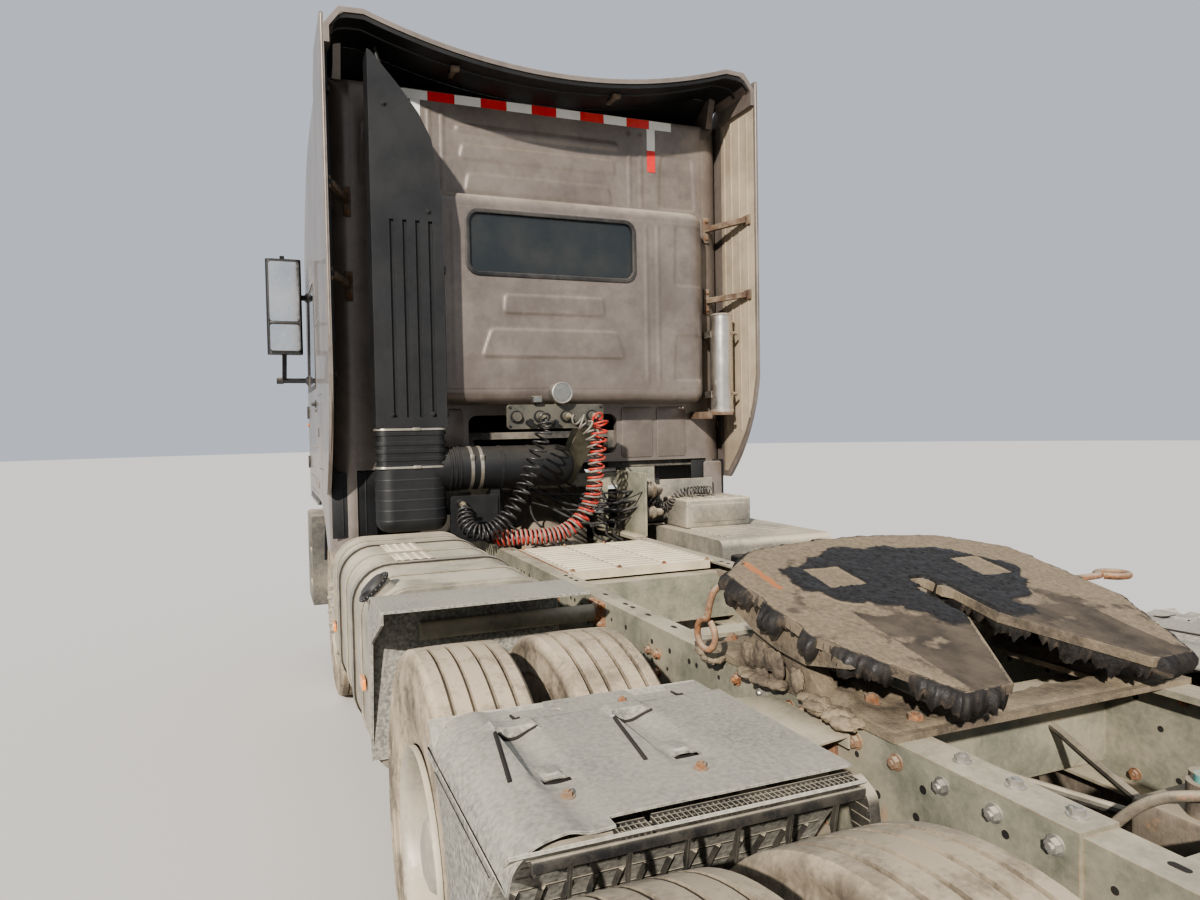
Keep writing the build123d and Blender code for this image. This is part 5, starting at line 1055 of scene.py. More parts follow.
# the meshed lip behind the top's rear edge, in two lengths round a notch
for yLow, yHigh, xNear in ((0.585, 0.985, -2.198), (1.0, 1.055, -2.204)):
    for i in range(4):
        addBox(mesh, (xNear - 0.009 * i - 0.0022, yLow, 1.029 - 0.003 * i), (xNear - 0.009 * i, yHigh,
            1.0375 - 0.003 * i))
    count = round((yHigh - yLow) / 0.0105)
    for i in range(count + 1):
        y = yLow + (yHigh - yLow) * i / count
        addFlank(mesh, (xNear - 0.031, xNear), y, 0.0012, (1.0225, 1.034))
addBox(mesh, (-2.243, 0.58, 1.004), (-2.234, 1.205, 1.0245), 0.003)
for y in (0.64, 0.735, 0.84, 0.935, 1.04, 1.14):
    addPrism(mesh, [(-2.241, 1.006), (-2.232, 1.006), (-2.218, 0.96), (-2.226, 0.93)], "y", y - 0.0025, y + 0.0025)
# the plastic end cap at the lip's inner end, rounded over the ribs
addPrism(mesh, softOutline([(-2.196, 1.036), (-2.25, 1.012), (-2.262, 0.93), (-2.226, 0.905), (-2.196, 0.96)], 0.018),
    "y", 0.56, 0.583, 0.004)
for i in range(4):
    addBox(mesh, (-2.262 + 0.004 * i, 0.5585, 0.925 + 0.02 * i), (-2.205, 0.5845, 0.93 + 0.02 * i), 0.001)
addMirrored(mesh)
makePiece("middleGuardRibs", mesh, "dustyBlack", sharp=30)

# each latch's groove along its front edge and outer edge as a strip of painted shade, a box of painted shade in its
# shadowed slot, short lines of painted shade at the tab steps, and the tongue raised over it
mesh = bmesh.new()
for (low, high), front in zip(guardSet["pockets"], (-1.782, -1.768)):
    run = [(front, low - 0.004 + (high - low + 0.01) * i / 4) for i in range(5)]
    run += [(front - 0.03 * i, high + 0.006 + 0.0045 * i) for i in range(1, 9)]
    addPipe(mesh, [(x, y, guardHeight(x, y) + 0.0005) for x, y in run], 0.0042, 2, 2)
    middle = (low + high) / 2
    addFlank(mesh, (guardSet["slotX"][0] - 0.002, guardSet["slotX"][1] + 0.006), middle, 0.028, (1.006, 1.036))
addPipe(mesh, [(x, 0.668, guardHeight(x, 0.668) + 0.0005) for x in (-1.655, -1.69, -1.712)], 0.003, 2, 2)
addPipe(mesh, [(x, 1.0645, guardHeight(x, 1.0645) + 0.0005) for x in (-1.645, -1.68, -1.712)], 0.003, 2, 2)
addMirrored(mesh)
makePiece("latchGrooves", mesh, "deepShade")
mesh = bmesh.new()
for low, high in guardSet["pockets"]:
    middle, edge = (low + high) / 2, guardSet["slotX"][1]
    base = guardHeight(edge + 0.09, middle)
    addPrism(mesh, [(edge + 0.07, base - 0.004), (edge - 0.004, base + 0.009), (edge - 0.004, base + 0.004),
        (edge + 0.07, base - 0.009)], "y", middle - 0.019, middle + 0.019, 0.002)
    for y in (middle - 0.046, middle + 0.046):
        addBall(mesh, (edge + 0.235, y, guardHeight(edge + 0.235, y)), 0.006, (1, 1, 0.5), 8)
addMirrored(mesh)
makePiece("latchTongues", mesh, "guardPlastic")

# latch bolts, the lip's bolt and their rust
mesh = bmesh.new()
for low, high in guardSet["pockets"]:
    x, y = -2.098, (low + high) / 2 + 0.008
    addBolt(mesh, (x, y, guardHeight(x, y) - 0.001), (0, 0, 1), 0.0105, 0.008)
addBolt(mesh, (-1.662, 0.8, guardHeight(-1.662, 0.8) - 0.001), (0, 0, 1), 0.008, 0.005)
addMirrored(mesh)
makePiece("middleGuardBolts", mesh, "rustyIron")
print("middle mudguards")

# Fifth wheel: the plate's outline in its own tilted plane, thick old grease, worn windows, throat and handle
plateSet = {"pivot": (-1.756, 0.0, 1.2), "tilt": 12.7, "rise": 0.06, "cell": 0.0065}
plateTurn = (Matrix.Translation(plateSet["pivot"]) @ Matrix.Rotation(-math.radians(plateSet["tilt"]), 4, "Y"))
# worn windows in the greasy band, as (along, across) limits
wornWindows = (((0.018, 0.165), (0.14, 0.272)), ((-0.008, -0.302), (0.118, -0.202)))


def insidePlate(along, across):
    # the plate's plan, tested with plain limits
    b = abs(across)
    if along > 0.3 + 0.04 * (1 - (b / 0.33) ** 2) and b <= 0.33:
        return False
    if b > 0.33 and (along > 0.3 - (b - 0.33) / 0.15 * 0.13 or b > 0.48 or along < -0.47 + (b - 0.33) / 0.15 * 0.28):
        return False
    if along < -0.47:
        return False
    if b < 0.045 and along < -0.03:
        return False
    if along < -0.2 and b < 0.045 + (-0.2 - along) / 0.27 * 0.16:
        return False
    return not (math.hypot(along, b) < 0.0256)


def patchNoise(place, size, depth=4):
    return noise.fractal(place * size, 0.7, 2.1, depth, noise_basis="PERLIN_ORIGINAL")


def windowShare(along, across):
    share = 0.0
    for low, high in wornWindows:
        inside = min(along - low[0], high[0] - along, across - low[1], high[1] - across)
        share = max(share, smoothShare((inside + 0.006) / 0.01))
    return share


def bandShare(along, across):
    # the dark band that the trailer's plate keeps greasy: a wide ring round the throat and down beside the slot
    place = Vector((along, across, 0.4))
    reach = math.hypot((along - 0.045) / 0.215, across / 0.365)
    ring = smoothShare((1.0 - reach + 0.16 * patchNoise(place, 7.0)) / 0.12)
    slot = (smoothShare((0.1 - abs(abs(across) - 0.06) + 0.03 * patchNoise(place, 9.0)) / 0.03)
        * smoothShare((0.08 - along) / 0.1))
    return max(ring, slot * smoothShare((along + 0.27) / 0.08)) * (1 - windowShare(along, across))


def greaseHeight(along, across):
    place = Vector((along, across, 0.0))
    band = bandShare(along, across)
    cells = noise.voronoi(Vector((along * 55 + patchNoise(place, 12.0), across * 55, 0.3)))[0]
    crack = smoothShare((cells[1] - cells[0]) / 0.3)
    thick = band * (0.005 + 0.0022 * patchNoise(place, 22.0) + 0.002 * patchNoise(place, 90.0) + 0.0015 * crack)
    thin = 0.0022 + 0.0012 * patchNoise(place, 8.0) + 0.0005 * patchNoise(place, 60.0)
    return max(0.0008, thin + thick)


mesh = bmesh.new()
tone = mesh.verts.layers.float_color.new("greaseTone")
cell = plateSet["cell"]
countA, countB = round(0.83 / cell), round(0.98 / cell)
verts = bmesh.ops.create_grid(mesh, x_segments=countA, y_segments=countB, size=0.5)["verts"]
for vert in verts:
    vert.co = Vector((-0.48 + (vert.co.x + 0.5) * 0.83, (vert.co.y) * 0.98, 0.0))
gone = [vert for vert in mesh.verts if not insidePlate(vert.co.x, vert.co.y)]
bmesh.ops.delete(mesh, geom=gone, context="VERTS")
rim = [vert for vert in mesh.verts if vert.is_boundary]
for i in range(4):
    bmesh.ops.smooth_vert(mesh, verts=rim, factor=0.5, use_axis_x=True, use_axis_y=True, use_axis_z=False)
bmesh.ops.smooth_vert(mesh, verts=mesh.verts, factor=0.5, use_axis_x=True, use_axis_y=True, use_axis_z=False)
for vert in mesh.verts:
    along, across = vert.co.x, vert.co.y
    place = Vector((along, across, 0.0))
    dark, worn = bandShare(along, across), windowShare(along, across)
    pale = smoothShare(0.5 + 0.9 * patchNoise(place, 6.0) + 1.6 * (along + 0.02))
    if abs(across) > 0.31 or along > 0.22:
        pale = max(pale, smoothShare(0.75 + 0.8 * patchNoise(place, 11.0)))
    streak = smoothShare((0.02 - abs(across - 0.395 + 0.03 * (along - 0.2))) / 0.015) * smoothShare((along - 0.02) /
        0.05)
    rusty = streak * smoothShare(0.6 + 1.6 * patchNoise(place, 14.0)) * smoothShare((0.31 - along) / 0.03)
    vert[tone] = (dark, max(worn, pale * (1 - dark)), rusty, 1.0)
    vert.co.z = plateSet["rise"] + greaseHeight(along, across)
for vert in rim:
    vert.co.z = plateSet["rise"] + 0.002 + 0.002 * noise.noise(vert.co * 30)
# the rim hangs over as a ragged roll of old grease
edges = [edge for edge in mesh.edges if edge.is_boundary]
for drop, push in ((-0.002, 0.01), (-0.01, 0.01), (-0.016, 0.004), (-0.016, -0.006), (-0.01, -0.016)):
    made = bmesh.ops.extrude_edge_only(mesh, edges=edges)["geom"]
    ring = vertsOf(made)
    edges = [item for item in made if isinstance(item, bmesh.types.BMEdge) and item.is_boundary]
    for vert in ring:
        rag = patchNoise(vert.co, 20.0) + 0.5 * patchNoise(vert.co, 70.0)
        slotSide = abs(vert.co.y) < 0.06 + max(0.0, -0.2 - vert.co.x) * 0.62 and vert.co.x < 0.05
        out = Vector((0, -math.copysign(1, vert.co.y), 0)) if slotSide else Vector((vert.co.x * 0.9, vert.co.y,
            0)).normalized()
        vert.co += out * push * (0.25 if slotSide else 0.9 + 1.2 * rag) + Vector((0, 0, drop * (1.0 + 0.9 * rag)))
        vert[tone] = (0.55 + 0.4 * rag, 0.12 * smoothShare(rag + 0.3), 0.0, 1.0)
bmesh.ops.transform(mesh, matrix=plateTurn, verts=mesh.verts)
makePiece("plateGrease", mesh, "plateGrease", "fifth_wheel", sharp=60)


def addCrust(mesh, places, size):
    # lumps of caked dirt: each a ball, dented and spread by noise
    for place, scale in places:
        verts = bmesh.ops.create_icosphere(mesh, subdivisions=3, radius=1.0)["verts"]
        for vert in verts:
            bump = 1.0 + 0.28 * patchNoise(vert.co + Vector((*place[:2], 0.0)), 1.8) + 0.12 * patchNoise(vert.co, 6.0)
            vert.co = Vector((vert.co.x * scale[0], vert.co.y * scale[1],
                vert.co.z * scale[2])) * bump * size + Vector(place)


# caked dirt on the mount: on the base plate, round the pedestals' feet and over the rails' flanges
mesh = bmesh.new()
mound = {"x": (-2.148, -1.364), "y": (-0.436, 0.436), "z": 1.0625, "cell": 0.011}
countX, countY = (round((mound[key][1] - mound[key][0]) / mound["cell"]) for key in ("x", "y"))
for vert, x, y in gridPlaces(mesh, mound["x"], mound["y"], (countX, countY)):
    place = Vector((x, y, 0.7))
    feet = smoothShare((0.11 - abs(abs(y) - 0.375)) / 0.07) * smoothShare((0.26 - abs(x - plateSet["pivot"][0])) /
        0.12)
    height = 0.004 + 0.007 * patchNoise(place, 9.0) + 0.003 * patchNoise(place,
        40.0) + feet * (0.02 + 0.016 * patchNoise(place, 16.0))
    edge = min(x - mound["x"][0], mound["x"][1] - x, y - mound["y"][0], mound["y"][1] - y)
    vert.co = Vector((x, y,
        mound["z"] + max(0.0006, height) * smoothShare(edge / 0.03) - (0.006 if edge < 1e-4 else 0.0)))
bmesh.ops.delete(mesh, geom=[face for face in mesh.faces if abs(face.calc_center_median().x - plateSet["pivot"][0]) <
    0.3 and abs(face.calc_center_median().y) < 0.25], context="FACES")
makePiece("mountDirt", mesh, "cakedDirt", sharp=60)
mesh = bmesh.new()
random.seed(11)
lumps = []
for side in (1, -1):
    for i in range(26):
        x = random.uniform(-2.06, -1.46)
        lumps.append(((x, side * random.uniform(0.44, 0.47), 1.052 + random.uniform(0.0, 0.012)),
            (random.uniform(0.8, 1.6), random.uniform(0.7, 1.0), random.uniform(0.35, 0.6))))
    for i in range(10):
        lumps.append(((random.uniform(-1.86, -1.65), side * random.uniform(0.446, 0.452), random.uniform(1.06, 1.12)),
            (random.uniform(0.9, 1.3), 0.35, random.uniform(0.8, 1.2))))
addCrust(mesh, lumps, 0.026)
makePiece("mountCrust", mesh, "cakedDirt", sharp=60)

# pivot caps on the pedestals, the release handle's ring on each side and the mount's bolts
mesh = bmesh.new()
for side in (1, -1):
    addLathe(mesh, [(side * 0.4415, 0.0), (side * 0.4415, 0.052), (side * 0.452, 0.048), (side * 0.455, 0.034),
        (side * 0.4575, 0.03), (side * 0.4575, 0.0)], plateSet["pivot"], 32, "y")
makePiece("pivotCaps", mesh, "cakedDirt")


mesh = bmesh.new()
local = [(0.2, 0.33, 0.035), (0.19, 0.44, 0.03), (0.185, 0.5, 0.02), (0.18, 0.515, -0.02), (0.175, 0.52, -0.06)]
hook = [plateTurn @ Vector(p) for p in local]
ringCentre = hook[-1] + Vector((0.0, 0.004, -0.04))
addPipe(mesh, [tuple(p) for p in hook] + [
    tuple(ringCentre + Vector((0.04 * math.sin(math.radians(a)), 0.004 * math.sin(math.radians(a)),
        0.04 * math.cos(math.radians(a))))) for a in range(0, 351, 30)], 0.0085, 6, 4)
handle = [plateTurn @ Vector(p) for p in [(-0.02, -0.33, 0.03), (-0.02, -0.5, 0.03), (-0.02, -0.64, 0.03)]]
ringCentre = handle[-1] + Vector((0.0, -0.045, 0.0))
addPipe(mesh, [tuple(p) for p in handle] + [
    tuple(ringCentre + Vector((0.04 * math.sin(math.radians(a)), 0.045 * math.cos(math.radians(a)), 0.0)))
    for a in range(20, 351, 30)], 0.0095, 6, 4)
makePiece("releaseHandles", mesh, "rustyIron", "fifth_wheel")
mesh = bmesh.new()
for x in (-2.11, -1.98, -1.53, -1.4):
    for side in (1, -1):
        addBolt(mesh, (x, side * 0.345, 1.0625), (0, 0, 1), 0.016, 0.014)
makePiece("mountBolts", mesh, "rustyIron")
print("fifth wheel")


# Fuel tank: end caps' rims, straps with rubber, filler, step treads and markers; boxes' lids and latches
tankSet = {"x": (-0.545, 0.94), "y": (0.56, 1.24), "z": (0.48, 1.13), "corner": 0.15, "straps": (0.01, 0.59)}


def tankOutline(grow, steps=8):
    (y0, y1), (z0, z1) = tankSet["y"], tankSet["z"]
    return roundedOutline((y0 - grow, z0 - grow), (y1 + grow, z1 + grow), tankSet["corner"] + grow, steps)


mesh = bmesh.new()
for x in (tankSet["x"][0] + 0.012, tankSet["x"][1] - 0.026):
    addRing(mesh, tankOutline(0.0025), tankOutline(-0.01), "x", x, x + 0.014, 0.002)
for x in (-0.27, 0.3, 0.76):
    addRing(mesh, tankOutline(0.0022), tankOutline(-0.004), "x", x, x + 0.02, 0.002)
makePiece("tankSeams", mesh, "tankMetal")
mesh = bmesh.new()
for x in tankSet["straps"]:
    addRing(mesh, tankOutline(0.0042), tankOutline(0.0005), "x", x - 0.036, x + 0.036, 0.001)
makePiece("tankStrapRubber", mesh, "rubberTrim")
mesh = bmesh.new()
for x in tankSet["straps"]:
    addRing(mesh, tankOutline(0.0065), tankOutline(0.0035), "x", x - 0.024, x + 0.024, 0.001)
    addBox(mesh, (x - 0.02, 1.244, 0.905 - 0.03), (x + 0.02, 1.247, 0.905 + 0.03), 0.002)
makePiece("tankStraps", mesh, "boxMetal")

# filler neck and cap on the tank's shoulder
mesh = bmesh.new()
fillerPlace, fillerAim = Vector((-0.4, 1.185, 1.098)), Vector((0, 0.7, 0.72)).normalized()
addRod(mesh, fillerPlace - fillerAim * 0.035, fillerPlace + fillerAim * 0.022, 0.056, 40)
makePiece("fillerNeck", mesh, "tankMetal")
mesh = bmesh.new()
addRod(mesh, fillerPlace + fillerAim * 0.02, fillerPlace + fillerAim * 0.034, 0.064, 40)
addRod(mesh, fillerPlace + fillerAim * 0.034, fillerPlace + fillerAim * 0.044, 0.052, 40, 0.046)
turn = fillerAim.to_track_quat("Z", "Y").to_matrix().to_4x4()
for i in range(20):
    angle = math.tau * i / 20
    spot = fillerPlace + fillerAim * 0.027 + turn.to_3x3() @ Vector((0.0635 * math.cos(angle),
        0.0635 * math.sin(angle), 0))
    addBall(mesh, spot, 0.006, segments=8)
makePiece("fillerCap", mesh, "blackPlasticAndShade")

# orange side markers on the tank's side
mesh = bmesh.new()
for side in (1, -1):
    for x, z in ((-0.36, 0.77), (0.88, 0.7)):
        face = 1.2405 if side > 0 else 1.2385
        addPlate(mesh, (x - 0.045, z - 0.02), (x + 0.045, z + 0.02), 0.008, "y", side * face, side * (face + 0.012),
            0.004)
makePiece("sideMarkers", mesh, "lampAmber")

# step treads over the tank's outer shoulder
mesh = bmesh.new()
for x in (0.12, 0.42):
    addBox(mesh, (x - 0.11, 0.9, 1.1315), (x + 0.11, 1.06, 1.1365), 0.002)
    for i in range(6):
        for j in range(4):
            addRod(mesh, (x - 0.0875 + 0.035 * i, 0.925 + 0.036 * j, 1.1365), (x - 0.0875 + 0.035 * i,
                0.925 + 0.036 * j, 1.1395), 0.01, 10, 0.007)
makePiece("tankTreads", mesh, "deckMetal")

# silencer and battery boxes on the right: lid, ribs, latches and outlet
mesh = bmesh.new()
(back, front), lid = (-0.52, 0.12), 1.02
addBox(mesh, (back - 0.004, -1.2436, lid - 0.1), (front + 0.004, -0.57, lid + 0.005), 0.012, 3)
for y in (-0.7, -0.86, -1.02, -1.18):
    addPlate(mesh, (back + 0.05, y - 0.018), (front - 0.05, y + 0.018), 0.016, "z", lid + 0.0045, lid + 0.0105, 0.004)
for x in (back + 0.14, front - 0.14):
    addBox(mesh, (x - 0.02, -1.25, lid - 0.19), (x + 0.02, -1.242, lid - 0.07), 0.003)
    addBox(mesh, (x - 0.012, -1.256, lid - 0.12), (x + 0.012, -1.248, lid - 0.075), 0.003)
for z in (0.58, 0.66, 0.74):
    addPlate(mesh, (back + 0.06, z - 0.015), (front - 0.06, z + 0.015), 0.013, "y", -1.2395, -1.245, 0.004)
makePiece("batteryLid", mesh, "blackPlasticAndShade")
mesh = bmesh.new()
for z in (0.52, 0.6, 0.68, 0.76, 0.84, 0.92):
    addPlate(mesh, (0.26, z), (0.99, z + 0.034), 0.016, "y", -1.2395, -1.2455, 0.004)
for x in (0.25, 0.99):
    addBox(mesh, (x - 0.016, -1.243, 0.43), (x + 0.016, -0.6, 0.434), 0.001)
    addBox(mesh, (x - 0.016, -1.2435, 0.425), (x + 0.016, -1.24, 1.07), 0.001)
for i in range(11):
    addPlate(mesh, (0.3 + 0.062 * i, -1.15), (0.335 + 0.062 * i, -0.66), 0.012, "z", 1.0795, 1.085, 0.003)
makePiece("silencerRibs", mesh, "boxMetal")
mesh = bmesh.new()
addPipe(mesh, [(0.3, -0.7, 0.44), (0.3, -0.7, 0.4), (0.24, -0.72, 0.37), (0.12, -0.8, 0.36), (0.02, -0.95, 0.36)],
    0.052, 8, 5)
makePiece("exhaustOutlet", mesh, "rustyIron")
print("tank and boxes")

# Deck plate: ridged tread with raised bars and edge bolts
deckSet = {"x": (-0.088, 0.658), "y": (-0.353, 0.353), "top": 1.0463, "rows": 13}


def deckRow(i):
    return deckSet["x"][0] + 0.035 + (deckSet["x"][1] - deckSet["x"][0] - 0.07) * i / (deckSet["rows"] - 1)


mesh = bmesh.new()
for i in range(deckSet["rows"]):
    x = deckRow(i)
    for j in range(3):
        y0 = deckSet["y"][0] + 0.022 + 0.224 * j
        addPrism(mesh, roundedOutline((x - 0.017, y0), (x + 0.017, y0 + 0.214), 0.012, 3), "z",
            deckSet["top"] - 0.0002, deckSet["top"] + 0.0048, 0.0035, 1)
makePiece("deckRidges", mesh, "deckMetal", sharp=25)
# discs of painted shade between the ridges, reading as the tread's holes
mesh = bmesh.new()
for i in range(deckSet["rows"] - 1):
    x = deckRow(i + 0.5)
    for j in range(22):
        y = deckSet["y"][0] + 0.03 + 0.0308 * j
        addRod(mesh, (x, y, deckSet["top"] - 0.0002), (x, y, deckSet["top"] + 0.0008), 0.0065, 8)
makePiece("deckHoles", mesh, "deepShade")
mesh = bmesh.new()
for x in (-0.07, 0.64):
    for y in (-0.33, -0.11, 0.11, 0.33):
        addBolt(mesh, (x, y, deckSet["top"]), (0, 0, 1), 0.0085, 0.005)
for y in (-0.3545, 0.3545):
    addFlank(mesh, (deckSet["x"][0], deckSet["x"][1]), y, 0.001, (1.03, 1.046))
makePiece("deckBolts", mesh, "rustyIron")
print("deck")

# Rails: web holes, flange slots, bolt rows, flitch edges and the tubes' flanges
railSet = {"web": 0.425, "flitch": 0.433, "top": 1.04, "flitchTop": 1.048, "x": (-3.39, 1.15),
    "flitchX": (-2.545, -1.5), "inner": 0.417, "holeStep": 0.062, "boltStep": 0.1165}
random.seed(7)


def addDisc(mesh, place, direction, radius, height=0.0006, segments=14, stretch=1.0):
    # a flat disc of painted shade that reads as a drilled hole; stretched along the vehicle it reads as a slot
    place, direction = Vector(place), Vector(direction).normalized()
    verts = addRod(mesh, place - direction * 0.0004, place + direction * height, radius, segments)
    if stretch != 1.0:
        for vert in verts:
            vert.co.x += math.copysign(radius * (stretch - 1), vert.co.x - place.x)


holes, bolts, brightBolts = bmesh.new(), bmesh.new(), bmesh.new()
x = railSet["x"][0] + 0.05
while x < railSet["x"][1]:
    inFlitch = railSet["flitchX"][0] - 0.01 < x < railSet["flitchX"][1] + 0.01
    face = railSet["flitch"] if inFlitch else railSet["web"]
    for z in (0.985, 0.925, 0.87, 0.815):
        if random.random() < (0.62 if z > 0.9 else 0.35):
            shift = random.choice((0.0, 0.0, 0.018))
            for side in (1, -1):
                addDisc(holes, (x + shift, side * face, z), (0, side, 0), random.choice((0.0075, 0.0085, 0.0065)))
                addDisc(holes, (x + shift, side * railSet["inner"], z), (0, -side, 0), 0.0075)
    if not inFlitch and random.random() < 0.45 and not -0.09 < x < 0.66:
        for side in (1, -1):
            addDisc(holes, (x, side * 0.378, railSet["top"]), (0, 0, 1), 0.0075, stretch=2.2)
    x += railSet["holeStep"]
x = railSet["flitchX"][0] + 0.04
while x < railSet["flitchX"][1]:
    for side in (1, -1):
        target = brightBolts if random.random() < 0.35 else bolts
        for z in (1.012, 0.792):
            addBolt(target, (x, side * railSet["flitch"], z), (0, side, 0), 0.0125, 0.011)
            addBolt(target, (x, side * railSet["inner"], z), (0, -side, 0), 0.0115, 0.009)
        if not -2.17 < x < -1.34:
            addBolt(target, (x, side * 0.385, railSet["flitchTop"]), (0, 0, 1), 0.0125, 0.01)
    x += railSet["boltStep"]
for crossX in (-2.64, -1.915, -1.06, -0.12, 0.52):
    for side in (1, -1):
        face = railSet["flitch"] if railSet["flitchX"][0] < crossX < railSet["flitchX"][1] else railSet["web"]
        for dx in (-0.03, 0.03):
            for z in (0.955, 0.9, 0.845):
                addBolt(bolts, (crossX + dx, side * face, z), (0, side, 0), 0.0125, 0.011)
for side in (1, -1):
    for z in (0.84, 0.9, 0.96):
        addBolt(bolts, (-3.36, side * railSet["web"], z), (0, side, 0), 0.013, 0.011)
    for dy in (0.04, 0.1):
        for z in (0.8, 1.0):
            addBolt(bolts, (-3.4, side * (0.3 + dy), z), (-1, 0, 0), 0.012, 0.01)
makePiece("railHoles", holes, "deepShade")
makePiece("railBolts", bolts, "rustyIron")
makePiece("railBrightBolts", brightBolts, "brightMetal")

# the flanges that carry the mudguard tubes
mesh = bmesh.new()
tubeZ, tubePlaces = 0.9897, ((-0.5983, railSet["web"]), (-1.915, railSet["flitch"]), (-3.2317, railSet["web"]))
for side in (1, -1):
    for x, face in tubePlaces:
        addPlate(mesh, (x - 0.062, tubeZ - 0.05), (x + 0.062, tubeZ + 0.046), 0.014, "y", side * (face + 0.0003),
            side * (face + 0.011), 0.002)
        addLathe(mesh, [(side * (face + 0.01), 0.0305), (side * (face + 0.01), 0.04), (side * (face + 0.018), 0.036),
            (side * (face + 0.026), 0.0308)], (x, 0, tubeZ), 28, "y")
makePiece("tubeFlanges", mesh, "rustyIron")
mesh = bmesh.new()
for side in (1, -1):
    for x, face in tubePlaces:
        for dx in (-0.047, 0.047):
            for dz in (-0.036, 0.032):
                addBolt(mesh, (x + dx, side * (face + 0.011), tubeZ + dz), (0, side, 0), 0.01, 0.008)
makePiece("flangeBolts", mesh, "rustyIron")

# two bent tubes beside the left rail, and the folded bracket between the rail and the middle mudguard
mesh = bmesh.new()
addPipe(mesh, [(-1.62, 0.64, 0.6), (-1.64, 0.64, 0.8), (-1.66, 0.64, 0.95), (-1.7, 0.63, 1.005), (-1.8, 0.61, 1.01),
    (-1.9, 0.575, 1.0)], 0.034, 10, 6)
addPipe(mesh, [(-1.94, 0.452, 0.93), (-1.94, 0.5, 0.935), (-1.94, 0.56, 0.95), (-1.935, 0.6, 0.97)], 0.03, 10, 6)
makePiece("bentSupportTube", mesh, "framePaint")
mesh = bmesh.new()
addPrism(mesh, [(-2.04, 0.452), (-1.76, 0.452), (-1.74, 0.56), (-2.06, 0.56)], "z", 1.025, 1.03, 0.002)
addPrism(mesh, [(-2.04, 1.0), (-1.76, 1.0), (-1.76, 1.0295), (-2.04, 1.0295)], "y", 0.452, 0.457, 0.001)
addPrism(mesh, [(-2.06, 0.985), (-1.74, 0.985), (-1.74, 1.0295), (-2.06, 1.0295)], "y", 0.556, 0.561, 0.001)
makePiece("foldedGuardBracket", mesh, "framePaint")
print("rails")

# Between the rails behind the coupling: valve block, brake chambers, pipes and a ribbed hose
mesh = bmesh.new()
addBox(mesh, (-2.56, -0.15, 0.86), (-2.36, 0.06, 0.96), 0.01)
addBox(mesh, (-2.52, -0.12, 0.96), (-2.42, -0.02, 1.01), 0.008)
addRod(mesh, (-2.47, 0.01, 0.96), (-2.47, 0.01, 1.02), 0.034, 24)
addRod(mesh, (-2.4, -0.09, 0.96), (-2.4, -0.09, 0.995), 0.024, 20)
for y in (-0.13, -0.05, 0.03):
    addRod(mesh, (-2.59, y, 0.9), (-2.56, y, 0.9), 0.012, 12)
addPipe(mesh, [(-2.34, 0.14, 0.86), (-2.4, 0.12, 0.98), (-2.52, 0.06, 1.03), (-2.62, -0.06, 1.02)], 0.01, 10, 4)
makePiece("valveBlock", mesh, "runningGear")
mesh = bmesh.new()
for side in (1, -1):
    for x in (-0.99, -2.36):
        centre = (x, side * 0.3, 0.64)
        addLathe(mesh, [(-0.085, 0.0), (-0.085, 0.06), (-0.07, 0.078), (-0.006, 0.082), (-0.004, 0.09), (0.004, 0.09),
            (0.006, 0.082), (0.06, 0.078), (0.078, 0.06), (0.08, 0.0)], centre, 36, "x")
        addRod(mesh, (x - 0.14, side * 0.3, 0.64), (x - 0.085, side * 0.3, 0.64), 0.014, 14)
makePiece("brakeChambers", mesh, "runningGear")
mesh = bmesh.new()
for points, radius in (([(-2.56, -0.13, 0.9), (-2.75, -0.16, 0.88), (-2.95, -0.3, 0.9), (-3.15, -0.36, 0.93),
        (-3.36, -0.37, 0.94)], 0.009), ([(-2.56, -0.05, 0.9), (-2.78, -0.02, 0.87), (-3.0, 0.06, 0.88),
        (-3.22, 0.12, 0.9), (-3.37, 0.12, 0.92)], 0.009), ([(-2.56, 0.03, 0.9), (-2.7, 0.14, 0.9), (-2.88, 0.3, 0.93),
        (-3.1, 0.37, 0.95), (-3.36, 0.385, 0.95)], 0.008), ([(-2.36, 0.02, 0.91), (-2.2, 0.1, 0.92),
        (-1.95, 0.2, 0.93), (-1.6, 0.24, 0.93), (-1.2, 0.27, 0.94), (-0.7, 0.3, 0.95), (-0.1, 0.31, 0.95),
        (0.6, 0.31, 0.95), (1.3, 0.3, 0.95)], 0.011), ([(-2.36, -0.03, 0.9), (-2.18, -0.12, 0.9), (-1.9, -0.26, 0.92),
        (-1.5, -0.33, 0.94), (-1.0, -0.35, 0.95), (-0.3, -0.35, 0.95), (0.6, -0.35, 0.95), (1.3, -0.34, 0.95)],
        0.011)):
    addPipe(mesh, points, radius, 10, 3)
makePiece("airPipes", mesh, "dustyBlack")
mesh = bmesh.new()
addPipe(mesh, [(-2.62, 0.22, 0.98), (-2.72, 0.2, 1.0), (-2.86, 0.12, 0.99), (-3.02, 0.0, 0.97), (-3.16, -0.16, 0.95),
    (-3.3, -0.24, 0.92)], 0.017, 10, 4)
makePiece("rustyPipe", mesh, "rustyIron")
mesh = bmesh.new()
ribbed = routeLine([(-2.6, 0.3, 0.86), (-2.72, 0.32, 0.95), (-2.88, 0.28, 0.99), (-3.04, 0.2, 0.96),
    (-3.12, 0.12, 0.88)], 40)
for i, (first, second) in enumerate(zip(ribbed, ribbed[1:])):
    if i % 2 == 0:
        addRod(mesh, first, second + (second - first) * 0.3, 0.026, 14, 0.026)
    else:
        addRod(mesh, first, second, 0.021, 14)
makePiece("ribbedHose", mesh, "dustyBlack")
mesh = bmesh.new()
addRod(mesh, (-2.47, 0.01, 1.018), (-2.47, 0.01, 1.034), 0.022, 20)
makePiece("turquoiseCap", mesh, "turquoise")
print("frame fittings")
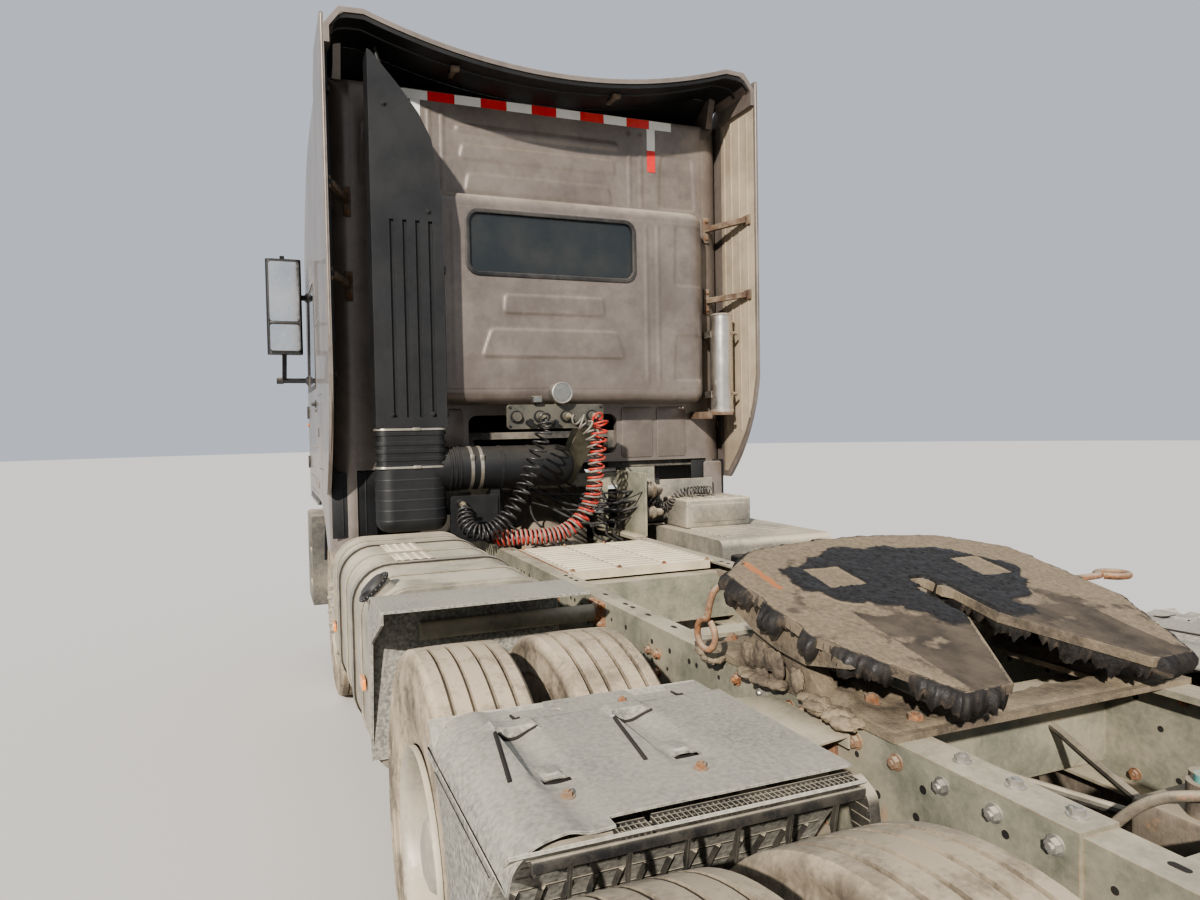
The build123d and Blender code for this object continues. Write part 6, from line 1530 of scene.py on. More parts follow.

# Behind the cab: fairing's lining and closing panel, black as painted shade, extenders' rims and brackets, intake,
# lamp and equipment
fairingSet = {"halfWidth": 1.03, "top": 3.745, "dip": 0.17, "thick": 0.025, "side": 1.22, "closerZ": 3.588}
fairingRadius = (fairingSet["halfWidth"] ** 2 + fairingSet["dip"] ** 2) / (2 * fairingSet["dip"])


def fairingZ(y):
    # the fairing's lower skin: an arc that dips in the middle, then its corner down to the side
    y = min(abs(y), fairingSet["side"])
    lowest = fairingSet["top"] - fairingSet["dip"] - fairingSet["thick"]
    if y <= fairingSet["halfWidth"]:
        return lowest + fairingRadius - math.sqrt(fairingRadius ** 2 - y ** 2)
    if y <= 1.138:
        return 3.72 - (y - 1.03) / 0.108 * 0.005
    return 3.715 - (y - 1.138) / 0.082 * 0.085


def liningSheet(mesh, rows, thickness):
    # a sheet through rows of places, each a list of equal length, given thickness
    loops = [[mesh.verts.new(p) for p in row] for row in rows]
    for first, second in zip(loops, loops[1:]):
        for i in range(len(first) - 1):
            mesh.faces.new((first[i], first[i + 1], second[i + 1], second[i]))
    bmesh.ops.recalc_face_normals(mesh, faces=mesh.faces)
    bmesh.ops.solidify(mesh, geom=mesh.faces[:], thickness=thickness)


acrossSteps = [-1.185 + 2.37 * i / 60 for i in range(61)]
# the fairing's ribbed underside and the sheet that closes it to the roof, drawn black as painted shade
mesh = bmesh.new()
liningDrops = ((0.87, 0.003), (0.874, 0.018), (0.888, 0.018), (0.892, 0.004), (1.01, 0.004), (1.014, 0.012),
    (1.034, 0.012), (1.038, 0.004), (1.14, 0.004), (1.246, 0.004))
liningSheet(mesh, [[(x, y, fairingZ(y) - drop) for y in acrossSteps] for x, drop in liningDrops], 0.0025)
makePiece("fairingLining", mesh, "blackPlasticAndShade", "cab", sharp=40)
mesh = bmesh.new()
rows = [[(x, y, (fairingZ(y) - 0.006) * (1 - share) + fairingSet["closerZ"] * share) for y in acrossSteps]
    for x, share in ((1.2475, 0.0), (1.3, 0.25), (1.36, 0.6), (1.44, 1.0))]
liningSheet(mesh, rows, 0.003)
makePiece("fairingCloser", mesh, "blackPlasticAndShade", "cab", sharp=40)

# rolled rims along the fairing's and the extenders' rear edges
mesh = bmesh.new()
rimSteps = [-1.2165 + 2.433 * i / 40 for i in range(41)]
addPipe(mesh, [(0.8665, y, fairingZ(y) + 0.012) for y in rimSteps], 0.0055, 2, 3)
makePiece("fairingRim", mesh, "cabPaint", "cab", sharp=60)
extenderEdge = [(0.8655, 3.69), (0.8655, 3.2), (0.8655, 2.6), (0.8655, 1.955), (0.905, 1.765), (0.985, 1.603),
    (1.085, 1.462), (1.197, 1.34)]
mesh = bmesh.new()
for side in (1, -1):
    addPipe(mesh, [(x, side * 1.2303, z) for x, z in extenderEdge], 0.0075, 8, 3)
makePiece("extenderRims", mesh, "cabPaint", "cab", sharp=60)
outline = [(0.872, 3.6), (0.872, 1.965), (0.915, 1.78), (0.995, 1.62), (1.095, 1.485), (1.205, 1.365), (1.244, 1.365),
    (1.244, 3.6)]
# the left extender's inner face and ribs in black: painted shade, where the right one's lit face is beige
mesh = bmesh.new()
addPrism(mesh, outline, "y", 1.2195, 1.215, 0.001)
for x in (0.96, 1.05, 1.15):
    addBox(mesh, (x - 0.008, 1.2, 1.9), (x + 0.008, 1.216, 3.55), 0.003)
for z in (1.95, 2.45, 2.9, 3.35):
    addBox(mesh, (0.9, 1.196, z - 0.012), (1.24, 1.216, z + 0.012), 0.004)
makePiece("extenderLiningLeft", mesh, "blackPlasticAndShade", "cab")
mesh = bmesh.new()
addPrism(mesh, [(x + 0.004, z) for x, z in outline], "y", -1.2197, -1.2172, 0.001)
for x in (0.945, 1.035, 1.125, 1.205):
    addPrism(mesh, [(x - 0.006, 1.62 + max(0.0, 1.0 - x) * 1.5), (x + 0.006, 1.62 + max(0.0, 1.0 - x) * 1.5),
        (x + 0.006, 3.54), (x - 0.006, 3.54)], "y", -1.2172, -1.212, 0.002)
makePiece("extenderLiningRight", mesh, "liningBeige", "cab")

# rusty brackets that hold the extenders and the fairing to the wall
bracketSet = {"z": (2.45, 2.9), "y": 1.095}
mesh = bmesh.new()
for side in (1, -1):
    for z in bracketSet["z"]:
        addFlank(mesh, (1.2395, 1.2485), side * bracketSet["y"], 0.02, (z - 0.085, z + 0.075), 0.003)
        addPrism(mesh, [(1.243, side * 1.085), (1.243, side * 1.112), (0.945, side * 1.213), (0.93, side * 1.188)],
            "z", z - 0.017, z + 0.017, 0.003)
        addFlank(mesh, (0.905, 0.975), side * 1.2085, 0.0055, (z - 0.03, z + 0.03), 0.003)
for y in (0.55, -0.38):
    z = fairingZ(y)
    addFlank(mesh, (0.99, 1.11), y, 0.012, (z - 0.03, z - 0.012), 0.004)
    addFlank(mesh, (0.975, 1.01), y, 0.024, (z - 0.036, z - 0.01), 0.006)
makePiece("extenderBrackets", mesh, "agedIron", "cab")
mesh = bmesh.new()
for side in (1, -1):
    for z in bracketSet["z"]:
        for dz in (-0.06, 0.05):
            addBolt(mesh, (1.2395, side * bracketSet["y"], z + dz), (-1, 0, 0), 0.009, 0.007)
makePiece("bracketBolts", mesh, "rustyIron", "cab")
print("fairing and extenders")

# Intake: drain pipe and clips along the snorkel, clamp bands, rounded pipe end, hose clamps and elbow ribs
mesh = bmesh.new()
addPipe(mesh, [(0.96, 0.65, 1.7), (0.955, 0.646, 1.9), (0.95, 0.648, 2.3), (0.955, 0.65, 2.7), (0.985, 0.668, 2.98),
    (1.0, 0.7, 3.17), (1.005, 0.79, 3.34), (1.005, 0.885, 3.46), (1.01, 0.94, 3.54), (1.03, 0.96, 3.64)], 0.0085, 10,
    3)
for x, y, z in ((0.955, 0.645, 2.5), (0.955, 0.647, 1.75), (1.002, 0.745, 3.26)):
    addBox(mesh, (x - 0.016, y - 0.012, z - 0.022), (x + 0.02, y + 0.02, z + 0.022), 0.005)
makePiece("drainPipe", mesh, "rubberTrim", "cab")
mesh = bmesh.new()
for x, y, z in ((0.8675, 0.735, 1.745), (0.8675, 0.94, 1.745), (0.8675, 0.735, 2.78), (0.8675, 0.945, 3.3)):
    addBolt(mesh, (x, y, z), (-1, 0, 0), 0.01, 0.006)
makePiece("snorkelBolts", mesh, "blackPlasticAndShade", "cab")
intakePipe = (0.983, 0.0, 1.455)
mesh = bmesh.new()
for z in (1.664, 1.47):
    addRing(mesh, roundedOutline((0.868 - 0.0035, 0.662 - 0.0035), (1.024 + 0.0035, 1.018 + 0.0035), 0.05, 8),
        roundedOutline((0.868 + 0.004, 0.662 + 0.004), (1.024 - 0.004, 1.018 - 0.004), 0.042, 8), "z", z, z + 0.011,
        0.001)
    addBox(mesh, (0.858, 0.8, z - 0.002), (0.87, 0.84, z + 0.014), 0.003)
for y in (0.53, 0.478):
    addLathe(mesh, [(y - 0.009, 0.1145), (y - 0.009, 0.1185), (y + 0.009, 0.1185), (y + 0.009, 0.1145)], intakePipe,
        56, "y")
    addFlank(mesh, (0.87, 0.886), y, 0.012, (1.5, 1.53), 0.004)
makePiece("intakeClamps", mesh, "clampMetal")
mesh = bmesh.new()
addLathe(mesh, [(0.06, 0.0), (0.06, 0.1135), (0.032, 0.1155), (0.012, 0.1145), (-0.016, 0.106), (-0.04, 0.088),
    (-0.056, 0.06), (-0.064, 0.03), (-0.066, 0.0)], intakePipe, 56, "y")
for y in (0.64, 0.615, 0.59):
    addLathe(mesh, [(y - 0.007, 0.113), (y - 0.003, 0.1205), (y + 0.003, 0.1205), (y + 0.007, 0.113)], intakePipe, 56,
        "y")
for y in (0.36, 0.2):
    addLathe(mesh, [(y - 0.01, 0.113), (y - 0.006, 0.1185), (y + 0.006, 0.1185), (y + 0.01, 0.113)], intakePipe, 56,
        "y")
for i in range(5):
    z = 1.2 + 0.052 * i
    addRing(mesh, roundedOutline((0.866, 0.658), (1.05, 1.022), 0.082, 8), roundedOutline((0.874, 0.666),
        (1.042, 1.014), 0.074, 8), "z", z, z + 0.008, 0.002)
makePiece("intakePipeForms", mesh, "blackPlasticAndShade")
print("intake")

# dark splash panels under the cab's rear corners
mesh = bmesh.new()
for side in (1, -1):
    addFlank(mesh, (1.26, 1.266), side * 1.095, 0.118, (1.085, 1.44), 0.002)
    for y in (-0.06, 0.0, 0.06):
        addFlank(mesh, (1.256, 1.2602), side * (1.095 + y), 0.003, (1.1, 1.425), 0.001)
makePiece("splashPanels", mesh, "blackPlasticAndShade", "cab")

# Connection panel: flanged sockets with flaps, small valves, lamp with a chrome ring, and a box lamp
panelSet = {"face": 0.8322, "socketY": (0.3, 0.17, 0.02, -0.13), "socketZ": 1.725, "lamp": (0, 0.06, 1.85)}
mesh = bmesh.new()
for y in panelSet["socketY"]:
    addRod(mesh, (panelSet["face"], y, panelSet["socketZ"]), (0.8245, y, panelSet["socketZ"]), 0.034, 28)
    for a in (45, 135, 225, 315):
        addBolt(mesh, (0.8245, y + 0.0285 * math.cos(math.radians(a)),
            panelSet["socketZ"] + 0.0285 * math.sin(math.radians(a))), (-1, 0, 0), 0.0035, 0.002)
for y, z in ((0.235, 1.695), (0.095, 1.688), (-0.055, 1.69)):
    addRod(mesh, (panelSet["face"], y, z), (0.8, y, z), 0.016, 18)
    addRod(mesh, (0.8, y, z), (0.786, y, z), 0.021, 6)
for y in (-0.185, 0.335):
    for z in (1.675, 1.775):
        addBolt(mesh, (0.832, y, z), (-1, 0, 0), 0.006, 0.004)
makePiece("socketFlanges", mesh, "blackPlasticAndShade")
mesh = bmesh.new()
addLathe(mesh, [(0.786, 0.0465), (0.772, 0.05), (0.7685, 0.0535), (0.77, 0.0575), (0.792, 0.058), (0.8, 0.056)],
    panelSet["lamp"], 48, "x")
makePiece("workLampRing", mesh, "brightMetal")
mesh = bmesh.new()
addLathe(mesh, [(0.7715, 0.0), (0.767, 0.01), (0.768, 0.03), (0.7715, 0.0505), (0.7718, 0.0505)], panelSet["lamp"],
    48, "x")
makePiece("workLampLens", mesh, "lampClear")
mesh = bmesh.new()
addRod(mesh, (0.8, 0.06, 1.85), (0.848, 0.06, 1.85), 0.052, 40, 0.03)
addBox(mesh, (0.822, 0.048, 1.785), (0.846, 0.072, 1.812), 0.003)
addBox(mesh, (0.8, 0.16, 1.795), (0.848, 0.215, 1.835), 0.006)
addRod(mesh, (0.835, 0.187, 1.789), (0.835, 0.187, 1.797), 0.008, 12)
makePiece("workLampBody", mesh, "dustyBlack")
mesh = bmesh.new()
addPlate(mesh, (0.166, 1.801), (0.209, 1.829), 0.005, "x", 0.8005, 0.7965, 0.002)
makePiece("boxLampLens", mesh, "lampClear")

# canister: rolled rims, straps with clamp bolts, domed cap and its rusty shelf and arms
mesh = bmesh.new()
canisterSet = {"axis": (1.075, -1.1, 0), "straps": (1.85, 2.22)}
addLathe(mesh, [(2.3295, 0.0), (2.3295, 0.0705), (2.334, 0.0735), (2.34, 0.0705), (2.342, 0.06), (2.348, 0.05),
    (2.351, 0.0)], canisterSet["axis"], 44, "z")
addLathe(mesh, [(1.7405, 0.0695), (1.7405, 0.0735), (1.75, 0.0738), (1.756, 0.07)], canisterSet["axis"], 44, "z")
for z in canisterSet["straps"]:
    addLathe(mesh, [(z - 0.016, 0.07), (z - 0.016, 0.0728), (z + 0.016, 0.0728), (z + 0.016, 0.07)],
        canisterSet["axis"], 44, "z")
makePiece("canisterStraps", mesh, "canisterMetal", "cab")
mesh = bmesh.new()
for z in canisterSet["straps"]:
    addBox(mesh, (1.128, -1.18, z - 0.018), (1.15, -1.15, z + 0.018), 0.003)
    addRod(mesh, (1.11, -1.176, z), (1.165, -1.176, z), 0.005, 10)
    addRod(mesh, (1.004, -1.135, z), (1.004, -1.165, z), 0.011, 6)
addBox(mesh, (0.969, -1.1152, 1.7212), (1.2488, -0.9648, 1.7412), 0.002)
addBox(mesh, (0.969, -0.97, 1.7), (1.2488, -0.964, 1.743), 0.001)
for x in (1.0, 1.2):
    addBolt(mesh, (x, -1.0, 1.741), (0, 0, 1), 0.008, 0.006)
makePiece("canisterShelf", mesh, "agedIron", "cab")
print("lamp and canister")

# equipment between the cab and the deck: valve rack, hoses, a dark coiled lead and a ribbed case on the right
mesh = bmesh.new()
addBox(mesh, (0.78, -0.436, 1.0405), (1.18, -0.424, 1.4), 0.003)
addBox(mesh, (0.78, -0.436, 1.0405), (1.18, -0.35, 1.0485), 0.003)
addBox(mesh, (1.06, -0.62, 1.18), (1.072, -0.436, 1.42), 0.003)
addBox(mesh, (0.88, -0.47, 1.285), (1.02, -0.436, 1.385), 0.004)
makePiece("valveRack", mesh, "framePaint")
mesh = bmesh.new()
for x, z, r, length in ((0.84, 1.3, 0.04, 0.11), (0.95, 1.335, 0.034, 0.095), (0.85, 1.17, 0.03, 0.12),
        (0.96, 1.175, 0.038, 0.085), (1.045, 1.24, 0.03, 0.1)):
    addLathe(mesh, [(-0.436, 0.0), (-0.436, r), (-0.436 - length * 0.5, r), (-0.436 - length * 0.52, r * 1.18),
        (-0.436 - length * 0.62, r * 1.18), (-0.436 - length * 0.64, r * 0.8), (-0.436 - length, r * 0.7),
        (-0.436 - length, 0.0)], (x, 0, z), 26, "y")
    addRod(mesh, (x, -0.436 - length, z), (x, -0.448 - length, z), r * 0.34, 6)
    addRod(mesh, (x + r * 0.6, -0.436 - length * 0.4, z), (x + r * 1.45, -0.436 - length * 0.4, z), r * 0.28, 6)
makePiece("airValves", mesh, "runningGear")
mesh = bmesh.new()
random.seed(23)
for i in range(15):
    start = Vector((random.uniform(0.82, 1.05), random.uniform(-0.52, -0.45), random.uniform(1.18, 1.36)))
    end = Vector((random.uniform(1.24, 1.32), random.uniform(-0.62, 0.3), random.uniform(1.24, 1.36)))
    low = start.lerp(end, 0.45) + Vector((random.uniform(-0.12, 0.02), random.uniform(-0.05, 0.05),
        random.uniform(-0.2, -0.06)))
    low.z = max(low.z, 1.075)
    addPipe(mesh, [tuple(start), tuple(start + Vector((-0.03, -0.02, -0.03))), tuple(low),
        tuple(low.lerp(end, 0.6) + Vector((0, 0, -0.03))), tuple(end)], random.choice((0.0045, 0.006, 0.0075)), 8, 2)
for y, z0 in ((-0.36, 1.3), (-0.3, 1.31), (-0.2, 1.31), (0.1, 1.31), (0.26, 1.31)):
    addPipe(mesh, [(1.312, y, z0), (1.22, y + 0.01, z0 - 0.04), (1.1, y + 0.05, z0 - 0.14), (0.98, y + 0.02, 1.1),
        (0.8, y * 0.6, 1.062), (0.64, y * 0.6, 1.06)], 0.0065, 8, 2)
makePiece("airLines", mesh, "hoseBlack")
mesh = bmesh.new()
addBox(mesh, (0.7, -1.06, 1.0815), (1.0, -0.64, 1.245), 0.014, 3)
for i in range(5):
    y = -1.02 + 0.078 * i
    addPlate(mesh, (0.735, y), (0.965, y + 0.04), 0.014, "z", 1.2445, 1.2505, 0.003)
addPlate(mesh, (-1.03, 1.115), (-0.67, 1.215), 0.016, "x", 0.7005, 0.6945, 0.003)
addBox(mesh, (1.06, -1.08, 1.06), (1.19, -0.56, 1.072), 0.003)
addBox(mesh, (1.176, -1.08, 1.072), (1.19, -0.56, 1.33), 0.003)
makePiece("equipmentCase", mesh, "boxMetal")
mesh = bmesh.new()
guide = routeLine([(0.985, -0.5, 1.3), (0.96, -0.56, 1.23), (0.9, -0.62, 1.18), (0.83, -0.66, 1.28),
    (0.79, -0.76, 1.29), (0.82, -0.86, 1.285)], 24)
turns, made = 0.0, []
for place, ahead, step, walked, total in finePlaces(guide, 0.002):
    turns += math.tau * step / 0.02
    sideways = ahead.cross(up).normalized() if abs(ahead.z) < 0.98 else Vector((1, 0, 0))
    if turns - len(made) * math.tau / 12 >= 0:
        made.append(tuple(place + (sideways * math.cos(turns) + ahead.cross(sideways) * math.sin(turns)) * 0.022))
addPipe(mesh, made, 0.0042, 2, 2)
makePiece("coiledLead", mesh, "rubberTrim")
print("equipment")

# The cab's front and sides: seals, wipers, visor, grille bars, door hardware, mirror glass and lamps
def arcThrough(first, middle, last):
    # centre and radius of the circle through three points
    (ax, ay), (bx, by), (cx, cy) = first, middle, last
    d = 2 * (ax * (by - cy) + bx * (cy - ay) + cx * (ay - by))
    a, b, c = ax * ax + ay * ay, bx * bx + by * by, cx * cx + cy * cy
    centre = ((a * (by - cy) + b * (cy - ay) + c * (ay - by)) / d,
        (a * (cx - bx) + b * (ax - cx) + c * (bx - ax)) / d)
    return centre, math.hypot(ax - centre[0], ay - centre[1])


noseRadius = (1.13 ** 2 + 0.14 ** 2) / 0.28
browCentre, browRadius = arcThrough((3.19, 2.76), (2.86, 3.23), (2.42, 3.5))
noseProfile = ((1.15, 3.405), (1.3, 3.43), (1.9, 3.4), (2.76, 3.19))


def frontX(y, z):
    plan = 3.43 - (noseRadius - math.sqrt(max(0.0, noseRadius ** 2 - min(abs(y), 1.13) ** 2)))
    if z > 2.76:
        side = browCentre[0] + math.sqrt(max(0.0, browRadius ** 2 - (z - browCentre[1]) ** 2))
    else:
        low, high = next((a, b) for a, b in zip(noseProfile, noseProfile[1:]) if z <= b[0])
        side = low[1] + (high[1] - low[1]) * (z - low[0]) / (high[0] - low[0])
    return min(plan, side)


def frontStrip(mesh, yRange, zRange, low, high, steps=36):
    # a band that follows the front, standing between two heights off its surface
    corners = []
    for i in range(steps + 1):
        y = yRange[0] + (yRange[1] - yRange[0]) * i / steps
        corners.append([mesh.verts.new((frontX(y, z) + off, y, z)) for z, off in ((zRange[0], low), (zRange[0], high),
            (zRange[1], high), (zRange[1], low))])
    for a, b in zip(corners, corners[1:]):
        for i in range(4):
            mesh.faces.new((a[i], a[(i + 1) % 4], b[(i + 1) % 4], b[i]))
    for ring in (corners[0], corners[-1]):
        mesh.faces.new(ring)


mesh = bmesh.new()
ring, dense = roundedOutline((-1.052, 1.958), (1.052, 2.702), 0.092, 8), []
for (y0, z0), (y1, z1) in zip(ring, ring[1:] + ring[:1]):
    count = max(1, round(math.hypot(y1 - y0, z1 - z0) / 0.06))
    dense += [(y0 + (y1 - y0) * i / count, z0 + (z1 - z0) * i / count) for i in range(count)]
addPipe(mesh, [(frontX(y, z) + 0.001, y, z) for y, z in dense + dense[:1]], 0.0085, 2, 3)
makePiece("screenSeal", mesh, "rubberTrim", "cab")
mesh = bmesh.new()
for pivot, tip in ((0.72, 0.0), (0.0, -0.72)):
    addRod(mesh, (frontX(pivot, 1.915) - 0.004, pivot, 1.915), (frontX(pivot, 1.915) + 0.026, pivot, 1.915), 0.017,
        20)
    addPipe(mesh, [(frontX(pivot + (tip - pivot) * t, 1.915 + 0.085 * t) + 0.022 + 0.008 * math.sin(t * math.pi),
        pivot + (tip - pivot) * t * 0.55, 1.915 + 0.085 * t) for t in (0, 0.25, 0.5, 0.75, 1.0)], 0.0065, 4, 3)
    middle = pivot + (tip - pivot) * 0.55
    addPipe(mesh, [(frontX(middle + 0.31 * s, 1.99) + 0.012, middle + 0.31 * s, 1.99) for s in (-1, -0.5, 0, 0.5, 1)],
        0.006, 6, 3)
    addPipe(mesh, [(frontX(middle + 0.22 * s, 1.998) + 0.018, middle + 0.22 * s, 1.998)
        for s in (-1, -0.5, 0, 0.5, 1)], 0.004, 6, 3)
makePiece("wipers", mesh, "rubberTrim", "cab")
mesh = bmesh.new()
visorSteps = [-1.06 + 2.12 * i / 32 for i in range(33)]
rows = [[(frontX(y, 2.78) + off - 0.1 * max(0.0, abs(y) - 0.9) / 0.16, y, z) for y in visorSteps]
    for z, off in ((2.8, 0.01), (2.795, 0.06), (2.775, 0.105), (2.735, 0.14), (2.69, 0.155))]
liningSheet(mesh, rows, 0.006)
for y in (-0.82, -0.28, 0.28, 0.82):
    x = frontX(y, 2.79)
    addPrism(mesh, [(x - 0.004, 2.765), (x + 0.1, 2.768), (x + 0.06, 2.794), (x - 0.01, 2.8)], "y", y - 0.006,
        y + 0.006)
makePiece("sunVisor", mesh, "rubberTrim", "cab", sharp=50)
mesh = bmesh.new()
for z in (1.375, 1.455, 1.535, 1.615):
    for dz in (0.004, 0.0145, 0.025):
        frontStrip(mesh, (-0.872, 0.872), (z + dz, z + dz + 0.0045), -0.03, -0.014)
for i in range(41):
    y = -0.86 + 0.043 * i
    addBox(mesh, (frontX(y, 1.5) - 0.045, y - 0.0025, 1.36), (frontX(y, 1.5) - 0.034, y + 0.0025, 1.665))
makePiece("grilleMesh", mesh, "rubberTrim", "cab")
mesh = bmesh.new()
for z in (1.326, 1.422, 1.502, 1.582, 1.672):
    frontStrip(mesh, (-0.874, 0.874), (z - 0.013 if z > 1.33 else z - 0.01, z + 0.013 if z < 1.6 else z + 0.024),
        -0.0118, -0.003)
for y in (-0.872, -0.44, 0.0, 0.44, 0.872):
    addBox(mesh, (frontX(y, 1.5) - 0.014, y - 0.006, 1.312), (frontX(y, 1.5) - 0.0025, y + 0.006, 1.7), 0.002)
makePiece("grilleBars", mesh, "dustyBlack", "cab")
mesh = bmesh.new()
frontStrip(mesh, (-1.02, 1.02), (1.752, 1.758), -0.002, 0.0012)
frontStrip(mesh, (-1.02, 1.02), (1.252, 1.258), -0.002, 0.0012)
for y in (-0.985, 0.985):
    addBox(mesh, (frontX(y, 1.5) - 0.004, y - 0.003, 1.255), (frontX(y, 1.5) + 0.0016, y + 0.003, 1.755))
makePiece("frontSeams", mesh, "rubberTrim", "cab")
mesh = bmesh.new()
for y in (-0.78, -0.28, 0.28, 0.78):
    x = frontX(y, 2.985)
    addBall(mesh, (x + 0.004, y, 2.985), 0.03, (0.75, 1.9, 0.62), 18)
makePiece("roofMarkers", mesh, "lampAmber", "cab")
print("cab front")

# doors: seal round the opening, window seal, handle, lock, hinges, swage and mirror glass
doorLines = ((2.12, 1.26), (3.06, 1.26), (3.06, 1.96), (2.878, 2.69), (2.12, 2.69))
doorSet = {"skin": 1.2215, "leaf": 1.2225, "hingeX": 3.056, "hingeZ": (1.44, 1.8)}
paneLines = ((2.21, 1.96), (2.95, 1.96), (2.812, 2.6), (2.21, 2.6))


def grown(points, amount):
    # an outline pushed outwards from its middle, near enough for thin seals
    cx, cz = sum(p[0] for p in points) / len(points), sum(p[1] for p in points) / len(points)
    return [(x + math.copysign(amount, x - cx), z + math.copysign(amount, z - cz)) for x, z in points]


for side, name in ((1, "left"), (-1, "right")):
    body = "door_" + name
    label = name.capitalize()
    mesh = bmesh.new()
    addRing(mesh, softOutline(grown(doorLines, 0.001), 0.03), softOutline(grown(doorLines, -0.012), 0.03), "y",
        side * 1.196, side * 1.2135)
    makePiece("doorSeal" + label, mesh, "rubberTrim", "cab")
    mesh = bmesh.new()
    addRing(mesh, softOutline(grown(paneLines, 0.02), 0.06), softOutline(grown(paneLines, -0.01), 0.045), "y",
        side * 1.2195, side * 1.2245, 0.0015)
    addFlank(mesh, (2.205, 2.965), side * doorSet["skin"], 0.0045, (1.944, 1.966), 0.003)
    addPlate(mesh, (2.178, 1.79), (2.352, 1.868), 0.016, "y", side * 1.2198, side * 1.2222, 0.001)
    addFlank(mesh, (2.196, 2.336), side * 1.237, 0.008, (1.828, 1.854), 0.006)
    for x in (2.202, 2.33):
        addFlank(mesh, (x - 0.008, x + 0.008), side * 1.228, 0.01, (1.83, 1.852), 0.003)
    makePiece("doorTrim" + label, mesh, "rubberTrim", body)
    mesh = bmesh.new()
    addRod(mesh, (2.212, side * doorSet["skin"], 1.808), (2.212, side * 1.2265, 1.808), 0.0105, 20)
    addRod(mesh, (2.212, side * 1.226, 1.808), (2.212, side * 1.2275, 1.808), 0.006, 14)
    makePiece("doorLock" + label, mesh, "brightMetal", body)
    mesh = bmesh.new()
    addFlank(mesh, (2.13, 3.05), side * doorSet["skin"], 0.0018, (1.56, 1.578), 0.0015)
    addFlank(mesh, (2.13, 3.05), side * doorSet["leaf"], 0.0028, (1.3, 1.356), 0.0025)
    makePiece("doorMouldings" + label, mesh, "cabPaint", body)
    mesh = bmesh.new()
    for z in doorSet["hingeZ"]:
        addRod(mesh, (doorSet["hingeX"], side * 1.228, z - 0.045), (doorSet["hingeX"], side * 1.228, z + 0.045),
            0.0065, 14)
        addFlank(mesh, (3.06, 3.105), side * doorSet["leaf"], 0.0028, (z - 0.03, z + 0.03), 0.002)
    makePiece("doorHinges" + label, mesh, "dustyBlack", "cab")
    mesh = bmesh.new()
    for z in doorSet["hingeZ"]:
        addFlank(mesh, (3.008, 3.052), side * doorSet["leaf"], 0.0028, (z - 0.03, z + 0.03), 0.002)
    makePiece("hingeLeaves" + label, mesh, "dustyBlack", body)
    # a luggage hatch behind the door, side seams and an indicator lamp
    mesh = bmesh.new()
    addPlate(mesh, (1.47, 1.44), (2.06, 1.88), 0.035, "y", side * 1.2198, side * 1.2222, 0.0012)
    addPlate(mesh, (1.5, 1.47), (2.03, 1.85), 0.03, "y", side * 1.222, side * 1.2236, 0.0014)
    addFlank(mesh, (1.296, 2.1), side * doorSet["skin"], 0.002, (2.32, 2.336), 0.0015)
    makePiece("luggageHatch" + label, mesh, "cabPaint", "cab")
    mesh = bmesh.new()
    addPlate(mesh, (1.956, 1.63), (2.006, 1.69), 0.01, "y", side * 1.2234, side * 1.2262, 0.001)
    addRing(mesh, roundedOutline((1.464, 1.434), (2.066, 1.886), 0.04),
        roundedOutline((1.469, 1.439), (2.061, 1.881), 0.036), "y", side * 1.2195, side * 1.2212)
    addPlate(mesh, (3.098, 1.694), (3.166, 1.726), 0.008, "y", side * 1.2192, side * 1.223, 0.001)
    addFlank(mesh, (2.12, 2.96), side * 1.2175, 0.0045, (1.196, 1.236), 0.004)
    makePiece("sideTrim" + label, mesh, "rubberTrim", "cab")
    mesh = bmesh.new()
    addPlate(mesh, (3.103, 1.699), (3.161, 1.721), 0.006, "y", side * 1.2228, side * 1.229, 0.002)
    makePiece("sideMarker" + label, mesh, "lampAmber", "cab")
    # mirror glass in its frames, and joint covers on the arms
    mesh = bmesh.new()
    low, high = sorted((side * 1.285, side * 1.476))
    addPlate(mesh, (low, 2.425), (high, 2.832), 0.018, "x", 2.7088, 2.7112, 0.0008)
    addPlate(mesh, (low, 2.222), (high, 2.402), 0.018, "x", 2.7088, 2.7112, 0.0008)
    makePiece("mirrorGlass" + label, mesh, "mirrorFace", body)
    mesh = bmesh.new()
    addRing(mesh, roundedOutline((low - 0.008, 2.216), (high + 0.008, 2.84), 0.026),
        roundedOutline((low - 0.001, 2.223), (high + 0.001, 2.833), 0.02), "x", 2.7115, 2.7068, 0.001)
    addBox(mesh, (2.7068, low, 2.405), (2.7115, high, 2.422), 0.001)
    for z, x in ((2.61, 2.868), (2.03, 2.988)):
        addLathe(mesh, [(side * 1.2203, 0.0), (side * 1.2203, 0.034), (side * 1.226, 0.034), (side * 1.238, 0.024),
            (side * 1.238, 0.0)], (x, 0, z), 24, "y")
        addRod(mesh, (x, side * 1.392, z), (x, side * 1.438, z), 0.023, 20)
    for i in range(7):
        z = 2.255 + 0.09 * i
        addFlank(mesh, (2.816, 2.8222), side * 1.38, 0.095, (z - 0.0025, z + 0.0025), 0.001)
    makePiece("mirrorFrame" + label, mesh, "rubberTrim", body)
    # step plates with raised grips in the bumper's recesses
    mesh = bmesh.new()
    for z in (0.557, 0.797):
        addFlank(mesh, (2.82, 3.08), side * 1.155, 0.08, (z, z + 0.006), 0.001)
        for i in range(9):
            x = 2.84 + 0.0275 * i
            addFlank(mesh, (x - 0.003, x + 0.003), side * 1.155, 0.072, (z + 0.005, z + 0.011), 0.001)
    makePiece("stepPlates" + label, mesh, "deckMetal")
print("doors, mirrors and steps")

# headlamps rebuilt as a dark housing with two bowls, an amber corner and a curved clear lens
lampArc = (1.198 ** 2 + 0.13 ** 2) / 0.26


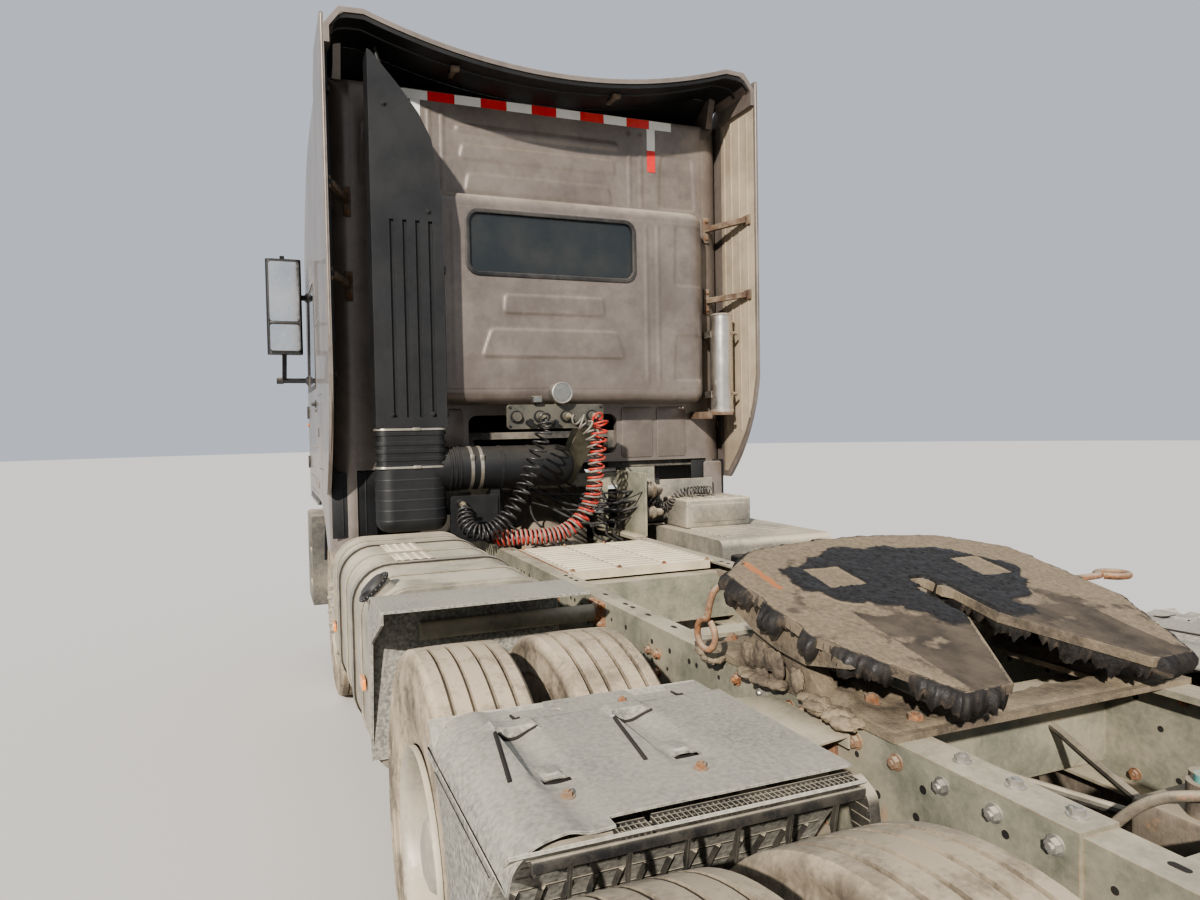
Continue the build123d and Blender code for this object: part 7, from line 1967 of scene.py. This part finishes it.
def lampX(y):
    return 3.488 - (lampArc - math.sqrt(lampArc ** 2 - y * y))


housing, bowls, lens, amber = bmesh.new(), bmesh.new(), bmesh.new(), bmesh.new()
for side in (1, -1):
    addFlank(housing, (3.3105, 3.318), side * 0.93, 0.204, (0.781, 0.939), 0.001)
    for z in (0.781, 0.934):
        outline = [(3.312, side * 0.93 - 0.203), (3.312, side * 0.93 + 0.203)]
        outline += [(lampX(0.93 + s * 0.0203 * side) - 0.006, side * 0.93 + s * 0.0203) for s in range(10, -11, -1)]
        addPrism(housing, outline, "z", z, z + 0.005)
    for y in (0.836, 0.972):
        x = 3.36 if y < 0.9 else 3.345
        addLathe(bowls, [(3.32, 0.0), (3.32, 0.024), (3.326, 0.046), (x, 0.066), (x, 0.0695), (3.3185, 0.05),
            (3.3185, 0.0)], (0, side * y, 0.86), 40, "x")
        addBall(bowls, (3.336, side * y, 0.86), 0.014, (1.4, 1, 1), 12)
    addFlank(amber, (3.322, 3.352), side * 1.088, 0.036, (0.79, 0.93), 0.006)
    rows = [[(lampX(0.726 + 0.0203 * i), side * (0.726 + 0.0203 * i), z) for i in range(21)]
        for z in (0.78, 0.82, 0.86, 0.9, 0.94)]
    liningSheet(lens, rows, 0.003)
lampPieces = [
    makePiece("headlampHousings", housing, "dustyBlack"),
    makePiece("headlampBowls", bowls, "mirrorFace"),
    makePiece("headlampAmber", amber, "lampAmber"),
    makePiece("headlampLenses", lens, "lampClear", sharp=50)]
for piece in lampPieces:
    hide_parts("headlamps")

# rear lamps rebuilt as a bar, dark bodies and ribbed lenses
mesh = bmesh.new()
addBox(mesh, (-3.4397, -1.215, 0.67), (-3.4003, 1.215, 0.73), 0.002)
for y in (-0.385, 0.385):
    addFlank(mesh, (-3.4397, -3.4003), y, 0.03, (0.71, 0.8), 0.001)
    addBolt(mesh, (-3.4397, y, 0.77), (-1, 0, 0), 0.011, 0.008)
rearPieces = [makePiece("rearLampBar", mesh, "framePaint")]
bodies, reds, ambers, clears = bmesh.new(), bmesh.new(), bmesh.new(), bmesh.new()
for side in (1, -1):
    addFlank(bodies, (-3.486, -3.44), side * 0.96, 0.21, (0.6352, 0.7648), 0.01)
    for target, low, high in ((ambers, 0.105, 0.2), (reds, 0.01, 0.1), (clears, -0.06, 0.005), (reds, -0.2, -0.065)):
        a, b = sorted((side * (0.96 + low), side * (0.96 + high)))
        addBox(target, (-3.4985, a, 0.643), (-3.48, b, 0.757), 0.005)
        for i in range(8):
            z = 0.652 + 0.0135 * i
            addBox(target, (-3.4998, a + 0.006, z), (-3.4975, b - 0.006, z + 0.004), 0.001)
rearPieces += [
    makePiece("rearLampBodies", bodies, "dustyBlack"),
    makePiece("rearLampRed", reds, "lampRed"),
    makePiece("rearLampAmber", ambers, "lampAmber"),
    makePiece("rearLampClear", clears, "lampClear")]
for piece in rearPieces:
    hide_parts("rear_lamps")
mesh = bmesh.new()
addPlate(mesh, (-0.26, 0.645), (0.26, 0.755), 0.008, "x", -3.4402, -3.4426, 0.0006)
makePiece("blankPlate", mesh, "tapeWhite")
print("lamps")

# Seats and bunk: crowned pads with sewn channels and piping on plain bases
seatSet = {"side": 0.69, "width": 0.5, "cushion": ((2.328, 2.728), (1.897, 2.006)), "lean": 11.7,
    "back": (2.246, 2.232), "backSize": (0.115, 0.48, 0.64)}


def padMesh(mesh, size, corner, crown, pull, channels, crossChannels, depth):
    # a soft closed slab round the origin: rounded corners, crowned faces, drawn-in sides and sewn channels on top
    verts = bmesh.ops.create_cube(mesh, size=1)["verts"]
    bmesh.ops.subdivide_edges(mesh, edges=list({e for v in verts for e in v.link_edges}), cuts=31, use_grid_fill=True)
    half = Vector(size) / 2
    inner = half - Vector((corner, corner, corner))
    for vert in mesh.verts:
        u, v, w = (c * 2 for c in vert.co)
        place = Vector((u * half.x, v * half.y, w * half.z))
        core = Vector((max(-inner.x, min(inner.x, place.x)), max(-inner.y, min(inner.y, place.y)),
            max(-inner.z, min(inner.z, place.z))))
        if (place - core).length > 1e-9:
            place = core + (place - core).normalized() * corner
        swell = max(0.0, 1 - abs(u) ** 2.2) * max(0.0, 1 - abs(v) ** 2.2)
        place.z += math.copysign(crown * swell, w) * (1.0 if abs(w) > 0.5 else abs(w) * 2)
        place.x *= 1 - pull * max(0.0, 1 - v * v) * 0.5
        place.y *= 1 - pull * max(0.0, 1 - u * u) * 0.5
        if w > 0.5:
            sewn = sum(math.exp(-((v - c) / 0.035) ** 2) for c in channels) * smoothShare((1 - abs(u)) / 0.12)
            sewn += sum(math.exp(-((u - c) / 0.03) ** 2) for c in crossChannels) * smoothShare((1 - abs(v)) / 0.12)
            place.z -= depth * min(1.2, sewn)
        place += Vector((0, 0, 0.0012 * noise.noise(place * 18)))
        vert.co = place


def addPad(name, size, corner, crown, pull, channels, matrix, material="seatFabric", crossChannels=(),
        depth=0.01):
    mesh = bmesh.new()
    padMesh(mesh, size, corner, crown, pull, channels, crossChannels, depth)
    bmesh.ops.transform(mesh, matrix=matrix, verts=mesh.verts)
    pad = makePiece(name, mesh, material, "cab", sharp=60)
    return pad


def addPiping(mesh, corners, matrix, radius=0.0035):
    # a sewn cord round a pad's edge, as a closed smooth line
    points = [matrix @ Vector(p) for p in corners]
    addPipe(mesh, [tuple(p) for p in points + points[:1]], radius, 5, 2)


pipingMesh, baseMesh, frameMesh = bmesh.new(), bmesh.new(), bmesh.new()
for side, label in ((1, "Left"), (-1, "Right")):
    y = side * seatSet["side"]
    (x0, x1), (z0, z1) = seatSet["cushion"]
    cushion = addPad("seatCushion" + label, (x1 - x0, seatSet["width"], z1 - z0), 0.034, 0.008, 0.03, (-0.62, 0.62),
        Matrix.Translation(((x0 + x1) / 2, y, (z0 + z1) / 2)) @ Matrix.Rotation(math.radians(-1.5), 4, "Y"),
        crossChannels=(-0.35, 0.15, 0.62))
    lean = (Matrix.Translation((seatSet["back"][0], y, seatSet["back"][1]))
        @ Matrix.Rotation(math.radians(-seatSet["lean"]), 4, "Y"))
    flat = Matrix.Rotation(math.radians(90), 4, "Y")     # the pad's top faces forward
    addPad("seatBack" + label, (seatSet["backSize"][2] * 0.77, seatSet["backSize"][1], 0.105), 0.034, 0.01, 0.04,
        (-0.6, 0.6), lean @ Matrix.Translation((0, 0, -0.055)) @ flat, crossChannels=(-0.4, 0.1, 0.55))
    addPad("headRest" + label, (0.165, 0.29, 0.085), 0.03, 0.008, 0.05, (),
        lean @ Matrix.Translation((-0.006, 0, 0.258)) @ flat)
    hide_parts("seats")
    for dy in (-0.09, 0.09):
        rod = [lean @ Vector((0.0, dy, 0.16)), lean @ Vector((0.0, dy, 0.24))]
        addRod(frameMesh, rod[0], rod[1], 0.007, 12)
    top = Matrix.Translation(((x0 + x1) / 2, y, z1 - 0.004))
    addPiping(pipingMesh, [(-0.165, -0.235, 0), (0.17, -0.235, 0), (0.185, -0.22, 0), (0.185, 0.22, 0),
        (0.17, 0.235, 0), (-0.165, 0.235, 0), (-0.18, 0.22, 0), (-0.18, -0.22, 0)], top)
    # arm rests, belt reel, scissor base with its bellows and the seat pan
    for dy in (-0.272, 0.272):
        if y + dy > 1.15 or y + dy < -1.15:
            continue
        addBox(baseMesh, (2.235, y + dy - 0.022, 2.135), (2.5, y + dy + 0.022, 2.175), 0.014, 3)
        addRod(frameMesh, (2.262, y + dy, 2.15), (2.262, y + dy * 0.86, 2.15), 0.016, 14)
    addFlank(baseMesh, (2.255, 2.705), y, 0.235, (1.872, 1.905), 0.01, 2)
    for i in range(9):
        grow = 0.0 if i % 2 else 0.014
        z = 1.555 + 0.034 * i
        addPrism(baseMesh, roundedOutline((2.318 - grow, y - 0.142 - grow), (2.602 + grow, y + 0.142 + grow),
            0.03 + grow, 4), "z", z, z + 0.034, 0.006, 1)
    addFlank(baseMesh, (2.312, 2.608), y, 0.148, (1.4505, 1.56), 0.012, 2)
    addBox(frameMesh, (2.25, y - 0.2, 1.462), (2.66, y - 0.165, 1.482), 0.004)
    addBox(frameMesh, (2.25, y + 0.165, 1.462), (2.66, y + 0.2, 1.482), 0.004)
makePiece("seatPiping", pipingMesh, "rubberTrim", "cab")
makePiece("seatBases", baseMesh, "dashPlastic", "cab")
makePiece("seatFrames", frameMesh, "runningGear", "cab")

bunkPad = addPad("bunkMattress", (0.585, 2.33, 0.116), 0.036, 0.006, 0.012, (-0.72, -0.43, -0.14, 0.14, 0.43, 0.72),
    Matrix.Translation((1.69, 0.0, 2.009)), crossChannels=(-0.33, 0.33), depth=0.007)
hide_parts("bunk")
addPad("bunkPillow", (0.34, 0.56, 0.12), 0.05, 0.018, 0.1, (), Matrix.Translation((1.7, 0.82, 2.128)),
    "pillowCloth")
mesh = bmesh.new()
for side in (1, -1):
    addFlank(mesh, (1.41, 1.97), side * 0.82, 0.25, (1.4505, 1.9495), 0.012, 2)
    addPlate(mesh, (side * 0.82 - 0.2, 1.52), (side * 0.82 + 0.2, 1.88), 0.03, "x", 1.9695, 1.9755, 0.003)
    addFlank(mesh, (1.975, 1.984), side * 0.82, 0.05, (1.7, 1.725), 0.004)
addBox(mesh, (1.4, -1.165, 1.935), (1.98, 1.165, 1.952), 0.004)
makePiece("bunkBase", mesh, "dashPlastic", "cab")
print("seats and bunk")
